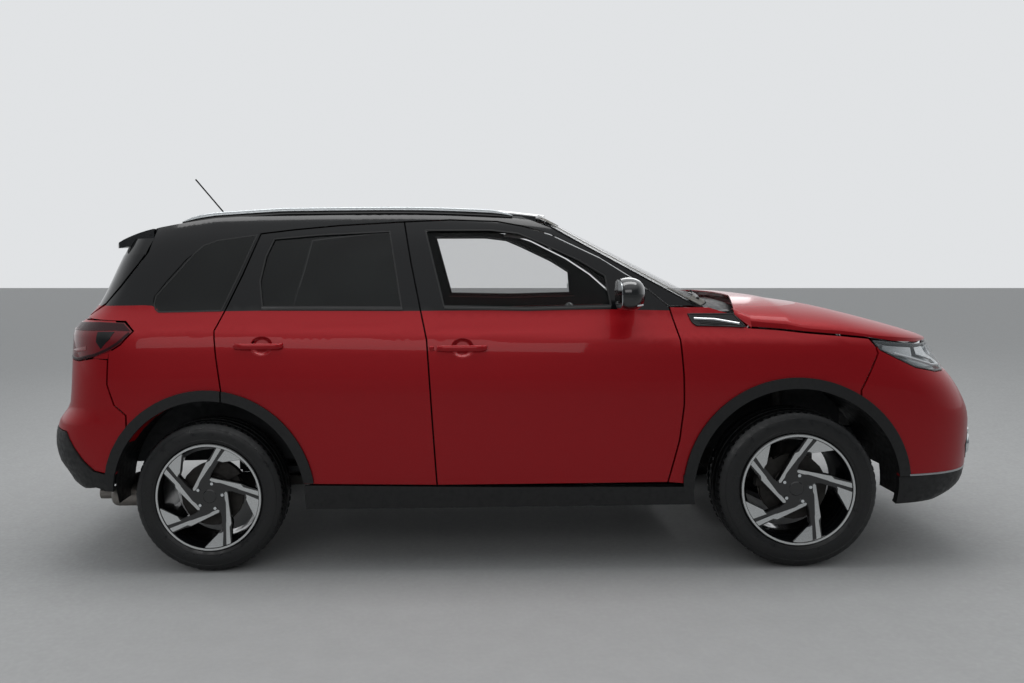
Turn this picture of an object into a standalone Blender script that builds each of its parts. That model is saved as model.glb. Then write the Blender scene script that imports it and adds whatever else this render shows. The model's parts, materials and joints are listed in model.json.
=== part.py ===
"""A compact sport utility vehicle with four hinged doors, a hood, a tailgate,
steered front wheels and free-running wheels, in metres, +X forward and +Z up.

The outer skin is one set of surfaces. Each panel is a trimmed region of it,
given depth inwards, so that neighbours share their shut lines.
"""

import math

import bmesh
import bpy
import numpy as np
from mathutils import Euler, Matrix
from mathutils.geometry import delaunay_2d_cdt

for old in list(bpy.data.objects):
    bpy.data.objects.remove(old)

# Driving sizes
WHEELBASE = 2.500
FRONT_OVERHANG = 0.865
REAR_OVERHANG = 0.820
BODY_WIDTH = 1.775
ROOF_HEIGHT = 1.575
BELT_HEIGHT = 1.100
GROUND_CLEARANCE = 0.185
FRONT_TRACK = 1.535
REAR_TRACK = 1.505
TYRE_RADIUS = 0.330
TYRE_WIDTH = 0.215
RIM_RADIUS = 0.2345
ARCH_GAP = 0.092
SHUT_GAP = 0.007
SEAT_GAP = 0.00027
THRUST_GAP = 0.00028
GLASS_GAP = 0.0006
GLASS_BITE = 0.003
CURVED_GLASS_GAP = 0.0016
FACET = 0.15

# Panel depths
SKIN_DEPTH = 0.009
PANEL_DEPTH = 0.022
BODY_SIDE_DEPTH = 0.045
DOOR_FRAME_DEPTH = 0.042
DOOR_TRIM_DEPTH = 0.090
ROOF_DEPTH = 0.022
GLASS_DEPTH = 0.004
FLANGE = 0.018
HOOD_DROP = 0.006
HOOD_LIP_DEPTH = 0.005
GLASS_LAP = 0.008
TRIM_MARGIN = 0.060

# Plan shape
PLAN_FRONT_CENTRE = 0.030
PLAN_CORNER_RADIUS = 0.880
BARREL_SHARE = 0.012
SHOULDER_TILT_SHARE = 0.040
LEAN_SHARE = 0.400
ROOF_ROUND_SHARE = 10.0
ROOF_PANEL_HALF_WIDTH = 0.545
ROOF_DITCH = 0.012

HALF_WIDTH = BODY_WIDTH / 2
LENGTH = WHEELBASE + FRONT_OVERHANG + REAR_OVERHANG
X_REAR_AXLE = REAR_OVERHANG - LENGTH / 2
X_FRONT_AXLE = X_REAR_AXLE + WHEELBASE
X_MIDDLE = X_REAR_AXLE + WHEELBASE / 2
X_PLAN_FRONT = X_FRONT_AXLE - PLAN_FRONT_CENTRE
X_PLAN_REAR = X_REAR_AXLE + PLAN_FRONT_CENTRE
QUARTER_TURN = math.pi / 2
FRONT_END = X_PLAN_FRONT + PLAN_CORNER_RADIUS * QUARTER_TURN
REAR_END = X_PLAN_REAR - PLAN_CORNER_RADIUS * QUARTER_TURN
RIGHT, LEFT = -1, 1
SIDES = ((RIGHT, "right"), (LEFT, "left"))

# Half width of the body side against height, in shares of the half width and roof height
WIDTH_HEIGHT_SHARES = (0.10, 0.17, 0.23, 0.34, 0.48, 0.58, 0.625, 0.655, 0.70, 0.73)
WIDTH_SHARES = (0.930, 0.950, 0.965, 0.980, 0.984, 0.972, 0.957, 0.925, 0.877, 0.853)

# Reach of the nose past the front axle against height, in shares of the overhang
NOSE_HEIGHT_SHARES = (0.12, 0.158, 0.178, 0.204, 0.234, 0.304, 0.369, 0.398, 0.439, 0.475, 0.51, 0.585, 0.64, 0.70)
NOSE_SHARES = (0.78, 0.854, 0.921, 0.965, 0.980, 0.992, 1.0, 0.992, 0.962, 0.925, 0.885, 0.840, 0.790, 0.74)
NOSE_POWER_HEIGHT_SHARES = (0.12, 0.47, 0.585, 0.70)
NOSE_POWER_SHARES = (4.8, 4.6, 3.6, 3.2)

# Reach of the tail past the rear axle against height
TAIL_HEIGHT_SHARES = (0.12, 0.209, 0.234, 0.262, 0.303, 0.352, 0.411, 0.439, 0.463, 0.57, 0.675, 0.712, 0.745, 0.895, 1.0)
TAIL_SHARES = (0.70, 0.807, 0.895, 0.93, 0.982, 1.0, 0.975, 0.93, 0.905, 0.886, 0.878, 0.80, 0.745, 0.610, 0.50)
TAIL_POWER = 4.6

# Roof height along the car, as (station, share of roof height)
ROOF_STATION_SHARES = (-0.90, -0.60, -0.36, -0.05, 0.15, 0.36, 0.50, 0.62, 0.75, 0.95)
ROOF_SHARES = (0.885, 0.935, 0.963, 0.985, 0.995, 1.0, 0.992, 0.972, 0.935, 0.86)

# Hood crown and hood edge heights along the car
HOOD_STATION_SHARES = (0.86, 0.96, 1.08, 1.25, 1.40, 1.52, 1.63, 1.75, 1.90, 2.0)
HOOD_CROWN_SHARES = (0.722, 0.717, 0.703, 0.687, 0.668, 0.652, 0.638, 0.622, 0.600, 0.585)
HOOD_EDGE_SHARES = (0.672, 0.646, 0.628, 0.619, 0.606, 0.599, 0.593, 0.588, 0.580, 0.575)
HOOD_ROLL_SHARE = 4.0
HOOD_EASE_SHARE = 0.62

# Shut lines in side view, as (station, share of roof height)
A_LINE_SHARES = ((0.803, 0.700), (0.807, 0.667), (0.814, 0.613), (0.8165, 0.52), (0.8155, 0.44), (0.807, 0.348), (0.787, 0.232))
B_LINE_SHARES = ((0.348, 0.957), (0.360, 0.84), (0.377, 0.702), (0.387, 0.629), (0.3908, 0.50), (0.393, 0.414), (0.398, 0.234))
C_LINE_SHARES = ((0.088, 0.935), (0.060, 0.82), (0.033, 0.722), (0.018, 0.668), (0.022, 0.60), (0.030, 0.505))
FRAME_LINE_SHARES = ((0.348, 0.957), (0.430, 0.959), (0.515, 0.950), (0.561, 0.934), (0.609, 0.908), (0.693, 0.838), (0.750, 0.776), (0.803, 0.700))
REAR_FRAME_LINE_SHARES = ((0.088, 0.935), (0.150, 0.944), (0.230, 0.952), (0.348, 0.957))
SILL_TOP_SHARES = ((0.10, 0.246), (0.398, 0.234), (0.90, 0.222))
FRONT_WINDOW_SHARES = ((0.384, 0.934), (0.502, 0.929), (0.552, 0.917), (0.590, 0.889), (0.658, 0.834), (0.700, 0.790), (0.706, 0.706), (0.560, 0.706), (0.416, 0.716))
REAR_WINDOW_SHARES = ((0.112, 0.922), (0.20, 0.930), (0.323, 0.934), (0.345, 0.716), (0.22, 0.722), (0.097, 0.727), (0.090, 0.80), (0.098, 0.87))
QUARTER_WINDOW_SHARES = ((0.062, 0.918), (0.009, 0.914), (-0.065, 0.899), (-0.140, 0.868), (-0.235, 0.810), (-0.300, 0.764), (-0.300, 0.746), (-0.250, 0.731), (0.010, 0.728), (0.040, 0.83))
HOOD_LINE_SHARES = ((0.803, 0.700), (0.87, 0.697), (0.912, 0.678), (0.931, 0.643), (0.98, 0.636), (1.08, 0.626), (1.25, 0.616), (1.365, 0.608))
FENDER_FRONT_SHARES = ((1.365, 0.602), (1.392, 0.585), (1.40, 0.565), (1.36, 0.525), (1.306, 0.47))
HEADLAMP_TOP_SHARES = ((1.375, 0.601), (1.50, 0.592), (1.63, 0.585))
HEADLAMP_FOOT_SHARES = ((1.70, 0.509), (1.586, 0.524), (1.50, 0.548), (1.414, 0.573))
TAIL_LAMP_TOP_SHARES = ((-0.392, 0.672), (-0.445, 0.693), (-0.60, 0.696), (-0.80, 0.694))
TAIL_LAMP_FOOT_SHARES = ((-0.72, 0.590), (-0.60, 0.603), (-0.52, 0.620), (-0.45, 0.641))
REAR_BUMPER_LINE_SHARES = ((-0.60, 0.600), (-0.522, 0.596), (-0.528, 0.527), (-0.49, 0.47), (-0.425, 0.441))
TAILGATE_LINE_SHARES = ((-0.364, 0.893), (-0.42, 0.852), (-0.51, 0.795), (-0.60, 0.745), (-0.74, 0.708))
LAMP_RECESS_SHARES = ((-0.60, 0.702), (-0.44, 0.698), (-0.385, 0.672), (-0.45, 0.636), (-0.52, 0.615))
TAILGATE_FACE_SHARES = ((0.70, 0.711), (0.575, 0.700), (0.555, 0.590), (0.640, 0.560), (0.660, 0.500), (0.630, 0.452))
TAIL_LAMP_FACE_SHARES = ((0.585, 0.688), (0.575, 0.598))
TAIL_GLASS_SHARES = ((0.60, 0.745), (0.615, 0.79), (0.575, 0.865), (0.54, 0.876))
HEADLAMP_FACE_SHARES = ((0.66, 0.502), (0.50, 0.512), (0.46, 0.540), (0.49, 0.570), (0.60, 0.580))
GRILLE_SHARES = ((0.43, 0.565), (0.44, 0.520), (0.40, 0.448), (0.30, 0.430))
INTAKE_SHARES = ((0.46, 0.350), (0.50, 0.262))
REAR_SKIRT_SHARES = ((-0.44, 0.272), (-0.535, 0.274), (-0.624, 0.283), (-0.688, 0.311), (-0.80, 0.39))
FRONT_SKIRT_SHARE = 0.236
FRONT_SKIRT_BOTTOM_SHARE = 0.160
SILL_BOTTOM_SHARE = 0.172


def at(station):
    """Place along the car of a station: 0 and 1 are the axles, -1 and 2 the ends."""
    if station < 0:
        return X_REAR_AXLE + station * REAR_OVERHANG
    if station > 1:
        return X_FRONT_AXLE + (station - 1) * FRONT_OVERHANG
    return X_REAR_AXLE + station * WHEELBASE


def side_view(shares):
    """Side-view points in metres from (station, height share) pairs."""
    return [(at(station), height * ROOF_HEIGHT) for station, height in shares]


def smooth(knots, values, where):
    """A smooth curve through the values that never overshoots them."""
    knots, values = np.asarray(knots, float), np.asarray(values, float)
    where = np.clip(where, knots[0], knots[-1])
    steps = np.diff(knots)
    slopes = np.diff(values) / steps
    tangents = np.zeros(len(knots))
    same = slopes[1:] * slopes[:-1] > 0
    both = np.where(same, slopes[1:] + slopes[:-1], 1)
    tangents[1:-1] = np.where(same, 2 * slopes[1:] * slopes[:-1] / both, 0)
    tangents[0], tangents[-1] = slopes[0], slopes[-1]
    left = np.clip(np.searchsorted(knots, where) - 1, 0, len(steps) - 1)
    t = (where - knots[left]) / steps[left]
    return (
        values[left] * (1 + 2 * t) * (1 - t) ** 2
        + values[left + 1] * t * t * (3 - 2 * t)
        + steps[left] * tangents[left] * t * (1 - t) ** 2
        + steps[left] * tangents[left + 1] * t * t * (t - 1)
    )


def stations_of(x):
    """Stations of places along the car."""
    rear = (x - X_REAR_AXLE) / REAR_OVERHANG
    front = 1 + (x - X_FRONT_AXLE) / FRONT_OVERHANG
    return np.where(x < X_REAR_AXLE, rear, np.where(x > X_FRONT_AXLE, front, (x - X_REAR_AXLE) / WHEELBASE))


def roof_top(x):
    return smooth(ROOF_STATION_SHARES, ROOF_SHARES, stations_of(x)) * ROOF_HEIGHT


def side_width(x, z):
    """Half width of the body side, before the ends close in."""
    inner = np.clip(x, X_PLAN_REAR, X_PLAN_FRONT)
    belt = BELT_HEIGHT - SHOULDER_TILT_SHARE * (inner - X_MIDDLE)
    level = z + SHOULDER_TILT_SHARE * (inner - X_MIDDLE) * np.clip(z / belt, 0, 1)
    base = smooth(WIDTH_HEIGHT_SHARES, WIDTH_SHARES, np.minimum(level, BELT_HEIGHT) / ROOF_HEIGHT)
    above = np.maximum(level - BELT_HEIGHT, 0)
    rise = np.clip(above / (roof_top(x) - BELT_HEIGHT), 0, 0.9999)
    barrel = 1 - BARREL_SHARE * ((inner - X_MIDDLE) / (WHEELBASE / 2)) ** 2
    lean = base * HALF_WIDTH * barrel - LEAN_SHARE * above
    return lean * (1 - rise**ROOF_ROUND_SHARE) ** (1 / ROOF_ROUND_SHARE)


def end_shape(x, z):
    """Reach and power of the plan curve that closes the nearer end at this height."""
    level = z / ROOF_HEIGHT
    nose = X_FRONT_AXLE - X_PLAN_FRONT + FRONT_OVERHANG * smooth(NOSE_HEIGHT_SHARES, NOSE_SHARES, level)
    tail = X_PLAN_REAR - X_REAR_AXLE + REAR_OVERHANG * smooth(TAIL_HEIGHT_SHARES, TAIL_SHARES, level)
    power = smooth(NOSE_POWER_HEIGHT_SHARES, NOSE_POWER_SHARES, level)
    ahead = x > X_MIDDLE
    return np.where(ahead, nose, tail), np.where(ahead, power, TAIL_POWER)


def past_middle(x):
    """How far a place is past the straight middle of the plan."""
    return np.maximum(np.maximum(x - X_PLAN_FRONT, X_PLAN_REAR - x), 0)


def half_width(x, z):
    """Half width of the outer skin at a place in side view."""
    reach, power = end_shape(x, z)
    closing = np.clip(past_middle(x) / reach, 0, 0.9999) ** power
    return side_width(x, z) * (1 - closing) ** (1 / power)


def girth_of(x, z):
    """Distance round the plan curve, which is x between the plan centres."""
    beyond = past_middle(x)
    turn = np.arctan2(beyond, half_width(x, z)) * PLAN_CORNER_RADIUS
    return np.where(x > X_MIDDLE, np.minimum(x, X_PLAN_FRONT) + turn, np.maximum(x, X_PLAN_REAR) - turn)


def wrap(girth, z):
    """(x, half width) at a distance round the plan curve."""
    ahead = girth > X_MIDDLE
    over = np.maximum(np.maximum(girth - X_PLAN_FRONT, X_PLAN_REAR - girth), 0)
    angle = np.clip(over / PLAN_CORNER_RADIUS, 0, QUARTER_TURN)
    inner = np.clip(girth, X_PLAN_REAR, X_PLAN_FRONT)
    reach, power = end_shape(girth, z)
    width = side_width(inner, z)
    radius = ((np.sin(angle) / reach) ** power + (np.cos(angle) / width) ** power) ** (-1 / power)
    return inner + np.where(ahead, 1, -1) * radius * np.sin(angle), radius * np.cos(angle)


PROUD_FROM_SHARE = 0.72


def wrapped(end, proud=0, sunk=0):
    """Surface of an end over (distance from its centre line, height), proud at the flanks, sunk in the middle."""

    def surface(points):
        girth = end + np.where(end > X_MIDDLE, -1, 1) * np.abs(points[:, 0])
        x, half = wrap(girth, points[:, 1])
        middle = X_PLAN_FRONT if end > X_MIDDLE else X_PLAN_REAR
        flank = np.sqrt(np.clip((half / HALF_WIDTH - PROUD_FROM_SHARE) / (1 - PROUD_FROM_SHARE), 0, 1))
        grown = 1 + (proud * flank - sunk * (1 - flank)) / np.hypot(x - middle, half)
        return np.stack([middle + (x - middle) * grown, np.sign(points[:, 0]) * half * grown, points[:, 1]], axis=1)

    return surface


def body_side(side, proud=0):
    """Surface of one flank over (x, z)."""

    def surface(points):
        half = half_width(points[:, 0], points[:, 1]) + proud
        return np.stack([points[:, 0], side * half, points[:, 1]], axis=1)

    return surface


def roof_surface(points):
    """Surface of the roof over (x, y)."""
    x, half = points[:, 0], np.abs(points[:, 1])
    low = np.full(len(points), BELT_HEIGHT + (ROOF_HEIGHT - BELT_HEIGHT) / 2)
    high = roof_top(x)
    for _ in range(40):
        middle = (low + high) / 2
        outside = side_width(x, middle) < half
        high = np.where(outside, middle, high)
        low = np.where(outside, low, middle)
    return np.stack([x, points[:, 1], low], axis=1)


def hood_edge(x):
    return smooth(HOOD_STATION_SHARES, HOOD_EDGE_SHARES, stations_of(x)) * ROOF_HEIGHT


def hood_surface(points):
    """Surface of the hood over (x, y): a crown that rolls down to its edge."""
    x, y = points[:, 0], points[:, 1]
    edge = hood_edge(x)
    reach, power = end_shape(x, edge)
    width = side_width(x, edge)
    ratio = (past_middle(x) / reach) ** power + (np.abs(y) / width) ** power
    rolled = np.clip(1 - ratio ** (HOOD_ROLL_SHARE / power), 0, 1) ** HOOD_EASE_SHARE
    crown = smooth(HOOD_STATION_SHARES, HOOD_CROWN_SHARES, stations_of(x)) * ROOF_HEIGHT
    return np.stack([x, y, edge + (crown - edge) * rolled], axis=1)


# Windshield
WINDSHIELD_FOOT = 1.055
WINDSHIELD_RAKE = math.radians(29)
WINDSHIELD_BOW = 0.250
WINDSHIELD_DEPTH = 0.006
WINDSHIELD_TOP_SHARE = 0.962


def windshield_surface(points):
    """Surface of the windshield over (y, z)."""
    y, z = points[:, 0], points[:, 1]
    x = X_MIDDLE + WINDSHIELD_FOOT + (BELT_HEIGHT - z) / math.tan(WINDSHIELD_RAKE)
    x = x - WINDSHIELD_BOW * y * y / HALF_WIDTH
    return np.stack([x, y, z], axis=1)


def deeper(surface, depth):
    """The surface set back along its inward normal."""

    def inner(points):
        step = SEAT_GAP
        along = surface(points + np.array([step, 0])) - surface(points - np.array([step, 0]))
        across = surface(points + np.array([0, step])) - surface(points - np.array([0, step]))
        normal = np.cross(along, across)
        normal /= np.linalg.norm(normal, axis=1, keepdims=True)
        place = surface(points)
        middle = np.array([X_MIDDLE, 0, ROOF_HEIGHT / 2])
        outward = np.sign(np.sum(normal * (place - middle), axis=1, keepdims=True))
        return place - outward * normal * depth

    return inner


def inwards(surface, depth, direction):
    """The surface moved by a depth in one fixed direction."""
    move = np.array(direction, float) * depth
    return lambda points: surface(points) + move


# Outlines and regions in a surface's own plane

def turned_left(points):
    """The loop with its inside on the left of its direction."""
    points = np.asarray(points, float)
    following = np.roll(points, -1, axis=0)
    area = np.sum(points[:, 0] * following[:, 1] - points[:, 1] * following[:, 0])
    return points if area > 0 else points[::-1]


def inset(points, distance):
    """The closed loop moved inwards, with mitred corners."""
    points = turned_left(points)
    before = points - np.roll(points, 1, axis=0)
    after = np.roll(points, -1, axis=0) - points
    before /= np.linalg.norm(before, axis=1, keepdims=True)
    after /= np.linalg.norm(after, axis=1, keepdims=True)
    normals = np.stack([-(before + after)[:, 1], (before + after)[:, 0]], axis=1)
    normals /= np.linalg.norm(normals, axis=1, keepdims=True)
    half_cos = np.maximum(normals @ np.array([0, 0]) + normals[:, 0] * -before[:, 1] + normals[:, 1] * before[:, 0], 0.5)
    return points + normals * (distance / half_cos)[:, None]


def divided(points, step):
    """The closed loop with no edge longer than the step."""
    points = np.asarray(points, float)
    parts = []
    for start, end in zip(points, np.roll(points, -1, axis=0)):
        count = max(1, math.ceil(np.linalg.norm(end - start) / step - 1e-9))
        parts += [start + (end - start) * i / count for i in range(count)]
    return np.array(parts)


def holds(loop, points):
    """Which points lie inside the closed loop."""
    inside = np.zeros(len(points), bool)
    for (ax, ay), (bx, by) in zip(loop, np.roll(loop, -1, axis=0)):
        if ay == by:
            continue
        crosses = (ay > points[:, 1]) != (by > points[:, 1])
        at_x = ax + (points[:, 1] - ay) * (bx - ax) / (by - ay)
        inside ^= crosses & (points[:, 0] < at_x)
    return inside


class Region:
    """An area of a plane: its boundary loops and a test of what it holds."""

    def __init__(self, loops, test):
        self.loops = loops
        self.test = test

    def __sub__(self, other):
        return Region(self.loops + other.loops, lambda p: self.test(p) & ~other.test(p))

    def __and__(self, other):
        return Region(self.loops + other.loops, lambda p: self.test(p) & other.test(p))

    def __or__(self, other):
        return Region(self.loops + other.loops, lambda p: self.test(p) | other.test(p))


def polygon(points, shrink=0):
    loop = inset(points, shrink) if shrink else turned_left(points)
    return Region([loop], lambda p: holds(loop, p))


def disc(centre, radius, count=40):
    angles = [2 * math.pi * i / count for i in range(count)]
    return polygon([(centre[0] + radius * math.cos(a), centre[1] + radius * math.sin(a)) for a in angles])


def rectangle(x0, x1, z0, z1):
    return polygon([(x0, z0), (x1, z0), (x1, z1), (x0, z1)])


def near_edges(points, starts, ends):
    """Distance of each point from the nearest edge."""
    edges = ends - starts
    lengths = np.maximum(np.sum(edges * edges, axis=1), 1e-18)
    along = np.clip(((points[:, None] - starts) * edges).sum(axis=2) / lengths, 0, 1)
    gaps = points[:, None] - starts - along[..., None] * edges
    return np.sqrt((gaps**2).sum(axis=2)).min(axis=1)


def triangulated(region, step):
    """Points and triangles that fill the region, with a lattice inside it."""
    loops = [divided(loop, step) for loop in region.loops]
    starts = np.concatenate(loops)
    ends = np.concatenate([np.roll(loop, -1, axis=0) for loop in loops])
    low, high = starts.min(axis=0), starts.max(axis=0)
    columns = np.arange(low[0] + step / 2, high[0], step)
    rows = np.arange(low[1] + step / 2, high[1], step)
    lattice = np.array([(x, z) for x in columns for z in rows]).reshape(-1, 2)
    lattice = lattice[region.test(lattice)]
    if len(lattice):
        lattice = lattice[near_edges(lattice, starts, ends) > step * 0.45]
    edges = []
    first = 0
    for loop in loops:
        count = len(loop)
        edges += [(first + i, first + (i + 1) % count) for i in range(count)]
        first += count
    points = [tuple(p) for p in np.concatenate([starts, lattice])]
    points, _, faces, *_ = delaunay_2d_cdt(points, edges, [], 0, 1e-7)
    points = np.array([tuple(p) for p in points])
    faces = np.array([tuple(face) for face in faces])
    return points, faces[region.test(points[faces].mean(axis=1))]


def rim_points(faces, edges_there=1):
    """Points where at least this many border edges of a set of triangles meet."""
    edges = np.sort(np.concatenate([faces[:, [0, 1]], faces[:, [1, 2]], faces[:, [2, 0]]]), axis=1)
    edges, counts = np.unique(edges, axis=0, return_counts=True)
    points, meeting = np.unique(edges[counts == 1], return_counts=True)
    return points[meeting >= edges_there]


# Solids

def stepped_slab(levels, front, backs, step):
    """A closed solid over nested regions, each set back to its own depth.

    levels[0] is the whole region. A later region lies inside the one before
    it, and its back lies deeper.
    """
    whole = levels[0]
    for inner in levels[1:]:
        whole = Region(whole.loops + inner.loops, whole.test)
    points, faces = triangulated(whole, step)
    centres = points[faces].mean(axis=1)
    level = np.zeros(len(faces), int)
    for number, inner in enumerate(levels[1:], 1):
        touching = np.isin(faces, rim_points(faces[level >= number - 1])).any(axis=1)
        level[inner.test(centres) & (level == number - 1) & ~touching] = number
        while len(pinched := rim_points(faces[level == number], 3)):
            level[(level == number) & np.isin(faces, pinched).any(axis=1)] = number - 1
    sheets = [front(points)] + [back(points) for back in backs]
    mesh = bmesh.new()
    made = {}

    def corner(point, sheet):
        if (point, sheet) not in made:
            made[point, sheet] = mesh.verts.new(sheets[sheet][point])
        return made[point, sheet]

    sides = {}
    for face, depth in zip(faces, level):
        a, b, c = (int(i) for i in face)
        mesh.faces.new([corner(i, 0) for i in (a, b, c)])
        mesh.faces.new([corner(i, depth + 1) for i in (c, b, a)])
        for start, end in ((a, b), (b, c), (c, a)):
            sides[start, end] = depth + 1
    for (start, end), depth in sides.items():
        other = sides.get((end, start), 0)
        if other < depth:
            mesh.faces.new([corner(start, other), corner(start, depth), corner(end, depth), corner(end, other)])
    return mesh


def material_of(name, colour, roughness, metallic=0.0):
    made = bpy.data.materials.get(name)
    if made is None:
        made = bpy.data.materials.new(name)
        made.use_nodes = True
        shader = made.node_tree.nodes["Principled BSDF"]
        shader.inputs["Base Color"].default_value = (*colour, 1)
        shader.inputs["Roughness"].default_value = roughness
        shader.inputs["Metallic"].default_value = metallic
        made.diffuse_color = (*colour, 1)
    return made


RED = ("red_paint", (0.33, 0.002, 0.008), 0.25)
BLACK_PAINT = ("black_paint", (0.012, 0.013, 0.015), 0.2)
CLADDING = ("grained_plastic", (0.02, 0.021, 0.022), 0.6)
LINER_PLASTIC = ("grained_plastic", (0.02, 0.021, 0.022), 0.6)
GLASS = ("window_glass", (0.02, 0.025, 0.026), 0.05)
LAMP = ("lamp_lens", (0.5, 0.5, 0.52), 0.08)
TAIL_LAMP = ("tail_lamp_lens", (0.12, 0.002, 0.006), 0.1)
STEEL = ("painted_steel", (0.03, 0.03, 0.032), 0.5)
ALLOY = ("cast_alloy", (0.45, 0.46, 0.47), 0.3, 0.9)
TYRE = ("tyre_rubber", (0.015, 0.015, 0.015), 0.8)
SATIN = ("satin_aluminium", (0.6, 0.61, 0.61), 0.35, 0.9)
TRIM = ("soft_trim", (0.03, 0.03, 0.032), 0.8)
IRON = ("cast_iron", (0.12, 0.12, 0.12), 0.6, 0.8)


def placed(name, mesh, material, pivot=(0, 0, 0)):
    """An object from a bmesh in world coordinates, with its origin at the pivot."""
    if mesh.calc_volume(signed=True) < 0:
        bmesh.ops.reverse_faces(mesh, faces=mesh.faces)
    bmesh.ops.translate(mesh, verts=mesh.verts, vec=[-c for c in pivot])
    data = bpy.data.meshes.new(name)
    mesh.to_mesh(data)
    mesh.free()
    data.shade_smooth()
    data.set_sharp_from_angle(angle=math.radians(35))
    made = bpy.data.objects.new(name, data)
    made.location = pivot
    bpy.context.scene.collection.objects.link(made)
    data.materials.append(material_of(*material))
    return made


def slab(name, region, front, back, material, step=FACET, pivot=(0, 0, 0)):
    return placed(name, stepped_slab([region], front, [back], step), material, pivot)


def box_mesh(low, high):
    mesh = bmesh.new()
    bmesh.ops.create_cube(mesh, size=1)
    size = [b - a for a, b in zip(low, high)]
    middle = [(a + b) / 2 for a, b in zip(low, high)]
    bmesh.ops.scale(mesh, verts=mesh.verts, vec=size)
    bmesh.ops.translate(mesh, verts=mesh.verts, vec=middle)
    return mesh


def prism_mesh(points, low, high, axis):
    """A closed outline in the two other axes, extruded along one axis."""
    points = turned_left(points)
    mesh = bmesh.new()
    rings = []
    for level in (low, high):
        ring = []
        for a, b in points:
            place = [a, b]
            place.insert(axis, level)
            ring.append(mesh.verts.new(place))
        rings.append(ring)
    mesh.faces.new(rings[0][::-1])
    mesh.faces.new(rings[1])
    count = len(points)
    for i in range(count):
        j = (i + 1) % count
        mesh.faces.new([rings[0][i], rings[0][j], rings[1][j], rings[1][i]])
    if mesh.calc_volume(signed=True) < 0:
        bmesh.ops.reverse_faces(mesh, faces=mesh.faces)
    return mesh


def turned_mesh(profile, segments):
    """A closed profile of (radius, distance along Y) turned about the Y axis."""
    mesh = bmesh.new()
    rings = []
    for i in range(segments):
        angle = 2 * math.pi * i / segments
        rings.append([mesh.verts.new((r * math.cos(angle), y, r * math.sin(angle))) for r, y in profile])
    count = len(profile)
    for i in range(segments):
        here, there = rings[i], rings[(i + 1) % segments]
        for j in range(count):
            k = (j + 1) % count
            mesh.faces.new([here[j], here[k], there[k], there[j]])
    if mesh.calc_volume(signed=True) < 0:
        bmesh.ops.reverse_faces(mesh, faces=mesh.faces)
    return mesh


def cylinder_mesh(centre, radius, low, high, axis, segments=24):
    angles = [2 * math.pi * i / segments for i in range(segments)]
    return prism_mesh([(centre[0] + radius * math.cos(a), centre[1] + radius * math.sin(a)) for a in angles], low, high, axis)


def helper(mesh):
    if mesh.calc_volume(signed=True) < 0:
        bmesh.ops.reverse_faces(mesh, faces=mesh.faces)
    data = bpy.data.meshes.new("helper")
    mesh.to_mesh(data)
    mesh.free()
    made = bpy.data.objects.new("helper", data)
    bpy.context.scene.collection.objects.link(made)
    made.hide_render = True
    made.display_type = "WIRE"
    return made


def combined(name, base, others, material, operations, pivot=(0, 0, 0)):
    """The base mesh joined with, or cut by, other meshes, as one object."""
    target = placed(name, base, material, pivot)
    tools = [helper(mesh) for mesh in others]
    for tool, operation in zip(tools, operations):
        modifier = target.modifiers.new(operation.lower(), "BOOLEAN")
        modifier.operation = operation
        modifier.solver = "EXACT"
        modifier.object = tool
    bpy.context.view_layer.update()
    graph = bpy.context.evaluated_depsgraph_get()
    result = bpy.data.meshes.new_from_object(target.evaluated_get(graph))
    target.modifiers.clear()
    target.data = result
    for tool in tools:
        bpy.data.objects.remove(tool)
    return target


def joined(name, meshes, material, pivot=(0, 0, 0), seats=(), gap=SEAT_GAP):
    """Meshes fused into one piece, then cut back so that each of the seats' pieces just fits."""
    grown = [fattened(seat, gap) for seat in seats]
    operations = ["UNION"] * (len(meshes) - 1) + ["DIFFERENCE"] * len(grown)
    return combined(name, meshes[0], meshes[1:] + grown, material, operations, pivot)


MOST_SHELL = 3.0


def fattened(name, gap):
    """A copy of a finished piece, grown by a small gap, that cuts its seat into a neighbour."""
    made = bpy.data.objects[name]
    mesh = bmesh.new()
    mesh.from_mesh(made.data)
    bmesh.ops.translate(mesh, verts=mesh.verts, vec=made.location)
    mesh.normal_update()
    moves = [(v, v.normal * gap * min(v.calc_shell_factor(), MOST_SHELL)) for v in mesh.verts]
    for vert, move in moves:
        vert.co += move
    return mesh


def line_x(line, height):
    """Place along the car of a side-view line at this height."""
    points = sorted((z, x) for x, z in line)
    return float(np.interp(height, [z for z, _ in points], [x for _, x in points]))


# Named lines and areas of the side view

ARCH_RADIUS = TYRE_RADIUS + ARCH_GAP
ARCH_TRIM_WIDTH = 0.046
ARCH_HEIGHT = TYRE_RADIUS - 0.008
WHEEL_CENTRES = {"rear": (X_REAR_AXLE, TYRE_RADIUS), "front": (X_FRONT_AXLE, TYRE_RADIUS)}
CLADDING_PROUD = 0.010
OVERRUN = 0.300


def arch(which, extra):
    """The wheel arch opening grown by an extra radius, as a disc."""
    return disc(WHEEL_CENTRES[which], ARCH_RADIUS + extra)


A_LINE = side_view(A_LINE_SHARES)
B_LINE = side_view(B_LINE_SHARES)
C_LINE = side_view(C_LINE_SHARES)
FRAME_LINE = side_view(FRAME_LINE_SHARES)
REAR_FRAME_LINE = side_view(REAR_FRAME_LINE_SHARES)
SILL_TOP = side_view(SILL_TOP_SHARES)
HALF_GAP = SHUT_GAP / 2


def sill_height(x):
    return np.interp(x, [p[0] for p in SILL_TOP], [p[1] for p in SILL_TOP])


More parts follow.
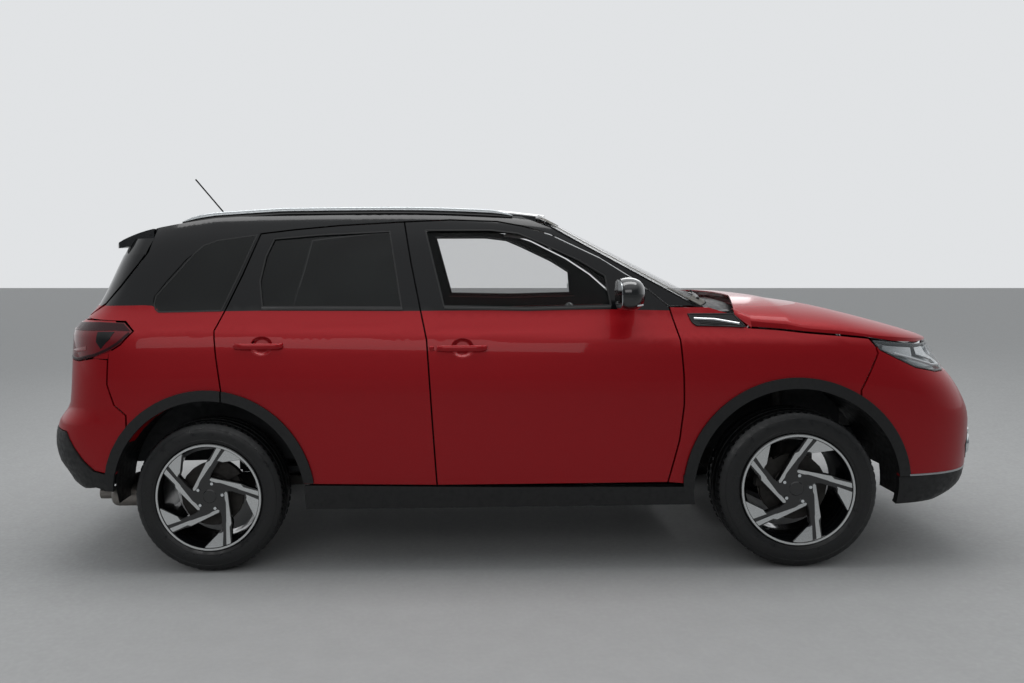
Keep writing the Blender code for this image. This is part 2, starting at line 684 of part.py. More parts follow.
FRONT_DOOR_LOOP = A_LINE + B_LINE[::-1] + FRAME_LINE[1:-1]
DOOR_FOOT = (C_LINE[-1][0], sill_height(C_LINE[-1][0]))
REAR_DOOR_LOOP = B_LINE + [DOOR_FOOT] + C_LINE[::-1] + REAR_FRAME_LINE[1:-1]
WINDOWS = {
    "front": side_view(FRONT_WINDOW_SHARES),
    "rear": side_view(REAR_WINDOW_SHARES),
    "quarter": side_view(QUARTER_WINDOW_SHARES),
}
HINGE_HEIGHTS = (0.560, 0.900)
HINGE_LUG_TALL = 0.030
LUG_REAR = 0.056
LUG_FRONT = 0.023
LUG_INNER = 0.790
LUG_OUTER = 0.846
BRACKET_OUTER = 0.808
HINGE_INSET = 0.024
HINGE_Y = 0.869


def hinge_block(line, height, side, low, high, outer):
    """A hinge leaf behind a door's leading edge; the door's leaves rest on the frame's."""
    x = line_x(line, height)
    near, far = sorted((side * LUG_INNER, side * outer))
    return box_mesh((x - LUG_REAR, near, height + low), (x - LUG_FRONT, far, height + high))


def door(which, side, side_name):
    """A door: outer skin, window frame and inner trim in one solid, and its glass."""
    outline = FRONT_DOOR_LOOP if which == "front" else REAR_DOOR_LOOP
    window = WINDOWS[which]
    skin = polygon(outline, HALF_GAP) - polygon(window)
    frame = polygon(outline, HALF_GAP + FLANGE) - polygon(window, -FLANGE)
    below_belt = rectangle(at(-1), at(2), 0, BELT_HEIGHT - TRIM_MARGIN)
    trim = polygon(outline, HALF_GAP + TRIM_MARGIN) & below_belt
    if which == "rear":
        skin = skin - arch("rear", HALF_GAP)
        frame = frame - arch("rear", HALF_GAP + FLANGE)
        trim = trim - arch("rear", HALF_GAP + TRIM_MARGIN)
    surface = body_side(side)
    inward = (0, -side, 0)
    backs = [inwards(surface, depth, inward) for depth in (SKIN_DEPTH, DOOR_FRAME_DEPTH, DOOR_TRIM_DEPTH)]
    leading = A_LINE if which == "front" else B_LINE
    pivot = (leading[3][0] - HINGE_INSET, side * HINGE_Y, leading[3][1])
    meshes = [stepped_slab([skin, frame, trim], surface, backs, FACET)]
    meshes += [hinge_block(leading, height, side, THRUST_GAP, HINGE_LUG_TALL, LUG_OUTER) for height in HINGE_HEIGHTS]
    if which == "rear":
        band = (arch("rear", ARCH_TRIM_WIDTH) - arch("rear", HALF_GAP)) & polygon(outline, SHUT_GAP)
        meshes.append(stepped_slab([band], body_side(side, CLADDING_PROUD), [inwards(surface, SKIN_DEPTH / 2, inward)], FACET))
    joined(f"{which}_door_{side_name}", meshes, RED, pivot)
    pane = polygon(window, -GLASS_LAP)
    near = inwards(surface, SKIN_DEPTH + GLASS_GAP / 2, inward)
    far = inwards(surface, SKIN_DEPTH + GLASS_DEPTH, inward)
    joined(f"{which}_door_glass_{side_name}", [stepped_slab([pane], near, [far], FACET)], GLASS, pivot, [f"{which}_door_{side_name}"], GLASS_GAP)


# Body side behind the rear door, with the pillars and roof side

def roof_edge_height(x):
    """Height of the roof side where the roof panel's edge meets it."""
    x = np.atleast_1d(np.asarray(x, float))
    return roof_surface(np.stack([x, np.full(len(x), ROOF_PANEL_HALF_WIDTH + ROOF_DITCH)], axis=1))[:, 2]


def windshield_edge(heights):
    """(x, half width) where the windshield meets the body side at each height."""
    half = np.full(len(heights), HALF_WIDTH * 0.8)
    for _ in range(60):
        x = windshield_surface(np.stack([half, heights], axis=1))[:, 0]
        half = half / 2 + half_width(x, heights) / 2
    return x, half


PILLAR_HEIGHT_SHARES = (0.700, 0.76, 0.82, 0.88, 0.93)
PILLAR_FOOT_SHARES = (0.845, 0.700)
ROOF_REAR_SHARE = -0.36
ROOF_LINE_SHARES = (-0.33, -0.22, -0.11, 0, 0.08, 0.16, 0.24, 0.32, 0.40, 0.46, 0.52, 0.56)
GLASS_EDGE = 0.020


def body_side_loop():
    """Outline of the body side in side view: pillars, roof side and quarter."""
    heights = np.array(PILLAR_HEIGHT_SHARES) * ROOF_HEIGHT
    edge, _ = windshield_edge(heights)
    pillar = [(x - GLASS_EDGE, z) for x, z in zip(edge, heights)]
    roof_line = [(at(s), float(roof_edge_height(at(s))[0])) for s in ROOF_LINE_SHARES]
    tail = side_view(TAILGATE_LINE_SHARES)
    lamp_side = side_view(LAMP_RECESS_SHARES)
    bumper = side_view(REAR_BUMPER_LINE_SHARES[1:])
    foot = [(at(-0.425), TYRE_RADIUS), (C_LINE[-1][0], TYRE_RADIUS)]
    return pillar + roof_line[::-1] + tail + lamp_side + bumper + foot + C_LINE[::-1] + REAR_FRAME_LINE[1:-1] + FRAME_LINE


ROOF_TURN_SHARES = (0.885, 0.94)
ROOF_TURN = 6.0
TAIL_TURN = 2.0


def body_side_back(side, depth):
    """Inner face of the body side: straight inwards, but down at the roof and forward at the tail."""
    surface = body_side(side)

    def inner(points):
        x, z = points[:, 0], points[:, 1]
        rise = (z - BELT_HEIGHT) / (roof_top(x) - BELT_HEIGHT)
        low, high = ROOF_TURN_SHARES
        down = ROOF_TURN * np.clip((rise - low) / (high - low), 0, 1)
        reach, _ = end_shape(x, z)
        forward = np.where(x < X_PLAN_REAR, TAIL_TURN * (past_middle(x) / reach) ** 2, 0)
        direction = np.stack([forward, np.full(len(x), -float(side)), -down], axis=1)
        direction /= np.linalg.norm(direction, axis=1, keepdims=True)
        return surface(points) + direction * depth

    return inner


def body_side_panel(side, side_name):
    window = WINDOWS["quarter"]
    region = polygon(body_side_loop(), HALF_GAP) - polygon(window) - arch("rear", HALF_GAP)
    meshes = [stepped_slab([region], body_side(side), [body_side_back(side, BODY_SIDE_DEPTH)], FACET)]
    meshes.append(glass_flange(side))
    joined(f"body_side_{side_name}", meshes, BLACK_PAINT, (0, 0, 0), ["windshield"])
    near = body_side_back(side, GLASS_LAP / 2)
    far = body_side_back(side, GLASS_LAP / 2 + GLASS_DEPTH)
    pane = stepped_slab([polygon(window, GLASS_GAP / 2)], near, [far], FACET)
    joined(f"quarter_glass_{side_name}", [pane], GLASS, (0, 0, 0), [f"body_side_{side_name}"], GLASS_GAP)


DITCH_INNER = 0.505
DITCH_OUTER = 0.5535
DITCH_DEPTH = 0.0105
BOW_DEPTH = 0.020
BOW_HALF = 0.035
FLANGE_INNER = 0.034
FLANGE_OUTER = 0.004
GLASS_FLANGE_DEPTH = 0.016


def ditch_flange(side):
    """The ledge beside the roof panel, on which it lies."""
    stations = np.linspace(ROOF_LINE_SHARES[0], ROOF_LINE_SHARES[-2], 12)
    loop = [(at(s), side * DITCH_INNER) for s in stations] + [(at(s), side * DITCH_OUTER) for s in stations[::-1]]
    region = polygon(turned_left(loop))
    down = (0, 0, -1)
    return stepped_slab([region], inwards(roof_surface, ROOF_DEPTH, down), [inwards(roof_surface, ROOF_DEPTH + DITCH_DEPTH, down)], FACET)


def roof_bow():
    """The cross member between the door posts, under the roof panel."""
    x, down = B_LINE[0][0], (0, 0, -1)
    region = rectangle(x - BOW_HALF, x + BOW_HALF, -DITCH_OUTER, DITCH_OUTER)
    return stepped_slab([region], inwards(roof_surface, ROOF_DEPTH, down), [inwards(roof_surface, ROOF_DEPTH + BOW_DEPTH, down)], FACET)


def glass_flange(side):
    """The ledge of the pillar behind the windshield's edge."""
    heights = np.linspace(PILLAR_HEIGHT_SHARES[0], PILLAR_HEIGHT_SHARES[-1], 6) * ROOF_HEIGHT + FLANGE
    _, half = windshield_edge(heights)
    inner = [(side * (h - FLANGE_INNER), z) for h, z in zip(half, heights)]
    outer = [(side * (h - FLANGE_OUTER), z) for h, z in zip(half, heights)]
    region = polygon(turned_left(inner + outer[::-1]))
    return stepped_slab([region], deeper(windshield_surface, WINDSHIELD_DEPTH), [deeper(windshield_surface, GLASS_FLANGE_DEPTH)], FACET)


def fender(side, side_name):
    under_hood = [(x, z - HOOD_DROP) for x, z in side_view(HOOD_LINE_SHARES[2:])]
    outline = side_view(HOOD_LINE_SHARES[:2]) + under_hood + side_view(FENDER_FRONT_SHARES[1:])
    outline += [(at(1.306), TYRE_RADIUS), (at(0.9), TYRE_RADIUS), (at(0.84), sill_height(at(0.84)))] + A_LINE[::-1][:-1]
    region = polygon(outline, HALF_GAP) - arch("front", HALF_GAP)
    surface = body_side(side)
    slab(f"front_fender_{side_name}", region, surface, inwards(surface, PANEL_DEPTH, (0, -side, 0)), RED)



def windshield_top(y):
    """Place along the car of the windshield's top edge."""
    height = WINDSHIELD_TOP_SHARE * ROOF_HEIGHT
    return float(windshield_surface(np.array([[y, height]]))[0, 0])


WIDTH_STEP_SHARES = (1.0, 0.66, 0.33, 0.0, -0.33, -0.66, -1.0)


def roof():
    half = ROOF_PANEL_HALF_WIDTH
    front = [(windshield_top(half * s) - SHUT_GAP, half * s) for s in WIDTH_STEP_SHARES]
    loop = front + [(at(ROOF_REAR_SHARE), -half), (at(ROOF_REAR_SHARE), half)]
    panel = stepped_slab([polygon(loop)], roof_surface, [inwards(roof_surface, ROOF_DEPTH, (0, 0, -1))], FACET)
    joined("roof_panel", [panel, roof_hinge(RIGHT), roof_hinge(LEFT)], BLACK_PAINT)


def windshield():
    heights = np.linspace(PILLAR_FOOT_SHARES[1], WINDSHIELD_TOP_SHARE, 7) * ROOF_HEIGHT
    _, half = windshield_edge(heights)
    half = np.minimum(half - GLASS_EDGE, ROOF_PANEL_HALF_WIDTH + (half[0] - ROOF_PANEL_HALF_WIDTH) * 1.2)
    right = [(-h, z) for h, z in zip(half, heights)]
    loop = right + [(-y, z) for y, z in right[::-1]]
    back = inwards(windshield_surface, WINDSHIELD_DEPTH, (-math.sin(WINDSHIELD_RAKE), 0, -math.cos(WINDSHIELD_RAKE)))
    slab("windshield", polygon(loop), windshield_surface, back, GLASS)


# Hood and cowl

HOOD_REAR_SIDE_SHARE = 0.912
HOOD_REAR_CENTRE_SHARE = 0.958
HOOD_DEPTH = 0.030
HOOD_HINGE_BACK = 0.030


def hood_boundary():
    """Points (x, y) along the hood's edge from its rear corner to the nose."""
    points = []
    for girth in np.linspace(at(0.935), FRONT_END, 16):
        x = np.array([min(girth, at(1.9))])
        for _ in range(4):
            x, half = wrap(np.array([girth]), hood_edge(x))
        points.append((float(x[0]), max(float(half[0]), 0)))
    return points


def hood():
    edge = hood_boundary()
    corner = (at(HOOD_REAR_SIDE_SHARE), edge[0][1] - HOOD_CORNER_STEP)
    rear = [(at(HOOD_REAR_CENTRE_SHARE), 0), ((at(HOOD_REAR_CENTRE_SHARE) * 3 + corner[0]) / 4, corner[1] / 2)]
    half = rear[1:] + [corner] + edge
    loop = [rear[0]] + half + [(x, -y) for x, y in half[-2::-1]]
    pivot = (at(HOOD_REAR_SIDE_SHARE) - HOOD_HINGE_BACK, 0, HOOD_CROWN_SHARES[0] * ROOF_HEIGHT - HOOD_DEPTH)
    backs = [inwards(hood_surface, depth, (0, 0, -1)) for depth in (HOOD_LIP_DEPTH, HOOD_DEPTH)]
    levels = [polygon(loop, HALF_GAP), polygon(loop, TRIM_MARGIN)]
    meshes = [stepped_slab(levels, hood_surface, backs, FACET)]
    for side, _ in SIDES:
        low, high = sorted((side * HOOD_ARM_INNER, side * (HOOD_ARM_INNER + HOOD_ARM_WIDE)))
        meshes.append(prism_mesh(HOOD_ARM, low, high, 1))
    joined("hood", meshes, RED, pivot)


HOOD_CORNER_STEP = 0.035
HOOD_ARM_INNER = 0.735
HOOD_ARM_WIDE = 0.010
HOOD_ARM = [(0.958, 1.005), (0.985, 1.005), (1.075, 1.040), (1.085, 1.062), (1.045, 1.072), (0.965, 1.030)]
COWL_DROP = 0.028
COWL_DEPTH = 0.016
COWL_HALF_SHARE = 0.82


def cowl():
    """The black trim panel between the hood's rear edge and the windshield's foot."""
    half = HALF_WIDTH * COWL_HALF_SHARE
    front = [(at(HOOD_REAR_CENTRE_SHARE) - SHUT_GAP - (at(HOOD_REAR_CENTRE_SHARE) - at(HOOD_REAR_SIDE_SHARE)) * abs(s) ** 1.4, half * s) for s in WIDTH_STEP_SHARES]
    foot = PILLAR_FOOT_SHARES[1] * ROOF_HEIGHT - COWL_DROP / 2
    rear = [(float(windshield_surface(np.array([[half * s, foot]]))[0, 0]) - WINDSHIELD_DEPTH * 5, half * s) for s in WIDTH_STEP_SHARES[::-1]]

    def surface(points):
        return np.stack([points[:, 0], points[:, 1], np.full(len(points), PILLAR_FOOT_SHARES[1] * ROOF_HEIGHT - COWL_DROP)], axis=1)

    slab("cowl_panel", polygon(front + rear), surface, inwards(surface, COWL_DEPTH, (0, 0, -1)), CLADDING, FACET * 2)


# The ends of the car, over (distance round from the centre line, height)

def round_view(shares, end):
    """(distance from the centre line, height) of side-view points near one end."""
    points = np.array(side_view(shares))
    return [(abs(end - g), z) for g, z in zip(girth_of(points[:, 0], points[:, 1]), points[:, 1])]


def face_view(shares):
    return [(y * HALF_WIDTH, z * ROOF_HEIGHT) for y, z in shares]


def both_sides(half_loop):
    """A loop across the car from the points of its left half, bottom to top."""
    return half_loop + [(-y, z) for y, z in half_loop[::-1]]


def round_arch(which, end, extra):
    x0, z0 = WHEEL_CENTRES[which]
    radius = ARCH_RADIUS + extra
    angles = [2 * math.pi * i / 40 for i in range(40)]
    circle = np.array([(x0 + radius * math.cos(a), z0 + radius * math.sin(a)) for a in angles])
    loop = [(abs(end - g), z) for g, z in zip(girth_of(circle[:, 0], circle[:, 1]), circle[:, 1])]
    return polygon(loop), polygon([(-q, z) for q, z in loop])


def mirrored(points):
    return [(-q, z) for q, z in points]


def cut_both(region, points, grow=0):
    return region - polygon(points, -grow) - polygon(mirrored(points), -grow)


HEADLAMP_LOOP = round_view(HEADLAMP_TOP_SHARES, FRONT_END) + face_view(HEADLAMP_FACE_SHARES)[::-1] + round_view(HEADLAMP_FOOT_SHARES, FRONT_END)
TAIL_LAMP_LOOP = round_view(TAIL_LAMP_TOP_SHARES, REAR_END) + face_view(TAIL_LAMP_FACE_SHARES) + round_view(TAIL_LAMP_FOOT_SHARES, REAR_END)
LAMP_DEPTH = 0.060
LAMP_GAP = 0.002
BUMPER_TOP_SHARE = 0.562
TAILGATE_FOOT_SHARE = 0.452
SKIRT_TOP_SHARE = 0.395
REAR_SKIRT_BOTTOM_SHARE = 0.200
BUMPER_DEPTH = 0.025


def front_bumper():
    surface = wrapped(FRONT_END)
    half = face_view(((0, FRONT_SKIRT_SHARE), (0.6, FRONT_SKIRT_SHARE)))
    half += round_view(((1.306, FRONT_SKIRT_SHARE),), FRONT_END)
    half += round_view(FENDER_FRONT_SHARES[::-1], FRONT_END) + round_view(((1.50, 0.590), (1.63, 0.583)), FRONT_END)
    half += face_view(((0.60, 0.580), (0.45, BUMPER_TOP_SHARE), (0, BUMPER_TOP_SHARE)))
    region = polygon(both_sides(half[1:-1]), HALF_GAP)
    region = cut_both(region, HEADLAMP_LOOP, HALF_GAP)
    for opening in round_arch("front", FRONT_END, HALF_GAP):
        region = region - opening
    region = region - polygon(both_sides(face_view(GRILLE_SHARES[::-1]))) - polygon(both_sides(face_view(INTAKE_SHARES[::-1])))
    slab("front_bumper", region, surface, deeper(surface, BUMPER_DEPTH), RED)


GRILLE_SETBACK = 0.012
GRILLE_DEPTH = 0.030
GRILLE_SLOTS = 9
GRILLE_BAR = 0.022


def slotted(loop, slots, bar):
    """A bounded area with a row of upright slots in its middle band."""
    low = min(z for _, z in loop) + bar
    high = max(z for _, z in loop) - bar
    reach = min(abs(q) for q, z in loop) - bar
    region = polygon(loop)
    pitch = 2 * reach / slots
    for i in range(slots):
        start = -reach + i * pitch
        region = region - rectangle(start + bar / 4, start + pitch - bar / 4, low, high)
    return region


def grille():
    surface = wrapped(FRONT_END)
    loop = inset(both_sides(face_view(GRILLE_SHARES[::-1])), 2 * SEAT_GAP)
    region = slotted([tuple(p) for p in loop], GRILLE_SLOTS, GRILLE_BAR)
    slab("upper_grille", region, deeper(surface, GRILLE_SETBACK / 2), deeper(surface, GRILLE_SETBACK / 2 + GRILLE_DEPTH), CLADDING)


def headlamp(side, side_name):
    surface = wrapped(FRONT_END)
    loop = [(side * q, z) for q, z in HEADLAMP_LOOP]
    levels = [polygon(loop, LAMP_GAP), polygon(loop, FLANGE)]
    backs = [deeper(surface, PANEL_DEPTH), deeper(surface, LAMP_DEPTH)]
    placed(f"headlamp_{side_name}", stepped_slab(levels, surface, backs, FACET), LAMP)


def tail_lamp(side, side_name):
    surface = wrapped(REAR_END)
    loop = [(side * q, z) for q, z in TAIL_LAMP_LOOP]
    levels = [polygon(loop, LAMP_GAP), polygon(loop, FLANGE)]
    backs = [deeper(surface, PANEL_DEPTH), deeper(surface, LAMP_DEPTH)]
    placed(f"tail_lamp_{side_name}", stepped_slab(levels, surface, backs, FACET), TAIL_LAMP)


def front_skirt():
    surface = wrapped(FRONT_END)
    half = face_view(((0, FRONT_SKIRT_BOTTOM_SHARE), (0.6, FRONT_SKIRT_BOTTOM_SHARE)))
    half += round_view(((1.50, FRONT_SKIRT_BOTTOM_SHARE), (1.30, FRONT_SKIRT_BOTTOM_SHARE), (1.30, FRONT_SKIRT_SHARE), (1.50, FRONT_SKIRT_SHARE)), FRONT_END)
    half += face_view(((0.6, FRONT_SKIRT_SHARE), (0, FRONT_SKIRT_SHARE)))
    region = polygon(both_sides(half[1:-1]), SEAT_GAP)
    for opening in round_arch("front", FRONT_END, HALF_GAP):
        region = region - opening
    slab("front_skirt", region, surface, deeper(surface, BUMPER_DEPTH), CLADDING)


def tailgate_loop():
    """Outline of the tailgate, round the rear end."""
    line = round_view(TAILGATE_LINE_SHARES, REAR_END)
    return both_sides(face_view(TAILGATE_FACE_SHARES)[::-1] + line[::-1])


def rear_bumper():
    surface = wrapped(REAR_END)
    skirt = round_view(REAR_SKIRT_SHARES, REAR_END)
    half = [(0, SKIRT_TOP_SHARE * ROOF_HEIGHT), (0.66 * HALF_WIDTH, SKIRT_TOP_SHARE * ROOF_HEIGHT)] + skirt[::-1]
    half += round_view(((-0.425, 0.30),), REAR_END)
    half += round_view(REAR_BUMPER_LINE_SHARES[::-1], REAR_END) + round_view(((-0.72, 0.590),), REAR_END)
    half += face_view(((0.575, 0.598), (0.56, 0.585), (0.640, 0.555), (0.660, 0.498), (0.630, TAILGATE_FOOT_SHARE), (0, TAILGATE_FOOT_SHARE)))
    region = polygon(both_sides(half[1:-1]), HALF_GAP) - polygon(tailgate_loop(), -HALF_GAP)
    region = cut_both(region, TAIL_LAMP_LOOP, HALF_GAP)
    for opening in round_arch("rear", REAR_END, HALF_GAP):
        region = region - opening
    slab("rear_bumper", region, surface, deeper(surface, BUMPER_DEPTH), RED)


def rear_skirt():
    """The black lower rear bumper with the arch trims that run up from its ends."""
    skirt = round_view(REAR_SKIRT_SHARES, REAR_END)
    bottom = round_view(((-0.62, 0.235), (-0.52, 0.226), (-0.40, 0.226), (-0.40, 0.272)), REAR_END)
    half = face_view(((0, REAR_SKIRT_BOTTOM_SHARE), (0.6, REAR_SKIRT_BOTTOM_SHARE), (0.78, 0.215)))
    half += bottom + skirt + [(0.66 * HALF_WIDTH, SKIRT_TOP_SHARE * ROOF_HEIGHT), (0, SKIRT_TOP_SHARE * ROOF_HEIGHT)]
    lower = polygon(both_sides(half[1:-1]), SEAT_GAP)
    foot = bottom[1][1]
    door_side = [(abs(REAR_END - x), z) for x, z in C_LINE[3:]]
    behind_door = [(q - SHUT_GAP, z) for q, z in door_side] + [(door_side[-1][0] - SHUT_GAP, foot), (0.2, foot), (0.2, door_side[0][1])]
    trims = []
    for grown, opening, band in zip(round_arch("rear", REAR_END, ARCH_TRIM_WIDTH), round_arch("rear", REAR_END, HALF_GAP), (behind_door, mirrored(behind_door))):
        lower = lower - opening
        trims.append((grown - opening) & polygon(band))
    whole = lower | trims[0] | trims[1]
    inner = deeper(wrapped(REAR_END), BUMPER_DEPTH)
    backs = [wrapped(REAR_END, TRIM_STANDOFF, SKIN_DEPTH), inner]
    placed("rear_skirt", stepped_slab([whole, lower], wrapped(REAR_END, CLADDING_PROUD), backs, FACET), CLADDING)


TRIM_STANDOFF = 0.0015
TAILGATE_DEPTH = 0.035
TAILGATE_GAP = 0.0094
TAILGATE_HINGE_Z_SHARE = 0.963
SPOILER_REACH = 0.235
SPOILER_DEPTH = 0.026


def tailgate():
    surface = wrapped(REAR_END)
    window = both_sides(face_view(TAIL_GLASS_SHARES))
    skin = polygon(tailgate_loop(), TAILGATE_GAP) - polygon(window)
    deep = polygon(tailgate_loop(), TRIM_MARGIN) - polygon(window, -FLANGE)
    pivot = (at(ROOF_REAR_SHARE), 0, TAILGATE_HINGE_Z_SHARE * ROOF_HEIGHT)
    backs = [deeper(surface, SKIN_DEPTH), deeper(surface, TAILGATE_DEPTH)]
    placed("tailgate", stepped_slab([skin, deep], surface, backs, FACET), RED, pivot)
    pane = polygon(window, -GLASS_LAP)
    near = deeper(surface, SKIN_DEPTH - CURVED_GLASS_GAP)
    far = deeper(surface, SKIN_DEPTH + GLASS_DEPTH)
    joined("tailgate_glass", [stepped_slab([pane], near, [far], FACET)], GLASS, pivot, ["tailgate"], GLASS_GAP)


def spoiler():
    """The roof spoiler, which carries the roof line over the tailgate's head."""
    half = ROOF_PANEL_HALF_WIDTH * 1.02
    front = at(ROOF_REAR_SHARE) - SHUT_GAP
    tip = front - SPOILER_REACH
    loop = [(front, half), (tip + SPOILER_REACH * 0.25, half), (tip, half * 0.6), (tip, -half * 0.6), (tip + SPOILER_REACH * 0.25, -half), (front, -half)]
    pivot = (at(ROOF_REAR_SHARE), 0, TAILGATE_HINGE_Z_SHARE * ROOF_HEIGHT)
    meshes = [stepped_slab([polygon(loop)], roof_surface, [inwards(roof_surface, SPOILER_DEPTH, (0, 0, -1))], FACET)]
    back, ahead, underside = pivot[0] - SPOILER_FOOT_BACK, pivot[0] + GATE_LUG_AHEAD, pivot[2] - GATE_LUG_BELOW
    for side, _ in SIDES:
        low, high = sorted((side * GATE_LUG_INNER, side * GATE_LUG_OUTER))
        meshes.append(box_mesh((back, low, underside), (ahead, high, pivot[2] - GATE_LUG_TOP)))
        meshes.append(box_mesh((back, low, underside), (front - HALF_GAP, high, pivot[2] - GATE_LUG_TOP / 2)))
    foot_half = 2 * GATE_LUG_OUTER / 3
    meshes.append(box_mesh((back, -foot_half, pivot[2] - SPOILER_FOOT), (front - SHUT_GAP, foot_half, pivot[2] - GATE_LUG_TOP / 2)))
    meshes.append(box_mesh((pivot[0] - SPOILER_FOOT_REACH, -foot_half, pivot[2] - SPOILER_FOOT), (back + SHUT_GAP, foot_half, pivot[2] - SPOILER_FOOT_TOP)))
    joined("roof_spoiler", meshes, BLACK_PAINT, pivot, ["tailgate"])


GATE_LUG_INNER = 0.400
GATE_LUG_OUTER = 0.425
GATE_LUG_AHEAD = 0.013
GATE_LUG_BELOW = 0.044
GATE_LUG_TOP = 0.029
SPOILER_FOOT = 0.119
SPOILER_FOOT_BACK = 0.050
SPOILER_FOOT_REACH = 0.212
SPOILER_FOOT_TOP = 0.070


def roof_hinge(side):
    """The roof's half of a tailgate hinge, beside the spoiler's lug."""
    low, high = sorted((side * (GATE_LUG_OUTER + THRUST_GAP), side * (GATE_LUG_OUTER + PANEL_DEPTH)))
    x, z = at(ROOF_REAR_SHARE), TAILGATE_HINGE_Z_SHARE * ROOF_HEIGHT
    return box_mesh((x - GLASS_BITE, low, z - GATE_LUG_BELOW), (x + 2 * PANEL_DEPTH, high, z - GATE_LUG_TOP / 2))



# Sills and front arch trims

SILL_DEPTH = 0.042
SILL_HEM = 0.008
CHORD_ROOM = 0.0015


def side_cladding(side, side_name):
    """The black sill moulding and the front arch trim, in one length."""
    rear = X_REAR_AXLE + ARCH_RADIUS + HALF_GAP
    front = X_FRONT_AXLE - ARCH_RADIUS
    low = SILL_BOTTOM_SHARE * ROOF_HEIGHT
    top = [(x, sill_height(x) - HALF_GAP - CHORD_ROOM) for x in (front, X_MIDDLE, rear)]
    outline = [(rear, low), (front, low)] + top
    sill = polygon(outline) - arch("rear", HALF_GAP) - arch("front", HALF_GAP)
    deep = polygon(outline, SILL_HEM) - arch("rear", HALF_GAP + SILL_HEM) - arch("front", HALF_GAP + SILL_HEM)
    above = rectangle(at(0.7), at(1.6), FRONT_SKIRT_SHARE * ROOF_HEIGHT + HALF_GAP, ROOF_HEIGHT / 2)
    trim = (arch("front", ARCH_TRIM_WIDTH) - arch("front", HALF_GAP)) & above
    outer = body_side(side, CLADDING_PROUD)
    flank = body_side(side)
    backs = [body_side(side, TRIM_STANDOFF), inwards(flank, SILL_DEPTH, (0, -side, 0))]
    heel = rectangle(front - ARCH_TRIM_WIDTH, front, low, sill_height(front) + ARCH_TRIM_WIDTH) - arch("front", HALF_GAP)
    heel = heel - polygon(FRONT_DOOR_LOOP, -HALF_GAP)
    placed(f"side_cladding_{side_name}", stepped_slab([sill | trim | heel, deep], outer, backs, FACET), CLADDING)


# Roof rails

RAIL_HEIGHT = 0.030
RAIL_WIDTH = 0.026
RAIL_FEET_SHARES = (-0.20, 0.545)
RAIL_RISE_SHARE = 0.06
RAIL_FLOOR = -0.0015
RAIL_CLEAR = 0.006
RAIL_STEPS = 14


def side_height(x, y):
    """Height at which the body side's surface reaches this distance from the middle, near the roof."""
    low, high = 0.85 * ROOF_HEIGHT, float(roof_top(np.array([x]))[0])
    for _ in range(30):
        middle = (low + high) / 2
        if float(half_width(np.array([x]), np.array([middle]))[0]) > y:
            low = middle
        else:
            high = middle
    return low


def roof_rail(side, side_name):
    """A low rail along the roof side, tapered down to the roof at both ends."""
    first, last = RAIL_FEET_SHARES
    stations = np.linspace(first, last, RAIL_STEPS + 1)
    middle = ROOF_PANEL_HALF_WIDTH + ROOF_DITCH + RAIL_WIDTH / 2
    mesh = bmesh.new()
    rings = []
    for station in stations:
        x = at(station)
        rise = min(station - first, last - station) / (last - first) / RAIL_RISE_SHARE
        height = RAIL_HEIGHT * min(1, 0.25 + 0.75 * math.sin(min(rise, 1) * QUARTER_TURN))
        floor = RAIL_FLOOR + RAIL_CLEAR * min(rise, 1)
        ring = []
        for across, up in ((-1, 0), (1, 0), (1, 0.55), (0.5, 1), (-0.5, 1), (-1, 0.55)):
            y = middle + across * RAIL_WIDTH / 2
            ground = side_height(x, y if up == 0 else middle - RAIL_WIDTH / 2)
            ring.append(mesh.verts.new((x, side * y, ground + floor + up * height)))
        rings.append(ring)
    for here, there in zip(rings, rings[1:]):
        for j in range(6):
            k = (j + 1) % 6
            mesh.faces.new([here[j], here[k], there[k], there[j]])
    mesh.faces.new(rings[0][::-1])
    mesh.faces.new(rings[-1])
    bmesh.ops.recalc_face_normals(mesh, faces=mesh.faces)
    joined(f"roof_rail_{side_name}", [mesh], SATIN, (0, 0, 0), [f"body_side_{side_name}"])


# Mirrors

MIRROR_X_SHARE = 0.729
MIRROR_HEIGHT_SHARE = 0.745
MIRROR_WIDTH = 0.190
MIRROR_DEPTH = 0.105
MIRROR_TALL = 0.140
MIRROR_INNER = 0.815


def mirror(side, side_name):
    """A door mirror: a rounded head on a foot that stands on the door's sail."""
    x, z = at(MIRROR_X_SHARE), MIRROR_HEIGHT_SHARE * ROOF_HEIGHT
    head = bmesh.new()
    bmesh.ops.create_uvsphere(head, u_segments=16, v_segments=10, radius=1)
    for vert in head.verts:
        flat = max(vert.co.x, -0.55)
        vert.co = (flat * MIRROR_DEPTH / 1.55, vert.co.y * MIRROR_WIDTH / 2, vert.co.z * MIRROR_TALL / 2)
    bmesh.ops.translate(head, verts=head.verts, vec=(x, side * (MIRROR_INNER + MIRROR_WIDTH / 2), z))
    foot_z = BELT_HEIGHT + MIRROR_DEPTH * 0.18
    end = side * (MIRROR_INNER + MIRROR_WIDTH / 4)
    foot = prism_mesh([(x - 0.2 * MIRROR_DEPTH, foot_z - MIRROR_TALL / 10), (x + 0.35 * MIRROR_DEPTH, foot_z - MIRROR_TALL / 10), (x + 0.2 * MIRROR_DEPTH, z), (x - 0.1 * MIRROR_DEPTH, z)], 0, 1, 1)
    for vert in foot.verts:
        near = float(half_width(np.array([vert.co.x]), np.array([vert.co.z]))[0]) - SKIN_DEPTH / 2
        vert.co.y = side * near if vert.co.y < 0.5 else end
    bmesh.ops.recalc_face_normals(foot, faces=foot.faces)
    hinge = bpy.data.objects[f"front_door_{side_name}"].location
    joined(f"mirror_{side_name}", [head, foot], BLACK_PAINT, hinge, [f"front_door_{side_name}", f"front_door_glass_{side_name}"])


# Wheels

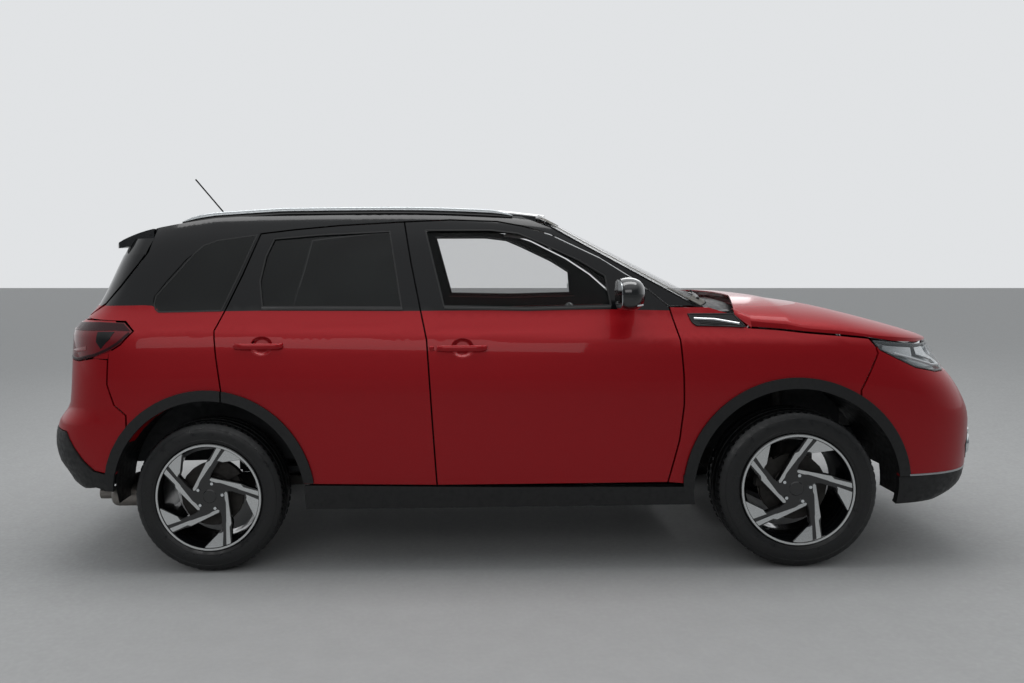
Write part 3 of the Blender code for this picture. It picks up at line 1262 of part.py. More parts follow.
TYRE_HEIGHT_SHARES = (0.0, 0.14, 0.45, 0.78, 0.95, 1.0)
TYRE_WIDTH_SHARES = (0.82, 0.83, 1.0, 0.93, 0.80, 0.45)
TYRE_SEGMENTS = 26
BEAD_GAP = SEAT_GAP
BARREL_WALL = 0.010
LIP_WIDTH = 0.012
LIP_HEIGHT = 0.018
SPOKES = 5
SPOKE_DEPTH = 0.030
SPOKE_FACE = 0.082
HUB_FACE = 0.040
HUB_RADIUS = 0.074
DISC_RADIUS = 0.140
DISC_WIDTH = 0.020
STUB_RADIUS = 0.034
AXLE_GAP = 0.0013


def tyre_mesh():
    bead = RIM_RADIUS - LIP_HEIGHT + BEAD_GAP
    half = [(bead + h * (TYRE_RADIUS - bead), w * TYRE_WIDTH / 2) for h, w in zip(TYRE_HEIGHT_SHARES, TYRE_WIDTH_SHARES)]
    return turned_mesh(half + [(r, -y) for r, y in half[::-1]], TYRE_SEGMENTS)


def rim_mesh():
    """Barrel with two lips, a hub and curved spokes; its outer face is at -Y."""
    bead = RIM_RADIUS - LIP_HEIGHT
    seat = TYRE_WIDTH_SHARES[0] * TYRE_WIDTH / 2
    out = seat + LIP_WIDTH / 3
    rim = out + LIP_WIDTH
    lip = out + LIP_WIDTH / 3
    profile = [(bead, -seat), (bead, seat), (RIM_RADIUS, lip), (RIM_RADIUS, rim), (bead - BARREL_WALL, rim)]
    profile += [(bead - BARREL_WALL, -rim), (RIM_RADIUS, -rim), (RIM_RADIUS, -lip)]
    barrel = turned_mesh(profile, TYRE_SEGMENTS)
    hub = turned_mesh([(STUB_RADIUS + AXLE_GAP, -HUB_FACE), (HUB_RADIUS, -HUB_FACE), (HUB_RADIUS * 0.9, -SPOKE_FACE * 0.86), (STUB_RADIUS + AXLE_GAP, -SPOKE_FACE * 0.86)], 20)
    cap = cylinder_mesh((0, 0), HUB_RADIUS * 0.6, -SPOKE_FACE * 0.9, -SPOKE_FACE * 0.65, 1, 20)
    meshes = [barrel, hub, cap]
    for i in range(SPOKES):
        turn = 2 * math.pi * i / SPOKES
        outline = [(HUB_RADIUS * r, turn + math.radians(a)) for r, a in ((0.85, 34), (1.5, 4), (2.2, -22))]
        outline += [(bead - BARREL_WALL / 2, turn + math.radians(a)) for a in (-40, -54, -68)]
        outline += [(HUB_RADIUS * r, turn + math.radians(a)) for r, a in ((2.1, -64), (1.35, -50), (0.85, -30))]
        points = [(r * math.cos(a), r * math.sin(a)) for r, a in outline]
        meshes.append(prism_mesh(points, -SPOKE_FACE - SPOKE_DEPTH * 0.1 * (i + 1) / SPOKES, -SPOKE_FACE + SPOKE_DEPTH, 1))
    return meshes


def wheels():
    """Tyres and wheels; the left ones are turned half round, not mirrored."""
    rims = rim_mesh()
    model = joined("wheel_front_right", rims, ALLOY)
    rubber = placed("tyre_front_right", tyre_mesh(), TYRE)
    for axle, x, track in (("front", X_FRONT_AXLE, FRONT_TRACK), ("rear", X_REAR_AXLE, REAR_TRACK)):
        for side, side_name in SIDES:
            for first, stem in ((model, "wheel"), (rubber, "tyre")):
                name = f"{stem}_{axle}_{side_name}"
                made = first
                if name != first.name:
                    made = bpy.data.objects.new(name, first.data)
                    bpy.context.scene.collection.objects.link(made)
                made.location = (x, side * track / 2, TYRE_RADIUS)
                made.rotation_euler = Euler((0, 0, math.pi if side == LEFT else 0))


# Knuckles, axles and engine

KINGPIN_INSET = 0.062
KNUCKLE_RADIUS = 0.050
KNUCKLE_REACH = 0.090
STRUT_INSET = 0.088
ARM_HEIGHT = 0.215
ARM_THICKNESS = 0.024
BALL_RADIUS = 0.024
STRUT_RADIUS = 0.026
STRUT_TOP = 0.748


def hub_meshes(x, y, side):
    """Stub axle and brake disc of one wheel, on its own axis."""
    face = y + side * HUB_FACE
    stub = cylinder_mesh((x, TYRE_RADIUS), STUB_RADIUS, *sorted((face - side * KNUCKLE_REACH, face + side * SPOKE_DEPTH * 0.3)), 1, 12)
    disc = cylinder_mesh((x, TYRE_RADIUS), DISC_RADIUS, *sorted((face - side * THRUST_GAP, face - side * DISC_WIDTH)), 1, 20)
    return [stub, disc]


def knuckle(side, side_name):
    y = side * FRONT_TRACK / 2
    pin_y = y - side * KINGPIN_INSET
    carrier = cylinder_mesh((X_FRONT_AXLE, TYRE_RADIUS), KNUCKLE_RADIUS, *sorted((pin_y - side * STRUT_INSET, y + side * HUB_FACE / 4)), 1, 12)
    ball = cylinder_mesh((X_FRONT_AXLE, pin_y), BALL_RADIUS, ARM_HEIGHT + ARM_THICKNESS / 2 + THRUST_GAP, TYRE_RADIUS, 2, 10)
    strut = cylinder_mesh((X_FRONT_AXLE, pin_y - side * STRUT_INSET), STRUT_RADIUS, TYRE_RADIUS, STRUT_TOP, 2, 10)
    arm_x = X_FRONT_AXLE - KNUCKLE_REACH
    arm = box_mesh((arm_x - STRUT_RADIUS, *sorted((pin_y, pin_y - side * STRUT_RADIUS))[:1], TYRE_RADIUS - STRUT_RADIUS / 2), (X_FRONT_AXLE, *sorted((pin_y, pin_y - side * STRUT_RADIUS))[1:], TYRE_RADIUS + STRUT_RADIUS / 2))
    joined(f"knuckle_{side_name}", hub_meshes(X_FRONT_AXLE, y, side) + [carrier, ball, strut, arm], IRON, (X_FRONT_AXLE, pin_y, TYRE_RADIUS))


RAIL_INNER = 0.400
RAIL_OUTER = 0.448
RAIL_LOW = 0.420
RAIL_HIGH = 0.505
SUBFRAME_HALF = 0.450
POST_INSIDE = 0.408
POST_OUTSIDE = 0.440


def subframe():
    """Front cross member with the two lower arms."""
    pin_y = FRONT_TRACK / 2 - KINGPIN_INSET
    beam = box_mesh((X_FRONT_AXLE - 0.3 * TYRE_RADIUS, -SUBFRAME_HALF, ARM_HEIGHT), (X_FRONT_AXLE + 0.25 * TYRE_RADIUS, SUBFRAME_HALF, ARM_HEIGHT + 2 * ARM_THICKNESS))
    meshes = [beam]
    for side, _ in SIDES:
        root = side * SUBFRAME_HALF * 0.9
        points = [(X_FRONT_AXLE - 0.28 * TYRE_RADIUS, root), (X_FRONT_AXLE - BALL_RADIUS, side * pin_y), (X_FRONT_AXLE, side * (pin_y + BALL_RADIUS)), (X_FRONT_AXLE + BALL_RADIUS, side * pin_y), (X_FRONT_AXLE + 0.2 * TYRE_RADIUS, root)]
        meshes.append(prism_mesh(points, ARM_HEIGHT - ARM_THICKNESS / 2, ARM_HEIGHT + ARM_THICKNESS / 2, 2))
        post = box_mesh((X_FRONT_AXLE - 0.2 * TYRE_RADIUS, *sorted((side * POST_INSIDE, side * POST_OUTSIDE))[:1], ARM_HEIGHT), (X_FRONT_AXLE - 0.05 * TYRE_RADIUS, *sorted((side * POST_INSIDE, side * POST_OUTSIDE))[1:], RAIL_LOW - SEAT_GAP))
        meshes.append(post)
    joined("front_subframe", meshes, STEEL)


BEAM_RADIUS = 0.036
BEAM_AHEAD = 0.140
ARM_Y = 0.560


def rear_axle():
    """Torsion beam with trailing arms, stub axles and brake discs."""
    beam = cylinder_mesh((X_REAR_AXLE + BEAM_AHEAD, TYRE_RADIUS), BEAM_RADIUS, -ARM_Y, ARM_Y, 1, 10)
    meshes = [beam]
    arm_front = X_REAR_AXLE + ARCH_RADIUS + LINER_GAP - PANEL - SEAT_GAP
    for side, _ in SIDES:
        y = side * REAR_TRACK / 2
        low, high = sorted((side * (ARM_Y - BEAM_RADIUS), side * (ARM_Y + BEAM_RADIUS * 0.4)))
        meshes.append(prism_mesh([(X_REAR_AXLE - BEAM_RADIUS, TYRE_RADIUS - BEAM_RADIUS), (arm_front, TYRE_RADIUS - BEAM_RADIUS / 2), (arm_front, TYRE_RADIUS + BEAM_RADIUS / 2), (X_REAR_AXLE - BEAM_RADIUS, TYRE_RADIUS + BEAM_RADIUS)], low, high, 1))
        meshes.append(cylinder_mesh((X_REAR_AXLE, TYRE_RADIUS), KNUCKLE_RADIUS * 0.7, *sorted((side * ARM_Y, y)), 1, 10))
        stub = hub_meshes(X_REAR_AXLE, y, side)
        meshes += stub
    joined("rear_axle", meshes, IRON)


ENGINE_LOW = (0.985, -0.300, ARM_HEIGHT + 2 * ARM_THICKNESS + SEAT_GAP)
ENGINE_HIGH = (1.520, 0.312, 0.840)
ENGINE_PAN = 0.080


def engine():
    """The engine and gearbox as one plain block at their real place and size."""
    block = box_mesh(ENGINE_LOW, ENGINE_HIGH)
    bmesh.ops.bevel(block, geom=block.edges, offset=ENGINE_PAN / 2, segments=1, affect="EDGES")
    placed("engine_block", block, IRON)


# Body frame: floor, sills, posts, wheelhouses, bulkhead and rails

FLOOR_LOW = 0.225
FLOOR_THICK = 0.025
FLOOR_HALF = 0.650
SILL_INNER = 0.622
SILL_OUTER = 0.795
SILL_LOW = 0.285
SILL_TOP_DROP = 0.020
POST_OUTER = 0.750
POST_INNER = 0.700
LINER = 0.008
ARC_STEPS = 14
LINER_START = math.radians(7)
PLATE_START = math.radians(14)
LINER_GAP = 0.010
BENCH_FLOOR = 0.400
LOAD_FLOOR = 0.560
STEP_X = -1.190
WHEELHOUSE_FRONT_INNER = 0.460
WHEELHOUSE_REAR_INNER = 0.590
LINER_OUTER = 0.812
BULKHEAD_X = 0.800
BULKHEAD_TOP = 1.055
PANEL = 0.022
RADIATOR_X = 1.800
TAIL_PANEL_X = -1.930
B_PILLAR_HALF = 0.036
B_PILLAR_SETBACK = 0.054
B_PILLAR_DEPTH = 0.034


def arc(centre, radius, start):
    """Points of an arc over a wheel, from this angle in front of it to the same behind."""
    angles = np.linspace(start, math.pi - start, ARC_STEPS + 1)
    return [(centre[0] + radius * math.cos(a), centre[1] + radius * math.sin(a)) for a in angles]


def liner(centre, inner, outer, low, high):
    """A round liner over a wheel."""
    return prism_mesh(arc(centre, outer, LINER_START) + arc(centre, inner, LINER_START)[::-1], low, high, 1)


def body_frame():
    """Floor pan, sills, door posts and roof ledges, then the structures before and behind them."""
    rear = X_REAR_AXLE + ARCH_RADIUS + LINER_GAP
    front = X_FRONT_AXLE - ARCH_RADIUS - LINER_GAP - LINER
    sill_top = sill_height(X_MIDDLE) - SILL_TOP_DROP
    floor_top = FLOOR_LOW + FLOOR_THICK
    over_liner = TYRE_RADIUS + ARCH_RADIUS + LINER_GAP
    middle = [
        box_mesh((rear, -FLOOR_HALF, FLOOR_LOW), (front, FLOOR_HALF, floor_top)),
        box_mesh((BULKHEAD_X - PANEL, -POST_OUTER + PANEL, RAIL_HIGH * 1.62), (BULKHEAD_X + PANEL / 2, POST_OUTER - PANEL, BULKHEAD_TOP - PANEL / 2)),
        roof_bow(),
        ditch_flange(RIGHT),
        ditch_flange(LEFT),
    ]
    ahead = [
        box_mesh((BULKHEAD_X, -WHEELHOUSE_FRONT_INNER + PANEL / 4, FLOOR_LOW + PANEL / 4), (BULKHEAD_X + PANEL, WHEELHOUSE_FRONT_INNER - PANEL / 4, BULKHEAD_TOP)),
        box_mesh((front - PANEL, -WHEELHOUSE_FRONT_INNER, FLOOR_LOW - PANEL / 4), (BULKHEAD_X + PANEL / 2, WHEELHOUSE_FRONT_INNER, floor_top - PANEL / 4)),
        box_mesh((RADIATOR_X, -ARM_Y, RAIL_LOW - PANEL), (RADIATOR_X + PANEL, ARM_Y, ENGINE_HIGH[2])),
    ]
    behind = [
        box_mesh((rear - PANEL, -WHEELHOUSE_REAR_INNER - PANEL, FLOOR_LOW + PANEL / 3), (rear + PANEL / 2, WHEELHOUSE_REAR_INNER + PANEL, BENCH_FLOOR - PANEL / 3)),
        box_mesh((STEP_X, -WHEELHOUSE_REAR_INNER, BENCH_FLOOR - PANEL), (rear, WHEELHOUSE_REAR_INNER, BENCH_FLOOR)),
        box_mesh((STEP_X - PANEL / 2, -WHEELHOUSE_REAR_INNER - PANEL / 5, BENCH_FLOOR - PANEL / 2), (STEP_X + PANEL / 2, WHEELHOUSE_REAR_INNER + PANEL / 5, LOAD_FLOOR - PANEL / 3)),
        box_mesh((TAIL_PANEL_X, -WHEELHOUSE_REAR_INNER - PANEL / 3, LOAD_FLOOR - PANEL), (STEP_X + PANEL / 3, WHEELHOUSE_REAR_INNER + PANEL / 3, LOAD_FLOOR)),
        box_mesh((TAIL_PANEL_X - PANEL / 2, -WHEELHOUSE_REAR_INNER, RAIL_LOW), (TAIL_PANEL_X + PANEL / 2, WHEELHOUSE_REAR_INNER, TAILGATE_FOOT_SHARE * ROOF_HEIGHT - PANEL)),
    ]
    for side, _ in SIDES:
        def span(a, b):
            return sorted((side * a, side * b))

        def bar(x0, x1, a, b, z0, z1):
            low, high = span(a, b)
            return box_mesh((x0, low, z0), (x1, high, z1))

        post_x = A_LINE[3][0] - TRIM_MARGIN
        middle += [
            bar(rear + PANEL / 4, front - PANEL / 4, FLOOR_HALF - PANEL, FLOOR_HALF - PANEL / 4, FLOOR_LOW + PANEL / 4, SILL_LOW + PANEL),
            bar(rear + PANEL / 5, front - PANEL / 5, SILL_INNER, SILL_OUTER, SILL_LOW, sill_top),
            bar(post_x + SHUT_GAP, front - PANEL / 3, POST_INNER, POST_OUTER, sill_top - PANEL, BULKHEAD_TOP - TRIM_MARGIN),
            bar(A_LINE[0][0] - PANEL / 3, BULKHEAD_X + PANEL / 4, POST_INNER + PANEL / 3, POST_OUTER - PANEL, BULKHEAD_TOP - 2 * TRIM_MARGIN, PILLAR_FOOT_SHARES[1] * ROOF_HEIGHT - SEAT_GAP),
            bar(B_LINE[3][0] - B_PILLAR_HALF, B_LINE[3][0] + B_PILLAR_HALF, SILL_INNER + PANEL, POST_OUTER, sill_top - PANEL, BELT_HEIGHT - TRIM_MARGIN),
            bar(-0.080, 0.080, SILL_OUTER - PANEL / 2, 0.828, SILL_LOW + PANEL / 4, SILL_LOW + 2 * PANEL),
            bar(BULKHEAD_X - PANEL / 4, 0.915, 0.690, 0.728, 0.990, 1.030),
            bar(0.880, 0.990, 0.705, 0.728, 0.995, 1.025),
            bar(0.955, 0.990, 0.727 - PANEL / 2, 0.735 - THRUST_GAP, 1.000, 1.046),
        ]
        ahead += [
            bar(BULKHEAD_X + PANEL / 4, RADIATOR_X + PANEL / 3, RAIL_INNER, RAIL_OUTER, RAIL_LOW, RAIL_HIGH),
            bar(BULKHEAD_X + PANEL / 3, X_FRONT_AXLE + ARCH_RADIUS * 0.8, RAIL_OUTER - PANEL / 3, WHEELHOUSE_FRONT_INNER - SEAT_GAP, RAIL_LOW + PANEL / 4, STRUT_TOP + 2 * PANEL),
            bar(RADIATOR_X, 2.062, RAIL_INNER + PANEL / 7, RAIL_OUTER - PANEL / 7, 0.560, 0.610),
            bar(RADIATOR_X - PANEL / 4, 2.042, RAIL_INNER + PANEL / 5, RAIL_OUTER - PANEL / 5, 0.348, RAIL_LOW + PANEL / 6),
            bar(BULKHEAD_X + PANEL / 2, 1.050, 0.300, 0.322, 0.960, BULKHEAD_TOP + PANEL / 2),
        ]
        behind += [
            liner((X_REAR_AXLE, TYRE_RADIUS), ARCH_RADIUS + LINER_GAP, ARCH_RADIUS + LINER_GAP + LINER, *span(WHEELHOUSE_REAR_INNER, LINER_OUTER - SHUT_GAP)),
            prism_mesh(arc((X_REAR_AXLE, TYRE_RADIUS), ARCH_RADIUS + LINER_GAP + LINER / 2, PLATE_START), *span(WHEELHOUSE_REAR_INNER - PANEL / 3, WHEELHOUSE_REAR_INNER + PANEL / 4), 1),
            bar(X_REAR_AXLE - PANEL, X_REAR_AXLE + PANEL, LINER_OUTER - PANEL, HALF_WIDTH - 2 * PANEL, over_liner - PANEL / 9, over_liner + 2 * PANEL),
            bar(-2.055, TAIL_PANEL_X, RAIL_INNER, RAIL_OUTER, 0.600, 0.640),
            bar(-2.004, TAIL_PANEL_X + PANEL / 5, RAIL_INNER - PANEL / 3, RAIL_OUTER - PANEL / 3, 0.404, RAIL_LOW + PANEL / 2),
            bar(-1.885, -1.850, WHEELHOUSE_REAR_INNER - PANEL, WHEELHOUSE_REAR_INNER + PANEL / 6, LOAD_FLOOR - PANEL / 2, 1.030),
            bar(-1.920, -1.852, WHEELHOUSE_REAR_INNER - PANEL / 2, 0.640, 0.985, 1.020),
        ]
        top, foot = B_LINE[0], (B_LINE[2][0], BELT_HEIGHT - 2 * TRIM_MARGIN)
        pillar = polygon([(foot[0] - B_PILLAR_HALF, foot[1]), (foot[0] + B_PILLAR_HALF, foot[1]), (top[0] + B_PILLAR_HALF, top[1] - SHUT_GAP), (top[0] - B_PILLAR_HALF, top[1] - SHUT_GAP)])
        flank = body_side(side)

        def set_back(points, depth=B_PILLAR_SETBACK, flank=flank, side=side):
            place = flank(points)
            half = np.minimum(np.abs(place[:, 1]) - depth, POST_OUTER - PANEL / 3 - (depth - B_PILLAR_SETBACK))
            return np.stack([place[:, 0], side * half, place[:, 2]], axis=1)

        middle.append(stepped_slab([pillar], set_back, [lambda p, f=set_back: f(p, B_PILLAR_SETBACK + B_PILLAR_DEPTH)], FACET))
        middle.append(bar(top[0] - BOW_HALF + PANEL / 9, top[0] + BOW_HALF - PANEL / 9, DITCH_OUTER - PANEL, DITCH_OUTER - PANEL / 8, top[1] - 3 * PANEL, float(roof_edge_height(top[0])[0]) - ROOF_DEPTH - BOW_DEPTH / 2))
        middle += [hinge_block(line, height, side, -HINGE_LUG_TALL, 0, BRACKET_OUTER) for line in (A_LINE, B_LINE) for height in HINGE_HEIGHTS]
        for line in (A_LINE, B_LINE):
            for height in HINGE_HEIGHTS:
                x = line_x(line, height)
                middle.append(bar(x - LUG_REAR - PANEL / 9, x + PANEL / 2, POST_OUTER - PANEL / 2, LUG_INNER + PANEL / 8, height - HINGE_LUG_TALL - PANEL / 8, height - HINGE_LUG_TALL / 3))
    joined("body_frame", middle, STEEL, (0, 0, 0), ["roof_panel", "cowl_panel", "side_cladding_left", "side_cladding_right", "body_side_left", "body_side_right", "front_fender_left", "front_fender_right"])
    joined("front_structure", ahead, STEEL, (0, 0, 0), ["body_frame", "cowl_panel", "front_bumper", "front_skirt"])
    joined("rear_structure", behind, STEEL, (0, 0, 0), ["body_frame", "body_side_left", "body_side_right", "rear_bumper", "rear_skirt", "tail_lamp_left", "tail_lamp_right"])
    for side, side_name in SIDES:
        low, high = sorted((side * WHEELHOUSE_FRONT_INNER, side * LINER_OUTER))
        near, far = sorted((side * (LINER_OUTER - PANEL), side * (HALF_WIDTH - 1.7 * PANEL)))
        lined = [
            liner((X_FRONT_AXLE, TYRE_RADIUS), ARCH_RADIUS + LINER_GAP, ARCH_RADIUS + LINER_GAP + LINER, low, high),
            box_mesh((X_FRONT_AXLE - PANEL, near, over_liner - PANEL / 9), (X_FRONT_AXLE + PANEL, far, over_liner + PANEL)),
        ]
        joined(f"front_liner_{side_name}", lined, LINER_PLASTIC, (0, 0, 0), ["front_structure", "body_frame", f"front_fender_{side_name}", f"side_cladding_{side_name}", "front_bumper"])


# Seats and dashboard

SEAT_Y = 0.360
SEAT_HALF = 0.250
SEAT_FRONT_X = 0.330
SEAT_LENGTH = 0.500
SEAT_BASE = 0.320
SEAT_CUSHION = 0.520
BACK_TOP = 1.020
BACK_THICK = 0.130
BACK_LEAN = 0.230
HEADREST_HALF = 0.125
HEADREST_HEIGHT = 0.170
HEADREST_THICK = 0.095
BENCH_FRONT_X = -0.520
BENCH_HALF = 0.560
BENCH_BASE = 0.420
BENCH_CUSHION = 0.575
BENCH_TOP = 1.040


def seat_profile(front, base, cushion, top):
    """Side outline of a seat: cushion, and a back that leans rearwards."""
    back = front - SEAT_LENGTH
    fold = back + BACK_THICK
    outline = [(front, base), (front, cushion), (fold, cushion - PANEL), (fold - BACK_LEAN, top)]
    return outline + [(back - BACK_LEAN, top), (back, cushion - PANEL), (back, base)]


def headrest(front, y, top):
    x = front - SEAT_LENGTH - BACK_LEAN
    return box_mesh((x - PANEL, y - HEADREST_HALF, top - PANEL), (x + HEADREST_THICK - PANEL, y + HEADREST_HALF, top + HEADREST_HEIGHT))


def seats():
    for side, side_name in SIDES:
        y = side * SEAT_Y
        pan = box_mesh((SEAT_FRONT_X - SEAT_LENGTH * 0.9, y - SEAT_HALF * 0.8, FLOOR_LOW + FLOOR_THICK + SEAT_GAP), (SEAT_FRONT_X - SEAT_LENGTH * 0.2, y + SEAT_HALF * 0.8, SEAT_BASE + PANEL))
        body = prism_mesh(seat_profile(SEAT_FRONT_X, SEAT_BASE, SEAT_CUSHION, BACK_TOP), y - SEAT_HALF, y + SEAT_HALF, 1)
        joined(f"front_seat_{side_name}", [body, pan, headrest(SEAT_FRONT_X, y, BACK_TOP)], TRIM)
    bench = prism_mesh(seat_profile(BENCH_FRONT_X, BENCH_BASE, BENCH_CUSHION, BENCH_TOP), -BENCH_HALF, BENCH_HALF, 1)
    plinth = box_mesh((BENCH_FRONT_X - SEAT_LENGTH * 0.95, -BENCH_HALF * 0.95, BENCH_FLOOR + SEAT_GAP), (BENCH_FRONT_X - SEAT_LENGTH * 0.7, BENCH_HALF * 0.95, BENCH_BASE + PANEL))
    rests = [headrest(BENCH_FRONT_X, y * BENCH_HALF, BENCH_TOP) for y in (-0.6, 0.6)]
    joined("rear_bench", [bench, plinth] + rests, TRIM)


DASH_HALF = 0.690
DASH_FRONT_X = 0.340
WHEEL_X = 0.285
WHEEL_Z = 0.930
WHEEL_RADIUS = 0.182
WHEEL_GRIP = 0.015
COLUMN_TILT = math.radians(24)
COLUMN_RADIUS = 0.030


def dashboard():
    """Instrument panel across the car, with the steering column's shroud."""
    profile = [(DASH_FRONT_X + 0.10, 0.640), (DASH_FRONT_X + 0.02, 0.760), (DASH_FRONT_X, 0.900), (DASH_FRONT_X + 0.05, 0.985), (DASH_FRONT_X + 0.20, 1.020), (BULKHEAD_X - PANEL - SEAT_GAP, 1.020), (BULKHEAD_X - PANEL - SEAT_GAP, 0.700)]
    body = prism_mesh(profile, -DASH_HALF, DASH_HALF, 1)
    axis = (math.cos(COLUMN_TILT), -math.sin(COLUMN_TILT))
    column = cylinder_mesh((0, 0), COLUMN_RADIUS * 1.5, THRUST_GAP + WHEEL_GRIP * 2.0, WHEEL_RADIUS, 0, 16)
    bmesh.ops.rotate(column, verts=column.verts, cent=(0, 0, 0), matrix=Matrix.Rotation(COLUMN_TILT, 3, "Y"))
    bmesh.ops.translate(column, verts=column.verts, vec=(WHEEL_X, DRIVER_SIDE * SEAT_Y, WHEEL_Z))
    console = box_mesh((-0.150, -0.110, FLOOR_LOW + FLOOR_THICK + SEAT_GAP), (DASH_FRONT_X + 0.16, 0.110, 0.600))
    riser = box_mesh((DASH_FRONT_X + 0.08, -0.120, 0.400), (DASH_FRONT_X + 0.26, 0.120, 0.780))
    joined("dashboard", [body, column, console, riser], TRIM)
    return axis


DRIVER_SIDE = RIGHT


def steering_wheel():
    """Rim, hub and three spokes about the column's axis."""
    grip = [(WHEEL_RADIUS + WHEEL_GRIP * math.cos(a), WHEEL_GRIP * math.sin(a)) for a in (2 * math.pi * i / 6 for i in range(6))]
    meshes = [turned_mesh(grip, 20)]
    meshes.append(cylinder_mesh((0, 0), COLUMN_RADIUS * 1.9, -WHEEL_GRIP * 1.3, WHEEL_GRIP * 2.0, 1, 20))
    for angle in (0, math.pi, -QUARTER_TURN):
        spoke = box_mesh((COLUMN_RADIUS, -WHEEL_GRIP * 0.7, -WHEEL_GRIP), (WHEEL_RADIUS - WHEEL_GRIP * 0.3, WHEEL_GRIP * 0.6, WHEEL_GRIP))
        bmesh.ops.rotate(spoke, verts=spoke.verts, cent=(0, 0, 0), matrix=Matrix.Rotation(-angle, 3, "Y"))
        meshes.append(spoke)
    place = Matrix.Rotation(COLUMN_TILT, 4, "Y") @ Matrix.Rotation(-QUARTER_TURN, 4, "Z")
    made = joined("steering_wheel", meshes, TRIM)
    made.matrix_world = Matrix.Translation((WHEEL_X, DRIVER_SIDE * SEAT_Y, WHEEL_Z)) @ place


ANTENNA_SHARE = -0.105
ANTENNA_REACH = 0.190
ANTENNA_RISE = 0.235
ANTENNA_RADIUS = 0.004
ANTENNA_FOOT = 0.018


def antenna():
    """A short mast that leans rearwards from a foot on the roof."""
    x = at(ANTENNA_SHARE)
    ground = float(roof_surface(np.array([[x, 0.0]]))[0, 2])
    foot = cylinder_mesh((x, 0), ANTENNA_FOOT, ground, ground + ANTENNA_FOOT * 1.2, 2, 12)
    for vert in foot.verts:
        if vert.co.z < ground + ANTENNA_FOOT / 2:
            vert.co.z = float(roof_surface(np.array([vert.co.xy]))[0, 2]) - ANTENNA_RADIUS
    mast = cylinder_mesh((0, 0), ANTENNA_RADIUS, 0, math.hypot(ANTENNA_REACH, ANTENNA_RISE), 2, 8)
    bmesh.ops.rotate(mast, verts=mast.verts, cent=(0, 0, 0), matrix=Matrix.Rotation(-math.atan2(ANTENNA_REACH, ANTENNA_RISE), 3, "Y"))
    bmesh.ops.translate(mast, verts=mast.verts, vec=(x, 0, ground + ANTENNA_FOOT * 0.8))
    joined("antenna", [foot, mast], CLADDING, (0, 0, 0), ["roof_panel"])


roof()
windshield()
for side, side_name in SIDES:
    door("front", side, side_name)
    door("rear", side, side_name)
    body_side_panel(side, side_name)
    fender(side, side_name)
    headlamp(side, side_name)
    tail_lamp(side, side_name)
    side_cladding(side, side_name)
    roof_rail(side, side_name)
    mirror(side, side_name)
    knuckle(side, side_name)
hood()
cowl()
front_bumper()
grille()
front_skirt()
rear_bumper()
rear_skirt()
tailgate()
spoiler()
wheels()
subframe()
rear_axle()
engine()
body_frame()
seats()
dashboard()
steering_wheel()
antenna()
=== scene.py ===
"""Compact sport utility vehicle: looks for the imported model, on the surfaces that its panels were
cut from."""
import math
import bmesh
import bpy
import numpy as np
from mathutils import Matrix, Vector
from mathutils.geometry import convex_hull_2d, delaunay_2d_cdt
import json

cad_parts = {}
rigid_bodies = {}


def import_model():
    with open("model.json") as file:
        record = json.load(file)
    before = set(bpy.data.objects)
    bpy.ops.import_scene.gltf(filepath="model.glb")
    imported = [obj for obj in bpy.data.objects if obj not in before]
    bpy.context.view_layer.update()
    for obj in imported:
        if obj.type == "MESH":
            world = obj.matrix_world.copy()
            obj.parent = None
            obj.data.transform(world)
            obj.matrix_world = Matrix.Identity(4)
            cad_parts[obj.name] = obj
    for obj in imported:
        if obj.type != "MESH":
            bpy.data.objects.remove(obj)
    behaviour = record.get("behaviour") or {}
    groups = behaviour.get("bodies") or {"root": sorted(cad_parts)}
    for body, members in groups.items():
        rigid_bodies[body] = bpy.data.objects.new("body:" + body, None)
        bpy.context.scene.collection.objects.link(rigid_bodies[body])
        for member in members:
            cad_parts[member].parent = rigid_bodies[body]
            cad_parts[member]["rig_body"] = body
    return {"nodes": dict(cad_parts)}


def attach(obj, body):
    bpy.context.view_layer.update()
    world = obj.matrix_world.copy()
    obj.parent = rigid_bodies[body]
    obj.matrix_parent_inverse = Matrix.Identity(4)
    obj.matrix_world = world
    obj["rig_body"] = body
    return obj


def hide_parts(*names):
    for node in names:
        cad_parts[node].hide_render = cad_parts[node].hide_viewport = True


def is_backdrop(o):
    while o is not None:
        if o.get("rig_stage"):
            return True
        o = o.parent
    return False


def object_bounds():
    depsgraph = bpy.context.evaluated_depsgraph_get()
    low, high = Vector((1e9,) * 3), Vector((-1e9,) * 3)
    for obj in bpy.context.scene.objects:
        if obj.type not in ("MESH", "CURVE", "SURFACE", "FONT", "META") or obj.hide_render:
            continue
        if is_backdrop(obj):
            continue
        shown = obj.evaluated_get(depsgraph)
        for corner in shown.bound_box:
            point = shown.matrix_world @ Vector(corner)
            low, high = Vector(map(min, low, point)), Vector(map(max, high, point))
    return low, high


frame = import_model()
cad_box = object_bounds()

NODES = frame["nodes"]

# Driving sizes
WHEELBASE = 2.500
FRONT_OVERHANG = 0.865
REAR_OVERHANG = 0.820
BODY_WIDTH = 1.775
ROOF_HEIGHT = 1.575
BELT_HEIGHT = 1.100
FRONT_TRACK = 1.535
REAR_TRACK = 1.505
TYRE_RADIUS = 0.330
TYRE_WIDTH = 0.215
RIM_RADIUS = 0.2345
ARCH_GAP = 0.092
SHUT_GAP = 0.007
GLASS_GAP = 0.0006

# Panel depths
SKIN_DEPTH = 0.009

# Plan shape
PLAN_FRONT_CENTRE = 0.030
PLAN_CORNER_RADIUS = 0.880
BARREL_SHARE = 0.012
SHOULDER_TILT_SHARE = 0.040
LEAN_SHARE = 0.400
ROOF_ROUND_SHARE = 10.0

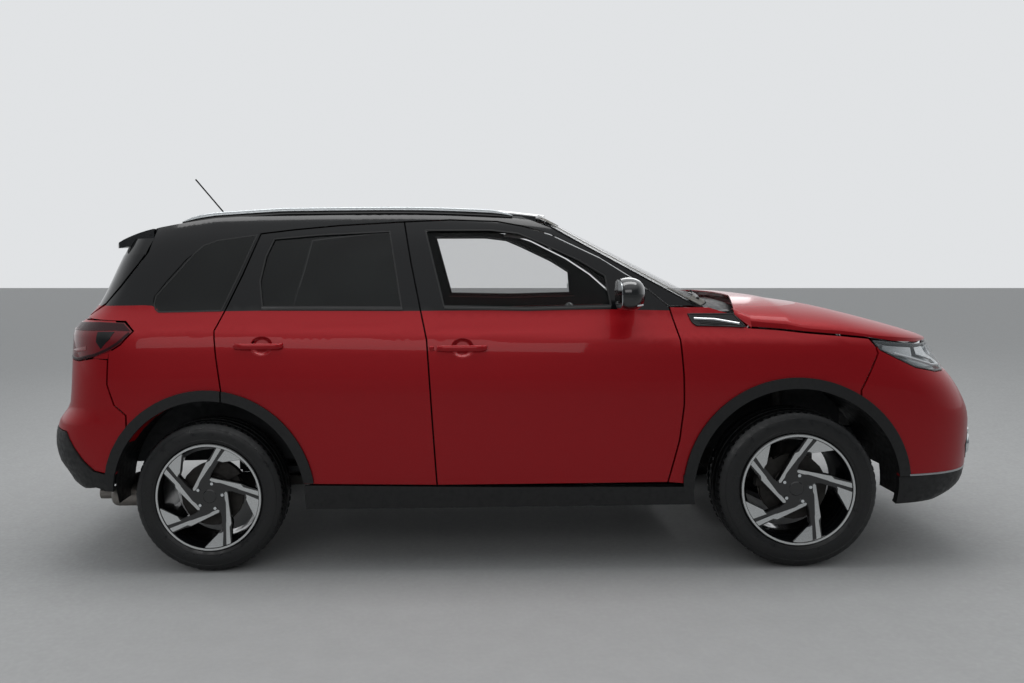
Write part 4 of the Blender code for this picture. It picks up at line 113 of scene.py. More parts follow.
HALF_WIDTH = BODY_WIDTH / 2
LENGTH = WHEELBASE + FRONT_OVERHANG + REAR_OVERHANG
X_REAR_AXLE = REAR_OVERHANG - LENGTH / 2
X_FRONT_AXLE = X_REAR_AXLE + WHEELBASE
X_MIDDLE = X_REAR_AXLE + WHEELBASE / 2
X_PLAN_FRONT = X_FRONT_AXLE - PLAN_FRONT_CENTRE
X_PLAN_REAR = X_REAR_AXLE + PLAN_FRONT_CENTRE
QUARTER_TURN = math.pi / 2
FRONT_END = X_PLAN_FRONT + PLAN_CORNER_RADIUS * QUARTER_TURN
REAR_END = X_PLAN_REAR - PLAN_CORNER_RADIUS * QUARTER_TURN
RIGHT, LEFT = -1, 1
SIDES = ((RIGHT, "right"), (LEFT, "left"))

# Half width of the body side against height, in shares of the half width and roof height
WIDTH_HEIGHT_SHARES = (0.10, 0.17, 0.23, 0.34, 0.48, 0.58, 0.625, 0.655, 0.70, 0.73)
WIDTH_SHARES = (0.930, 0.950, 0.965, 0.980, 0.984, 0.972, 0.957, 0.925, 0.877, 0.853)

# Reach of the nose past the front axle against height, in shares of the overhang
NOSE_HEIGHT_SHARES = (0.12, 0.158, 0.178, 0.204, 0.234, 0.304, 0.369, 0.398, 0.439, 0.475, 0.51,
    0.585, 0.64, 0.70)
NOSE_SHARES = (0.78, 0.854, 0.921, 0.965, 0.980, 0.992, 1.0, 0.992, 0.962, 0.925, 0.885, 0.840,
    0.790, 0.74)
NOSE_POWER_HEIGHT_SHARES = (0.12, 0.47, 0.585, 0.70)
NOSE_POWER_SHARES = (4.8, 4.6, 3.6, 3.2)

# Reach of the tail past the rear axle against height
TAIL_HEIGHT_SHARES = (0.12, 0.209, 0.234, 0.262, 0.303, 0.352, 0.411, 0.439, 0.463, 0.57, 0.675,
    0.712, 0.745, 0.895, 1.0)
TAIL_SHARES = (0.70, 0.807, 0.895, 0.93, 0.982, 1.0, 0.975, 0.93, 0.905, 0.886, 0.878, 0.80, 0.745,
    0.610, 0.50)
TAIL_POWER = 4.6

# Roof height along the car, as (station, share of roof height)
ROOF_STATION_SHARES = (-0.90, -0.60, -0.36, -0.05, 0.15, 0.36, 0.50, 0.62, 0.75, 0.95)
ROOF_SHARES = (0.885, 0.935, 0.963, 0.985, 0.995, 1.0, 0.992, 0.972, 0.935, 0.86)

# Hood crown and hood edge heights along the car
HOOD_STATION_SHARES = (0.86, 0.96, 1.08, 1.25, 1.40, 1.52, 1.63, 1.75, 1.90, 2.0)
HOOD_CROWN_SHARES = (0.722, 0.717, 0.703, 0.687, 0.668, 0.652, 0.638, 0.622, 0.600, 0.585)
HOOD_EDGE_SHARES = (0.672, 0.646, 0.628, 0.619, 0.606, 0.599, 0.593, 0.588, 0.580, 0.575)
HOOD_ROLL_SHARE = 4.0
HOOD_EASE_SHARE = 0.62

# Shut lines in side view, as (station, share of roof height)
FRONT_WINDOW_SHARES = ((0.384, 0.934), (0.502, 0.929), (0.552, 0.917), (0.590, 0.889),
    (0.658, 0.834), (0.700, 0.790), (0.706, 0.706), (0.560, 0.706), (0.416, 0.716))
REAR_WINDOW_SHARES = ((0.112, 0.922), (0.20, 0.930), (0.323, 0.934), (0.345, 0.716), (0.22, 0.722),
    (0.097, 0.727), (0.090, 0.80), (0.098, 0.87))
QUARTER_WINDOW_SHARES = ((0.062, 0.918), (0.009, 0.914), (-0.065, 0.899), (-0.140, 0.868),
    (-0.235, 0.810), (-0.300, 0.764), (-0.300, 0.746), (-0.250, 0.731), (0.010, 0.728),
    (0.040, 0.83))
HOOD_LINE_SHARES = ((0.803, 0.700), (0.87, 0.697), (0.912, 0.678), (0.931, 0.643), (0.98, 0.636),
    (1.08, 0.626), (1.25, 0.616), (1.365, 0.608))
HEADLAMP_TOP_SHARES = ((1.375, 0.601), (1.50, 0.592), (1.63, 0.585))
HEADLAMP_FOOT_SHARES = ((1.70, 0.509), (1.586, 0.524), (1.50, 0.548), (1.414, 0.573))
TAIL_LAMP_TOP_SHARES = ((-0.392, 0.672), (-0.445, 0.693), (-0.60, 0.696), (-0.80, 0.694))
TAIL_LAMP_FOOT_SHARES = ((-0.72, 0.590), (-0.60, 0.603), (-0.52, 0.620), (-0.45, 0.641))
TAILGATE_LINE_SHARES = ((-0.364, 0.893), (-0.42, 0.852), (-0.51, 0.795), (-0.60, 0.745),
    (-0.74, 0.708))
TAIL_LAMP_FACE_SHARES = ((0.585, 0.688), (0.575, 0.598))
HEADLAMP_FACE_SHARES = ((0.66, 0.502), (0.50, 0.512), (0.46, 0.540), (0.49, 0.570), (0.60, 0.580))
GRILLE_SHARES = ((0.43, 0.565), (0.44, 0.520), (0.40, 0.448), (0.30, 0.430))
INTAKE_SHARES = ((0.46, 0.350), (0.50, 0.262))


def at(station):
    """Place along the car of a station: 0 and 1 are the axles, -1 and 2 the ends."""
    if station < 0:
        return X_REAR_AXLE + station * REAR_OVERHANG
    if station > 1:
        return X_FRONT_AXLE + (station - 1) * FRONT_OVERHANG
    return X_REAR_AXLE + station * WHEELBASE


def side_view(shares):
    """Side-view points in metres from (station, height share) pairs."""
    return [(at(station), height * ROOF_HEIGHT) for station, height in shares]


def smooth(knots, values, where):
    """A smooth curve through the values that never overshoots them."""
    knots, values = np.asarray(knots, float), np.asarray(values, float)
    where = np.clip(where, knots[0], knots[-1])
    steps = np.diff(knots)
    slopes = np.diff(values) / steps
    tangents = np.zeros(len(knots))
    same = slopes[1:] * slopes[:-1] > 0
    both = np.where(same, slopes[1:] + slopes[:-1], 1)
    tangents[1:-1] = np.where(same, 2 * slopes[1:] * slopes[:-1] / both, 0)
    tangents[0], tangents[-1] = slopes[0], slopes[-1]
    left = np.clip(np.searchsorted(knots, where) - 1, 0, len(steps) - 1)
    t = (where - knots[left]) / steps[left]
    return (
        values[left] * (1 + 2 * t) * (1 - t) ** 2
        + values[left + 1] * t * t * (3 - 2 * t)
        + steps[left] * tangents[left] * t * (1 - t) ** 2
        + steps[left] * tangents[left + 1] * t * t * (t - 1)
    )


def stations_of(x):
    """Stations of places along the car."""
    rear = (x - X_REAR_AXLE) / REAR_OVERHANG
    front = 1 + (x - X_FRONT_AXLE) / FRONT_OVERHANG
    return np.where(x < X_REAR_AXLE, rear, np.where(x > X_FRONT_AXLE, front,
        (x - X_REAR_AXLE) / WHEELBASE))


def roof_top(x):
    return smooth(ROOF_STATION_SHARES, ROOF_SHARES, stations_of(x)) * ROOF_HEIGHT


def side_width(x, z):
    """Half width of the body side, before the ends close in."""
    inner = np.clip(x, X_PLAN_REAR, X_PLAN_FRONT)
    belt = BELT_HEIGHT - SHOULDER_TILT_SHARE * (inner - X_MIDDLE)
    level = z + SHOULDER_TILT_SHARE * (inner - X_MIDDLE) * np.clip(z / belt, 0, 1)
    base = smooth(WIDTH_HEIGHT_SHARES, WIDTH_SHARES, np.minimum(level, BELT_HEIGHT) / ROOF_HEIGHT)
    above = np.maximum(level - BELT_HEIGHT, 0)
    rise = np.clip(above / (roof_top(x) - BELT_HEIGHT), 0, 0.9999)
    barrel = 1 - BARREL_SHARE * ((inner - X_MIDDLE) / (WHEELBASE / 2)) ** 2
    lean = base * HALF_WIDTH * barrel - LEAN_SHARE * above
    return lean * (1 - rise**ROOF_ROUND_SHARE) ** (1 / ROOF_ROUND_SHARE)


def end_shape(x, z):
    """Reach and power of the plan curve that closes the nearer end at this height."""
    level = z / ROOF_HEIGHT
    nose = X_FRONT_AXLE - X_PLAN_FRONT + FRONT_OVERHANG * smooth(NOSE_HEIGHT_SHARES, NOSE_SHARES,
        level)
    tail = X_PLAN_REAR - X_REAR_AXLE + REAR_OVERHANG * smooth(TAIL_HEIGHT_SHARES, TAIL_SHARES,
        level)
    power = smooth(NOSE_POWER_HEIGHT_SHARES, NOSE_POWER_SHARES, level)
    ahead = x > X_MIDDLE
    return np.where(ahead, nose, tail), np.where(ahead, power, TAIL_POWER)


def past_middle(x):
    """How far a place is past the straight middle of the plan."""
    return np.maximum(np.maximum(x - X_PLAN_FRONT, X_PLAN_REAR - x), 0)


def half_width(x, z):
    """Half width of the outer skin at a place in side view."""
    reach, power = end_shape(x, z)
    closing = np.clip(past_middle(x) / reach, 0, 0.9999) ** power
    return side_width(x, z) * (1 - closing) ** (1 / power)


def girth_of(x, z):
    """Distance round the plan curve, which is x between the plan centres."""
    beyond = past_middle(x)
    turn = np.arctan2(beyond, half_width(x, z)) * PLAN_CORNER_RADIUS
    return np.where(x > X_MIDDLE, np.minimum(x, X_PLAN_FRONT) + turn,
        np.maximum(x, X_PLAN_REAR) - turn)


def wrap(girth, z):
    """(x, half width) at a distance round the plan curve."""
    ahead = girth > X_MIDDLE
    over = np.maximum(np.maximum(girth - X_PLAN_FRONT, X_PLAN_REAR - girth), 0)
    angle = np.clip(over / PLAN_CORNER_RADIUS, 0, QUARTER_TURN)
    inner = np.clip(girth, X_PLAN_REAR, X_PLAN_FRONT)
    reach, power = end_shape(girth, z)
    width = side_width(inner, z)
    radius = ((np.sin(angle) / reach) ** power + (np.cos(angle) / width) ** power) ** (-1 / power)
    return inner + np.where(ahead, 1, -1) * radius * np.sin(angle), radius * np.cos(angle)


PROUD_FROM_SHARE = 0.72


def wrapped(end, proud=0):
    """Surface of an end over (distance from its centre line, height), proud at the flanks."""

    def surface(points):
        girth = end + np.where(end > X_MIDDLE, -1, 1) * np.abs(points[:, 0])
        x, half = wrap(girth, points[:, 1])
        middle = X_PLAN_FRONT if end > X_MIDDLE else X_PLAN_REAR
        flank = np.sqrt(np.clip((half / HALF_WIDTH - PROUD_FROM_SHARE) / (1 - PROUD_FROM_SHARE), 0,
            1))
        grown = 1 + proud * flank / np.hypot(x - middle, half)
        return np.stack([middle + (x - middle) * grown, np.sign(points[:, 0]) * half * grown,
            points[:, 1]], axis=1)

    return surface


def body_side(side, proud=0):
    """Surface of one flank over (x, z)."""

    def surface(points):
        half = half_width(points[:, 0], points[:, 1]) + proud
        return np.stack([points[:, 0], side * half, points[:, 1]], axis=1)

    return surface


def roof_surface(points):
    """Surface of the roof over (x, y)."""
    x, half = points[:, 0], np.abs(points[:, 1])
    low = np.full(len(points), BELT_HEIGHT + (ROOF_HEIGHT - BELT_HEIGHT) / 2)
    high = roof_top(x)
    for _ in range(40):
        middle = (low + high) / 2
        outside = side_width(x, middle) < half
        high = np.where(outside, middle, high)
        low = np.where(outside, low, middle)
    return np.stack([x, points[:, 1], low], axis=1)


def hood_edge(x):
    return smooth(HOOD_STATION_SHARES, HOOD_EDGE_SHARES, stations_of(x)) * ROOF_HEIGHT


def hood_surface(points):
    """Surface of the hood over (x, y): a crown that rolls down to its edge."""
    x, y = points[:, 0], points[:, 1]
    edge = hood_edge(x)
    reach, power = end_shape(x, edge)
    width = side_width(x, edge)
    ratio = (past_middle(x) / reach) ** power + (np.abs(y) / width) ** power
    rolled = np.clip(1 - ratio ** (HOOD_ROLL_SHARE / power), 0, 1) ** HOOD_EASE_SHARE
    crown = smooth(HOOD_STATION_SHARES, HOOD_CROWN_SHARES, stations_of(x)) * ROOF_HEIGHT
    return np.stack([x, y, edge + (crown - edge) * rolled], axis=1)


# Windshield
WINDSHIELD_FOOT = 1.055
WINDSHIELD_RAKE = math.radians(29)
WINDSHIELD_BOW = 0.250


def windshield_surface(points):
    """Surface of the windshield over (y, z)."""
    y, z = points[:, 0], points[:, 1]
    x = X_MIDDLE + WINDSHIELD_FOOT + (BELT_HEIGHT - z) / math.tan(WINDSHIELD_RAKE)
    x = x - WINDSHIELD_BOW * y * y / HALF_WIDTH
    return np.stack([x, y, z], axis=1)


def inwards(surface, depth, direction):
    """The surface moved by a depth in one fixed direction."""
    move = np.array(direction, float) * depth
    return lambda points: surface(points) + move


# Outlines and regions in a surface's own plane

def turned_left(points):
    """The loop with its inside on the left of its direction."""
    points = np.asarray(points, float)
    following = np.roll(points, -1, axis=0)
    area = np.sum(points[:, 0] * following[:, 1] - points[:, 1] * following[:, 0])
    return points if area > 0 else points[::-1]


def inset(points, distance):
    """The closed loop moved inwards, with mitred corners."""
    points = turned_left(points)
    before = points - np.roll(points, 1, axis=0)
    after = np.roll(points, -1, axis=0) - points
    before /= np.linalg.norm(before, axis=1, keepdims=True)
    after /= np.linalg.norm(after, axis=1, keepdims=True)
    normals = np.stack([-(before + after)[:, 1], (before + after)[:, 0]], axis=1)
    normals /= np.linalg.norm(normals, axis=1, keepdims=True)
    half_cos = np.maximum(normals[:, 1] * before[:, 0] - normals[:, 0] * before[:, 1], 0.5)
    return points + normals * (distance / half_cos)[:, None]


def divided(points, step):
    """The closed loop with no edge longer than the step."""
    points = np.asarray(points, float)
    parts = []
    for start, end in zip(points, np.roll(points, -1, axis=0)):
        count = max(1, math.ceil(np.linalg.norm(end - start) / step - 1e-9))
        parts += [start + (end - start) * i / count for i in range(count)]
    return np.array(parts)


def holds(loop, points):
    """Which points lie inside the closed loop."""
    inside = np.zeros(len(points), bool)
    for (ax, ay), (bx, by) in zip(loop, np.roll(loop, -1, axis=0)):
        if ay == by:
            continue
        crosses = (ay > points[:, 1]) != (by > points[:, 1])
        at_x = ax + (points[:, 1] - ay) * (bx - ax) / (by - ay)
        inside ^= crosses & (points[:, 0] < at_x)
    return inside


class Region:
    """An area of a plane: its boundary loops and a test of what it holds."""

    def __init__(self, loops, test):
        self.loops = loops
        self.test = test

    def __sub__(self, other):
        return Region(self.loops + other.loops, lambda p: self.test(p) & ~other.test(p))

    def __and__(self, other):
        return Region(self.loops + other.loops, lambda p: self.test(p) & other.test(p))


def polygon(points, shrink=0):
    loop = inset(points, shrink) if shrink else turned_left(points)
    return Region([loop], lambda p: holds(loop, p))


def disc(centre, radius, count):
    angles = [2 * math.pi * i / count for i in range(count)]
    return polygon([(centre[0] + radius * math.cos(a), centre[1] + radius * math.sin(a))
        for a in angles])


def rectangle(x0, x1, z0, z1):
    return polygon([(x0, z0), (x1, z0), (x1, z1), (x0, z1)])


def near_edges(points, starts, ends):
    """Distance of each point from the nearest edge."""
    edges = ends - starts
    lengths = np.maximum(np.sum(edges * edges, axis=1), 1e-18)
    along = np.clip(((points[:, None] - starts) * edges).sum(axis=2) / lengths, 0, 1)
    gaps = points[:, None] - starts - along[..., None] * edges
    return np.sqrt((gaps**2).sum(axis=2)).min(axis=1)


def triangulated(region, step):
    """Points and triangles that fill the region, with a lattice inside it."""
    loops = [divided(loop, step) for loop in region.loops]
    starts = np.concatenate(loops)
    ends = np.concatenate([np.roll(loop, -1, axis=0) for loop in loops])
    low, high = starts.min(axis=0), starts.max(axis=0)
    columns = np.arange(low[0] + step / 2, high[0], step)
    rows = np.arange(low[1] + step / 2, high[1], step)
    lattice = np.array([(x, z) for x in columns for z in rows]).reshape(-1, 2)
    lattice = lattice[region.test(lattice)]
    if len(lattice):
        lattice = lattice[near_edges(lattice, starts, ends) > step * 0.45]
    edges = []
    first = 0
    for loop in loops:
        count = len(loop)
        edges += [(first + i, first + (i + 1) % count) for i in range(count)]
        first += count
    points = [tuple(p) for p in np.concatenate([starts, lattice])]
    points, _, faces, *_ = delaunay_2d_cdt(points, edges, [], 0, 1e-7)
    points = np.array([tuple(p) for p in points])
    faces = np.array([tuple(face) for face in faces])
    return points, faces[region.test(points[faces].mean(axis=1))]


def rim_points(faces, edges_there=1):
    """Points where at least this many border edges of a set of triangles meet."""
    edges = np.sort(np.concatenate([faces[:, [0, 1]], faces[:, [1, 2]], faces[:, [2, 0]]]), axis=1)
    edges, counts = np.unique(edges, axis=0, return_counts=True)
    points, meeting = np.unique(edges[counts == 1], return_counts=True)
    return points[meeting >= edges_there]


# Solids

def stepped_slab(levels, front, backs, step):
    """A closed solid over nested regions, each set back to its own depth.

    levels[0] is the whole region. A later region lies inside the one before
    it, and its back lies deeper.
    """
    whole = levels[0]
    for inner in levels[1:]:
        whole = Region(whole.loops + inner.loops, whole.test)
    points, faces = triangulated(whole, step)
    centres = points[faces].mean(axis=1)
    level = np.zeros(len(faces), int)
    for number, inner in enumerate(levels[1:], 1):
        touching = np.isin(faces, rim_points(faces[level >= number - 1])).any(axis=1)
        level[inner.test(centres) & (level == number - 1) & ~touching] = number
        while len(pinched := rim_points(faces[level == number], 3)):
            level[(level == number) & np.isin(faces, pinched).any(axis=1)] = number - 1
    sheets = [front(points)] + [back(points) for back in backs]
    mesh = bmesh.new()
    made = {}

    def corner(point, sheet):
        if (point, sheet) not in made:
            made[point, sheet] = mesh.verts.new(sheets[sheet][point])
        return made[point, sheet]

    sides = {}
    for face, depth in zip(faces, level):
        a, b, c = (int(i) for i in face)
        mesh.faces.new([corner(i, 0) for i in (a, b, c)])
        mesh.faces.new([corner(i, depth + 1) for i in (c, b, a)])
        for start, end in ((a, b), (b, c), (c, a)):
            sides[start, end] = depth + 1
    for (start, end), depth in sides.items():
        other = sides.get((end, start), 0)
        if other < depth:
            mesh.faces.new([corner(start, other), corner(start, depth), corner(end, depth),
                corner(end, other)])
    return mesh


# Materials

def linear(code):
    """Scene-linear colour of an sRGB hex code."""
    parts = [int(code[i:i + 2], 16) / 255 for i in (1, 3, 5)]
    return (*[c / 12.92 if c <= 0.04045 else ((c + 0.055) / 1.055) ** 2.4 for c in parts], 1)


def add(tree, kind, settings=(), **links):
    """A node with its properties set, and its inputs set or linked by name."""
    made = tree.nodes.new("ShaderNode" + kind)
    for key, value in dict(settings).items():
        setattr(made, key, value)
    for key, value in links.items():
        name = key.replace("_", " ")
        numbered = key[0] == "i" and key[1:].isdigit()
        socket = made.inputs[int(key[1:]) if numbered else name]
        if isinstance(value, bpy.types.NodeSocket):
            tree.links.new(value, socket)
        else:
            socket.default_value = value
    return made


def shader(name, **sockets):
    """A new material with one Principled shader; returns its tree, shader and object
    coordinates."""
    material = bpy.data.materials.new(name)
    material.use_nodes = True
    tree = material.node_tree
    main = tree.nodes["Principled BSDF"]
    for key, value in sockets.items():
        main.inputs[key.replace("_", " ")].default_value = value
    where = add(tree, "TexCoord").outputs["Object"]
    return material, tree, main, where


def mottled(tree, where, scale, low, high, detail=3.0):
    """A value that wanders between two limits."""
    noise = add(tree, "TexNoise", Vector=where, Scale=scale, Detail=detail)
    return add(tree, "MapRange", i0=noise.outputs["Fac"], i1=0.3, i2=0.7, i3=low,
        i4=high).outputs[0]


def finish(name, colour, rough, grain=None, tint=0.12, spread=0.25, **sockets):
    """A surface of one colour with slight blotches, uneven gloss and, where given, a grain of
    (millimetres, depth)."""
    material, tree, main, where = shader(name, **sockets)
    base = linear(colour)
    dark = tuple(c * (1 - tint) for c in base[:3]) + (1,)
    blotch = mottled(tree, where, 9.0, 0.0, 1.0)
    mixed = add(tree, "Mix", {"data_type": "RGBA"}, i0=blotch, i6=base, i7=dark)
    tree.links.new(mixed.outputs[2], main.inputs["Base Color"])
    uneven = mottled(tree, where, 45.0, rough * (1 - spread), min(1.0, rough * (1 + spread)))
    tree.links.new(uneven, main.inputs["Roughness"])
    if grain:
        size, depth = grain
        noise = add(tree, "TexNoise", Vector=where, Scale=1000 / size, Detail=2.0)
        bump = add(tree, "Bump", Strength=depth, Distance=size / 3000, Height=noise.outputs["Fac"])
        tree.links.new(bump.outputs[0], main.inputs["Normal"])
    return material


FLAKES_PER_METRE = 900.0
ORANGE_PEEL_PER_METRE = 160.0
RED_ROUGHNESS, BLACK_ROUGHNESS = 0.38, 0.16
RED_METAL = 0.30


def paint(name, upper, lower):
    """Car paint under clear coat: fine flake sparkle, slight orange peel, and the black upper part
    above the paint line."""
    material, tree, main, where = shader(name, Coat_Weight=0.35, Coat_Roughness=0.03, Coat_IOR=1.5,
        Specular_IOR_Level=0.25)
    flake = add(tree, "TexVoronoi", Vector=where, Scale=FLAKES_PER_METRE)
    sparkle = add(tree, "MapRange", i0=flake.outputs["Color"], i1=0.0, i2=1.0, i3=0.82,
        i4=1.12).outputs[0]
    place = add(tree, "SeparateXYZ", i0=where)
    along = add(tree, "MapRange", i0=place.outputs[0], i1=PAINT_LINE[0][0],
        i2=PAINT_LINE[-1][0]).outputs[0]
    line = add(tree, "ValToRGB", Fac=along)
    ramp = line.color_ramp
    span = PAINT_LINE[-1][0] - PAINT_LINE[0][0]
    while len(ramp.elements) < len(PAINT_LINE):
        ramp.elements.new(0.5)
    for element, (x, z) in zip(ramp.elements, PAINT_LINE):
        element.position = (x - PAINT_LINE[0][0]) / span
    for element, (x, z) in zip(ramp.elements, PAINT_LINE):
        element.color = (z - 1, z - 1, z - 1, 1)
    height = add(tree, "Math", {"operation": "SUBTRACT"}, i0=place.outputs[2], i1=1.0).outputs[0]
    above = add(tree, "Math", {"operation": "GREATER_THAN"}, i0=height,
        i1=line.outputs[0]).outputs[0]
    two = add(tree, "Mix", {"data_type": "RGBA"}, i0=above, i6=linear(lower), i7=linear(upper))
    glint = add(tree, "Mix", {"data_type": "RGBA", "blend_type": "MULTIPLY"}, i0=1.0,
        i6=two.outputs[2], i7=sparkle)
    tree.links.new(glint.outputs[2], main.inputs["Base Color"])
    gloss = add(tree, "MapRange", i0=above, i1=0.0, i2=1.0, i3=RED_ROUGHNESS,
        i4=BLACK_ROUGHNESS).outputs[0]
    tree.links.new(gloss, main.inputs["Roughness"])
    metal = add(tree, "MapRange", i0=above, i1=0.0, i2=1.0, i3=RED_METAL, i4=0.0).outputs[0]
    tree.links.new(metal, main.inputs["Metallic"])
    peel = add(tree, "TexNoise", Vector=where, Scale=ORANGE_PEEL_PER_METRE, Detail=1.0)
    bump = add(tree, "Bump", Strength=0.03, Distance=0.0006, Height=peel.outputs["Fac"])
    tree.links.new(bump.outputs[0], main.inputs["Coat Normal"])
    return material


def glazing(name, colour, cover, ior):
    """Car glass: a tinted pane that hides this share of what is behind it, smeared a little, with a
    clean reflection."""
    material, tree, main, where = shader(name, Alpha=cover, IOR=ior, Coat_Weight=0.0)
    smear = mottled(tree, where, 6.0, 0.0, 0.03)
    tree.links.new(smear, main.inputs["Roughness"])
    base = linear(colour)
    haze = add(tree, "Mix", {"data_type": "RGBA"}, i0=mottled(tree, where, 3.0, 0.0, 0.2), i6=base,
        i7=linear("#2b3230"))
    tree.links.new(haze.outputs[2], main.inputs["Base Color"])
    return material


def brushed(name, colour, rough, rings):
    """Machined or brushed metal: fine tool lines this many to the metre, round the wheel's axis or
    along the piece."""
    material, tree, main, where = shader(name, Metallic=1.0, Base_Color=linear(colour))
    lines = add(tree, "TexNoise", Scale=rings, Detail=2.0, Vector=where)
    tree.links.new(add(tree, "MapRange", i0=lines.outputs["Fac"], i1=0.3, i2=0.7, i3=rough * 0.7,
        i4=rough * 1.4).outputs[0], main.inputs["Roughness"])
    bump = add(tree, "Bump", Strength=0.15, Distance=0.0002, Height=lines.outputs["Fac"])
    tree.links.new(bump.outputs[0], main.inputs["Normal"])
    return material


def woven(name, colour, rough, pitch):
    """Cloth: two crossing sets of threads this many millimetres apart, with sheen."""
    material, tree, main, where = shader(name, Sheen_Weight=0.3, Sheen_Roughness=0.5,
        Roughness=rough)
    bands = []
    for axis in "XYZ":
        wave = add(tree, "TexWave", {"bands_direction": axis}, Vector=where,
            Scale=1000 / pitch / 6.283 * 2, Distortion=0.6, Detail=1.0)
        bands.append(wave.outputs["Fac"])
    sums = add(tree, "Math", {"operation": "ADD"}, i0=bands[0], i1=bands[1]).outputs[0]
    sums = add(tree, "Math", {"operation": "ADD"}, i0=sums, i1=bands[2]).outputs[0]
    base = linear(colour)
    dark = tuple(c * 0.6 for c in base[:3]) + (1,)
    shade = add(tree, "Mix", {"data_type": "RGBA"},
        i0=add(tree, "MapRange", i0=sums, i1=0.5, i2=2.5).outputs[0], i6=dark, i7=base)
    tree.links.new(shade.outputs[2], main.inputs["Base Color"])
    bump = add(tree, "Bump", Strength=0.5, Distance=pitch / 2500, Height=sums)
    tree.links.new(bump.outputs[0], main.inputs["Normal"])
    return material


# Where red meets black: (place along the car, height)
PAINT_LINE = ((-1.56, 1.168), (-1.52, 1.165), (-1.478, 1.137), (-1.02, 1.131), (-0.41, 1.114),
    (0.49, 1.097), (0.735, 1.086))

# The body's deep red under clear coat, black above the line that runs along the belt
RED = paint("two_tone_red_paint", "#0a0b0d", "#9a000e")
# The same red on panels that are red all over
SOLID_RED = paint("red_paint_one_tone", "#9a000e", "#9a000e")
# A deep, wet-looking black on the roof, mirrors and spoiler
BLACK_PAINT = finish("gloss_black_paint", "#0c0e10", 0.16, tint=0.05, Coat_Weight=1.0,
    Coat_Roughness=0.02)
# Dull black moulded plastic with a fine grain, round the arches and along the sills
PLASTIC = finish("grained_black_cladding", "#0e0f10", 0.55, (0.9, 0.5))
# A dull warm grey band where the screen meets its pillars: painted reflection of the backdrop in
# the glass seen at a grazing angle, over the screen's frame
SCREEN_EDGE_PAINTED_REFLECTION = finish("screen_edge_painted_reflection", "#4b4840", 0.75)
# Black plastic with clean reflections, in the grille, vents and frames
GLOSS_PLASTIC = finish("gloss_black_plastic", "#08090a", 0.10)
# Soft black rubber that draws each window's outline
SEAL = finish("black_rubber_seal", "#0b0c0d", 0.45, (0.6, 0.2))
# Grey-black rubber with uneven gloss
TYRE_SIDE = finish("tyre_rubber", "#0f1011", 0.40, (1.4, 0.25), spread=0.4)
# A bright mirror finish in thin lines
CHROME = finish("bright_chrome", "#e4e8ea", 0.06, tint=0.03, Metallic=1.0)
# Soft silver with fine lines along the rails
SATIN = brushed("satin_aluminium_rail", "#b4b8ba", 0.34, 400.0)
# Bright cut faces on the spokes, with lathe lines
MACHINED = brushed("diamond_cut_alloy", "#d6d8d8", 0.20, 900.0)
# Gloss black in the wheels' hollows
ALLOY_BLACK = finish("gloss_black_alloy", "#08090b", 0.14, tint=0.05, Coat_Weight=0.8,
    Coat_Roughness=0.04)
# Dark rough castings under the car
IRON = finish("cast_iron", "#3a3836", 0.62, (1.2, 0.4), Metallic=0.8)
# Steel with fine circles of wear
DISC = brushed("brake_disc_steel", "#8f8a82", 0.30, 1500.0)
# Near-black painted steel below and behind the panels
STEEL = finish("painted_underbody_steel", "#1b1d1f", 0.55, (1.5, 0.2), Metallic=0.2)
# Dull grey exhaust metal
GALVANISED = finish("exhaust_steel", "#8a8580", 0.38, (1.0, 0.15), Metallic=0.9)
# Front side glass that lets the cabin show
CLEAR_GLASS = glazing("clear_side_glass", "#0a0d0c", 0.10, 1.7)
# The windshield, a little darker
SCREEN_GLASS = glazing("windshield_glass", "#0a0d0c", 0.22, 1.7)
# Rear glass that is nearly black
PRIVACY_GLASS = glazing("dark_privacy_glass", "#050606", 0.84, 1.45)
# Clear lamp covers with a strong highlight
LENS = glazing("clear_lamp_lens", "#8a9296", 0.14, 2.6)
# The dark frame inside a lamp
LAMP_BLACK = finish("lamp_housing_black", "#0b0c0e", 0.30)
# White light guides and bare plates
LAMP_WHITE = finish("frosted_light_guide", "#e9edf0", 0.30, tint=0.02)
# The deep red body of a tail lamp
RED_LENS = finish("dark_red_lens", "#6a0612", 0.10, tint=0.15, Coat_Weight=0.5,
    Coat_Roughness=0.01, Specular_IOR_Level=0.3)
# The shaded top and foot of a tail lamp
DARK_RED = finish("shaded_red_lens", "#2c0a10", 0.30, tint=0.1, Coat_Weight=0.15,
    Coat_Roughness=0.05, Specular_IOR_Level=0.2)
# The brighter red bar in a tail lamp, and the reflectors
RED_GLOW = finish("red_light_guide", "#7a0610", 0.15, Coat_Weight=1.0, Coat_Roughness=0.01)
# Soft dark grained plastic
DASH = finish("soft_dash_plastic", "#1c1d1f", 0.60, (1.1, 0.6))
# Door linings, a shade lighter
TRIM_GREY = finish("door_trim_plastic", "#232426", 0.58, (1.0, 0.5))
# Pale cloth overhead; its weave is real size
HEADLINER = woven("headliner_cloth", "#a9a8a4", 0.9, 1.2)
# Charcoal seat cloth with a visible weave
SEAT_CLOTH = woven("black_seat_cloth", "#26272a", 0.85, 1.6)
# Smooth dark leather on bolsters and rim
SEAT_SIDE = finish("seat_bolster_leather", "#1a1a1c", 0.48, (2.0, 0.35))
# Matt black pile
CARPET = finish("floor_carpet", "#1a1b1c", 0.95, (2.5, 1.0))
# Blank dark displays
SCREEN = finish("dark_display_glass", "#05070a", 0.06)


# Panels

def params_flank(points):
    return points[:, [0, 2]]


def params_top(points):
    return points[:, :2]


def params_screen(points):
    return points[:, 1:]


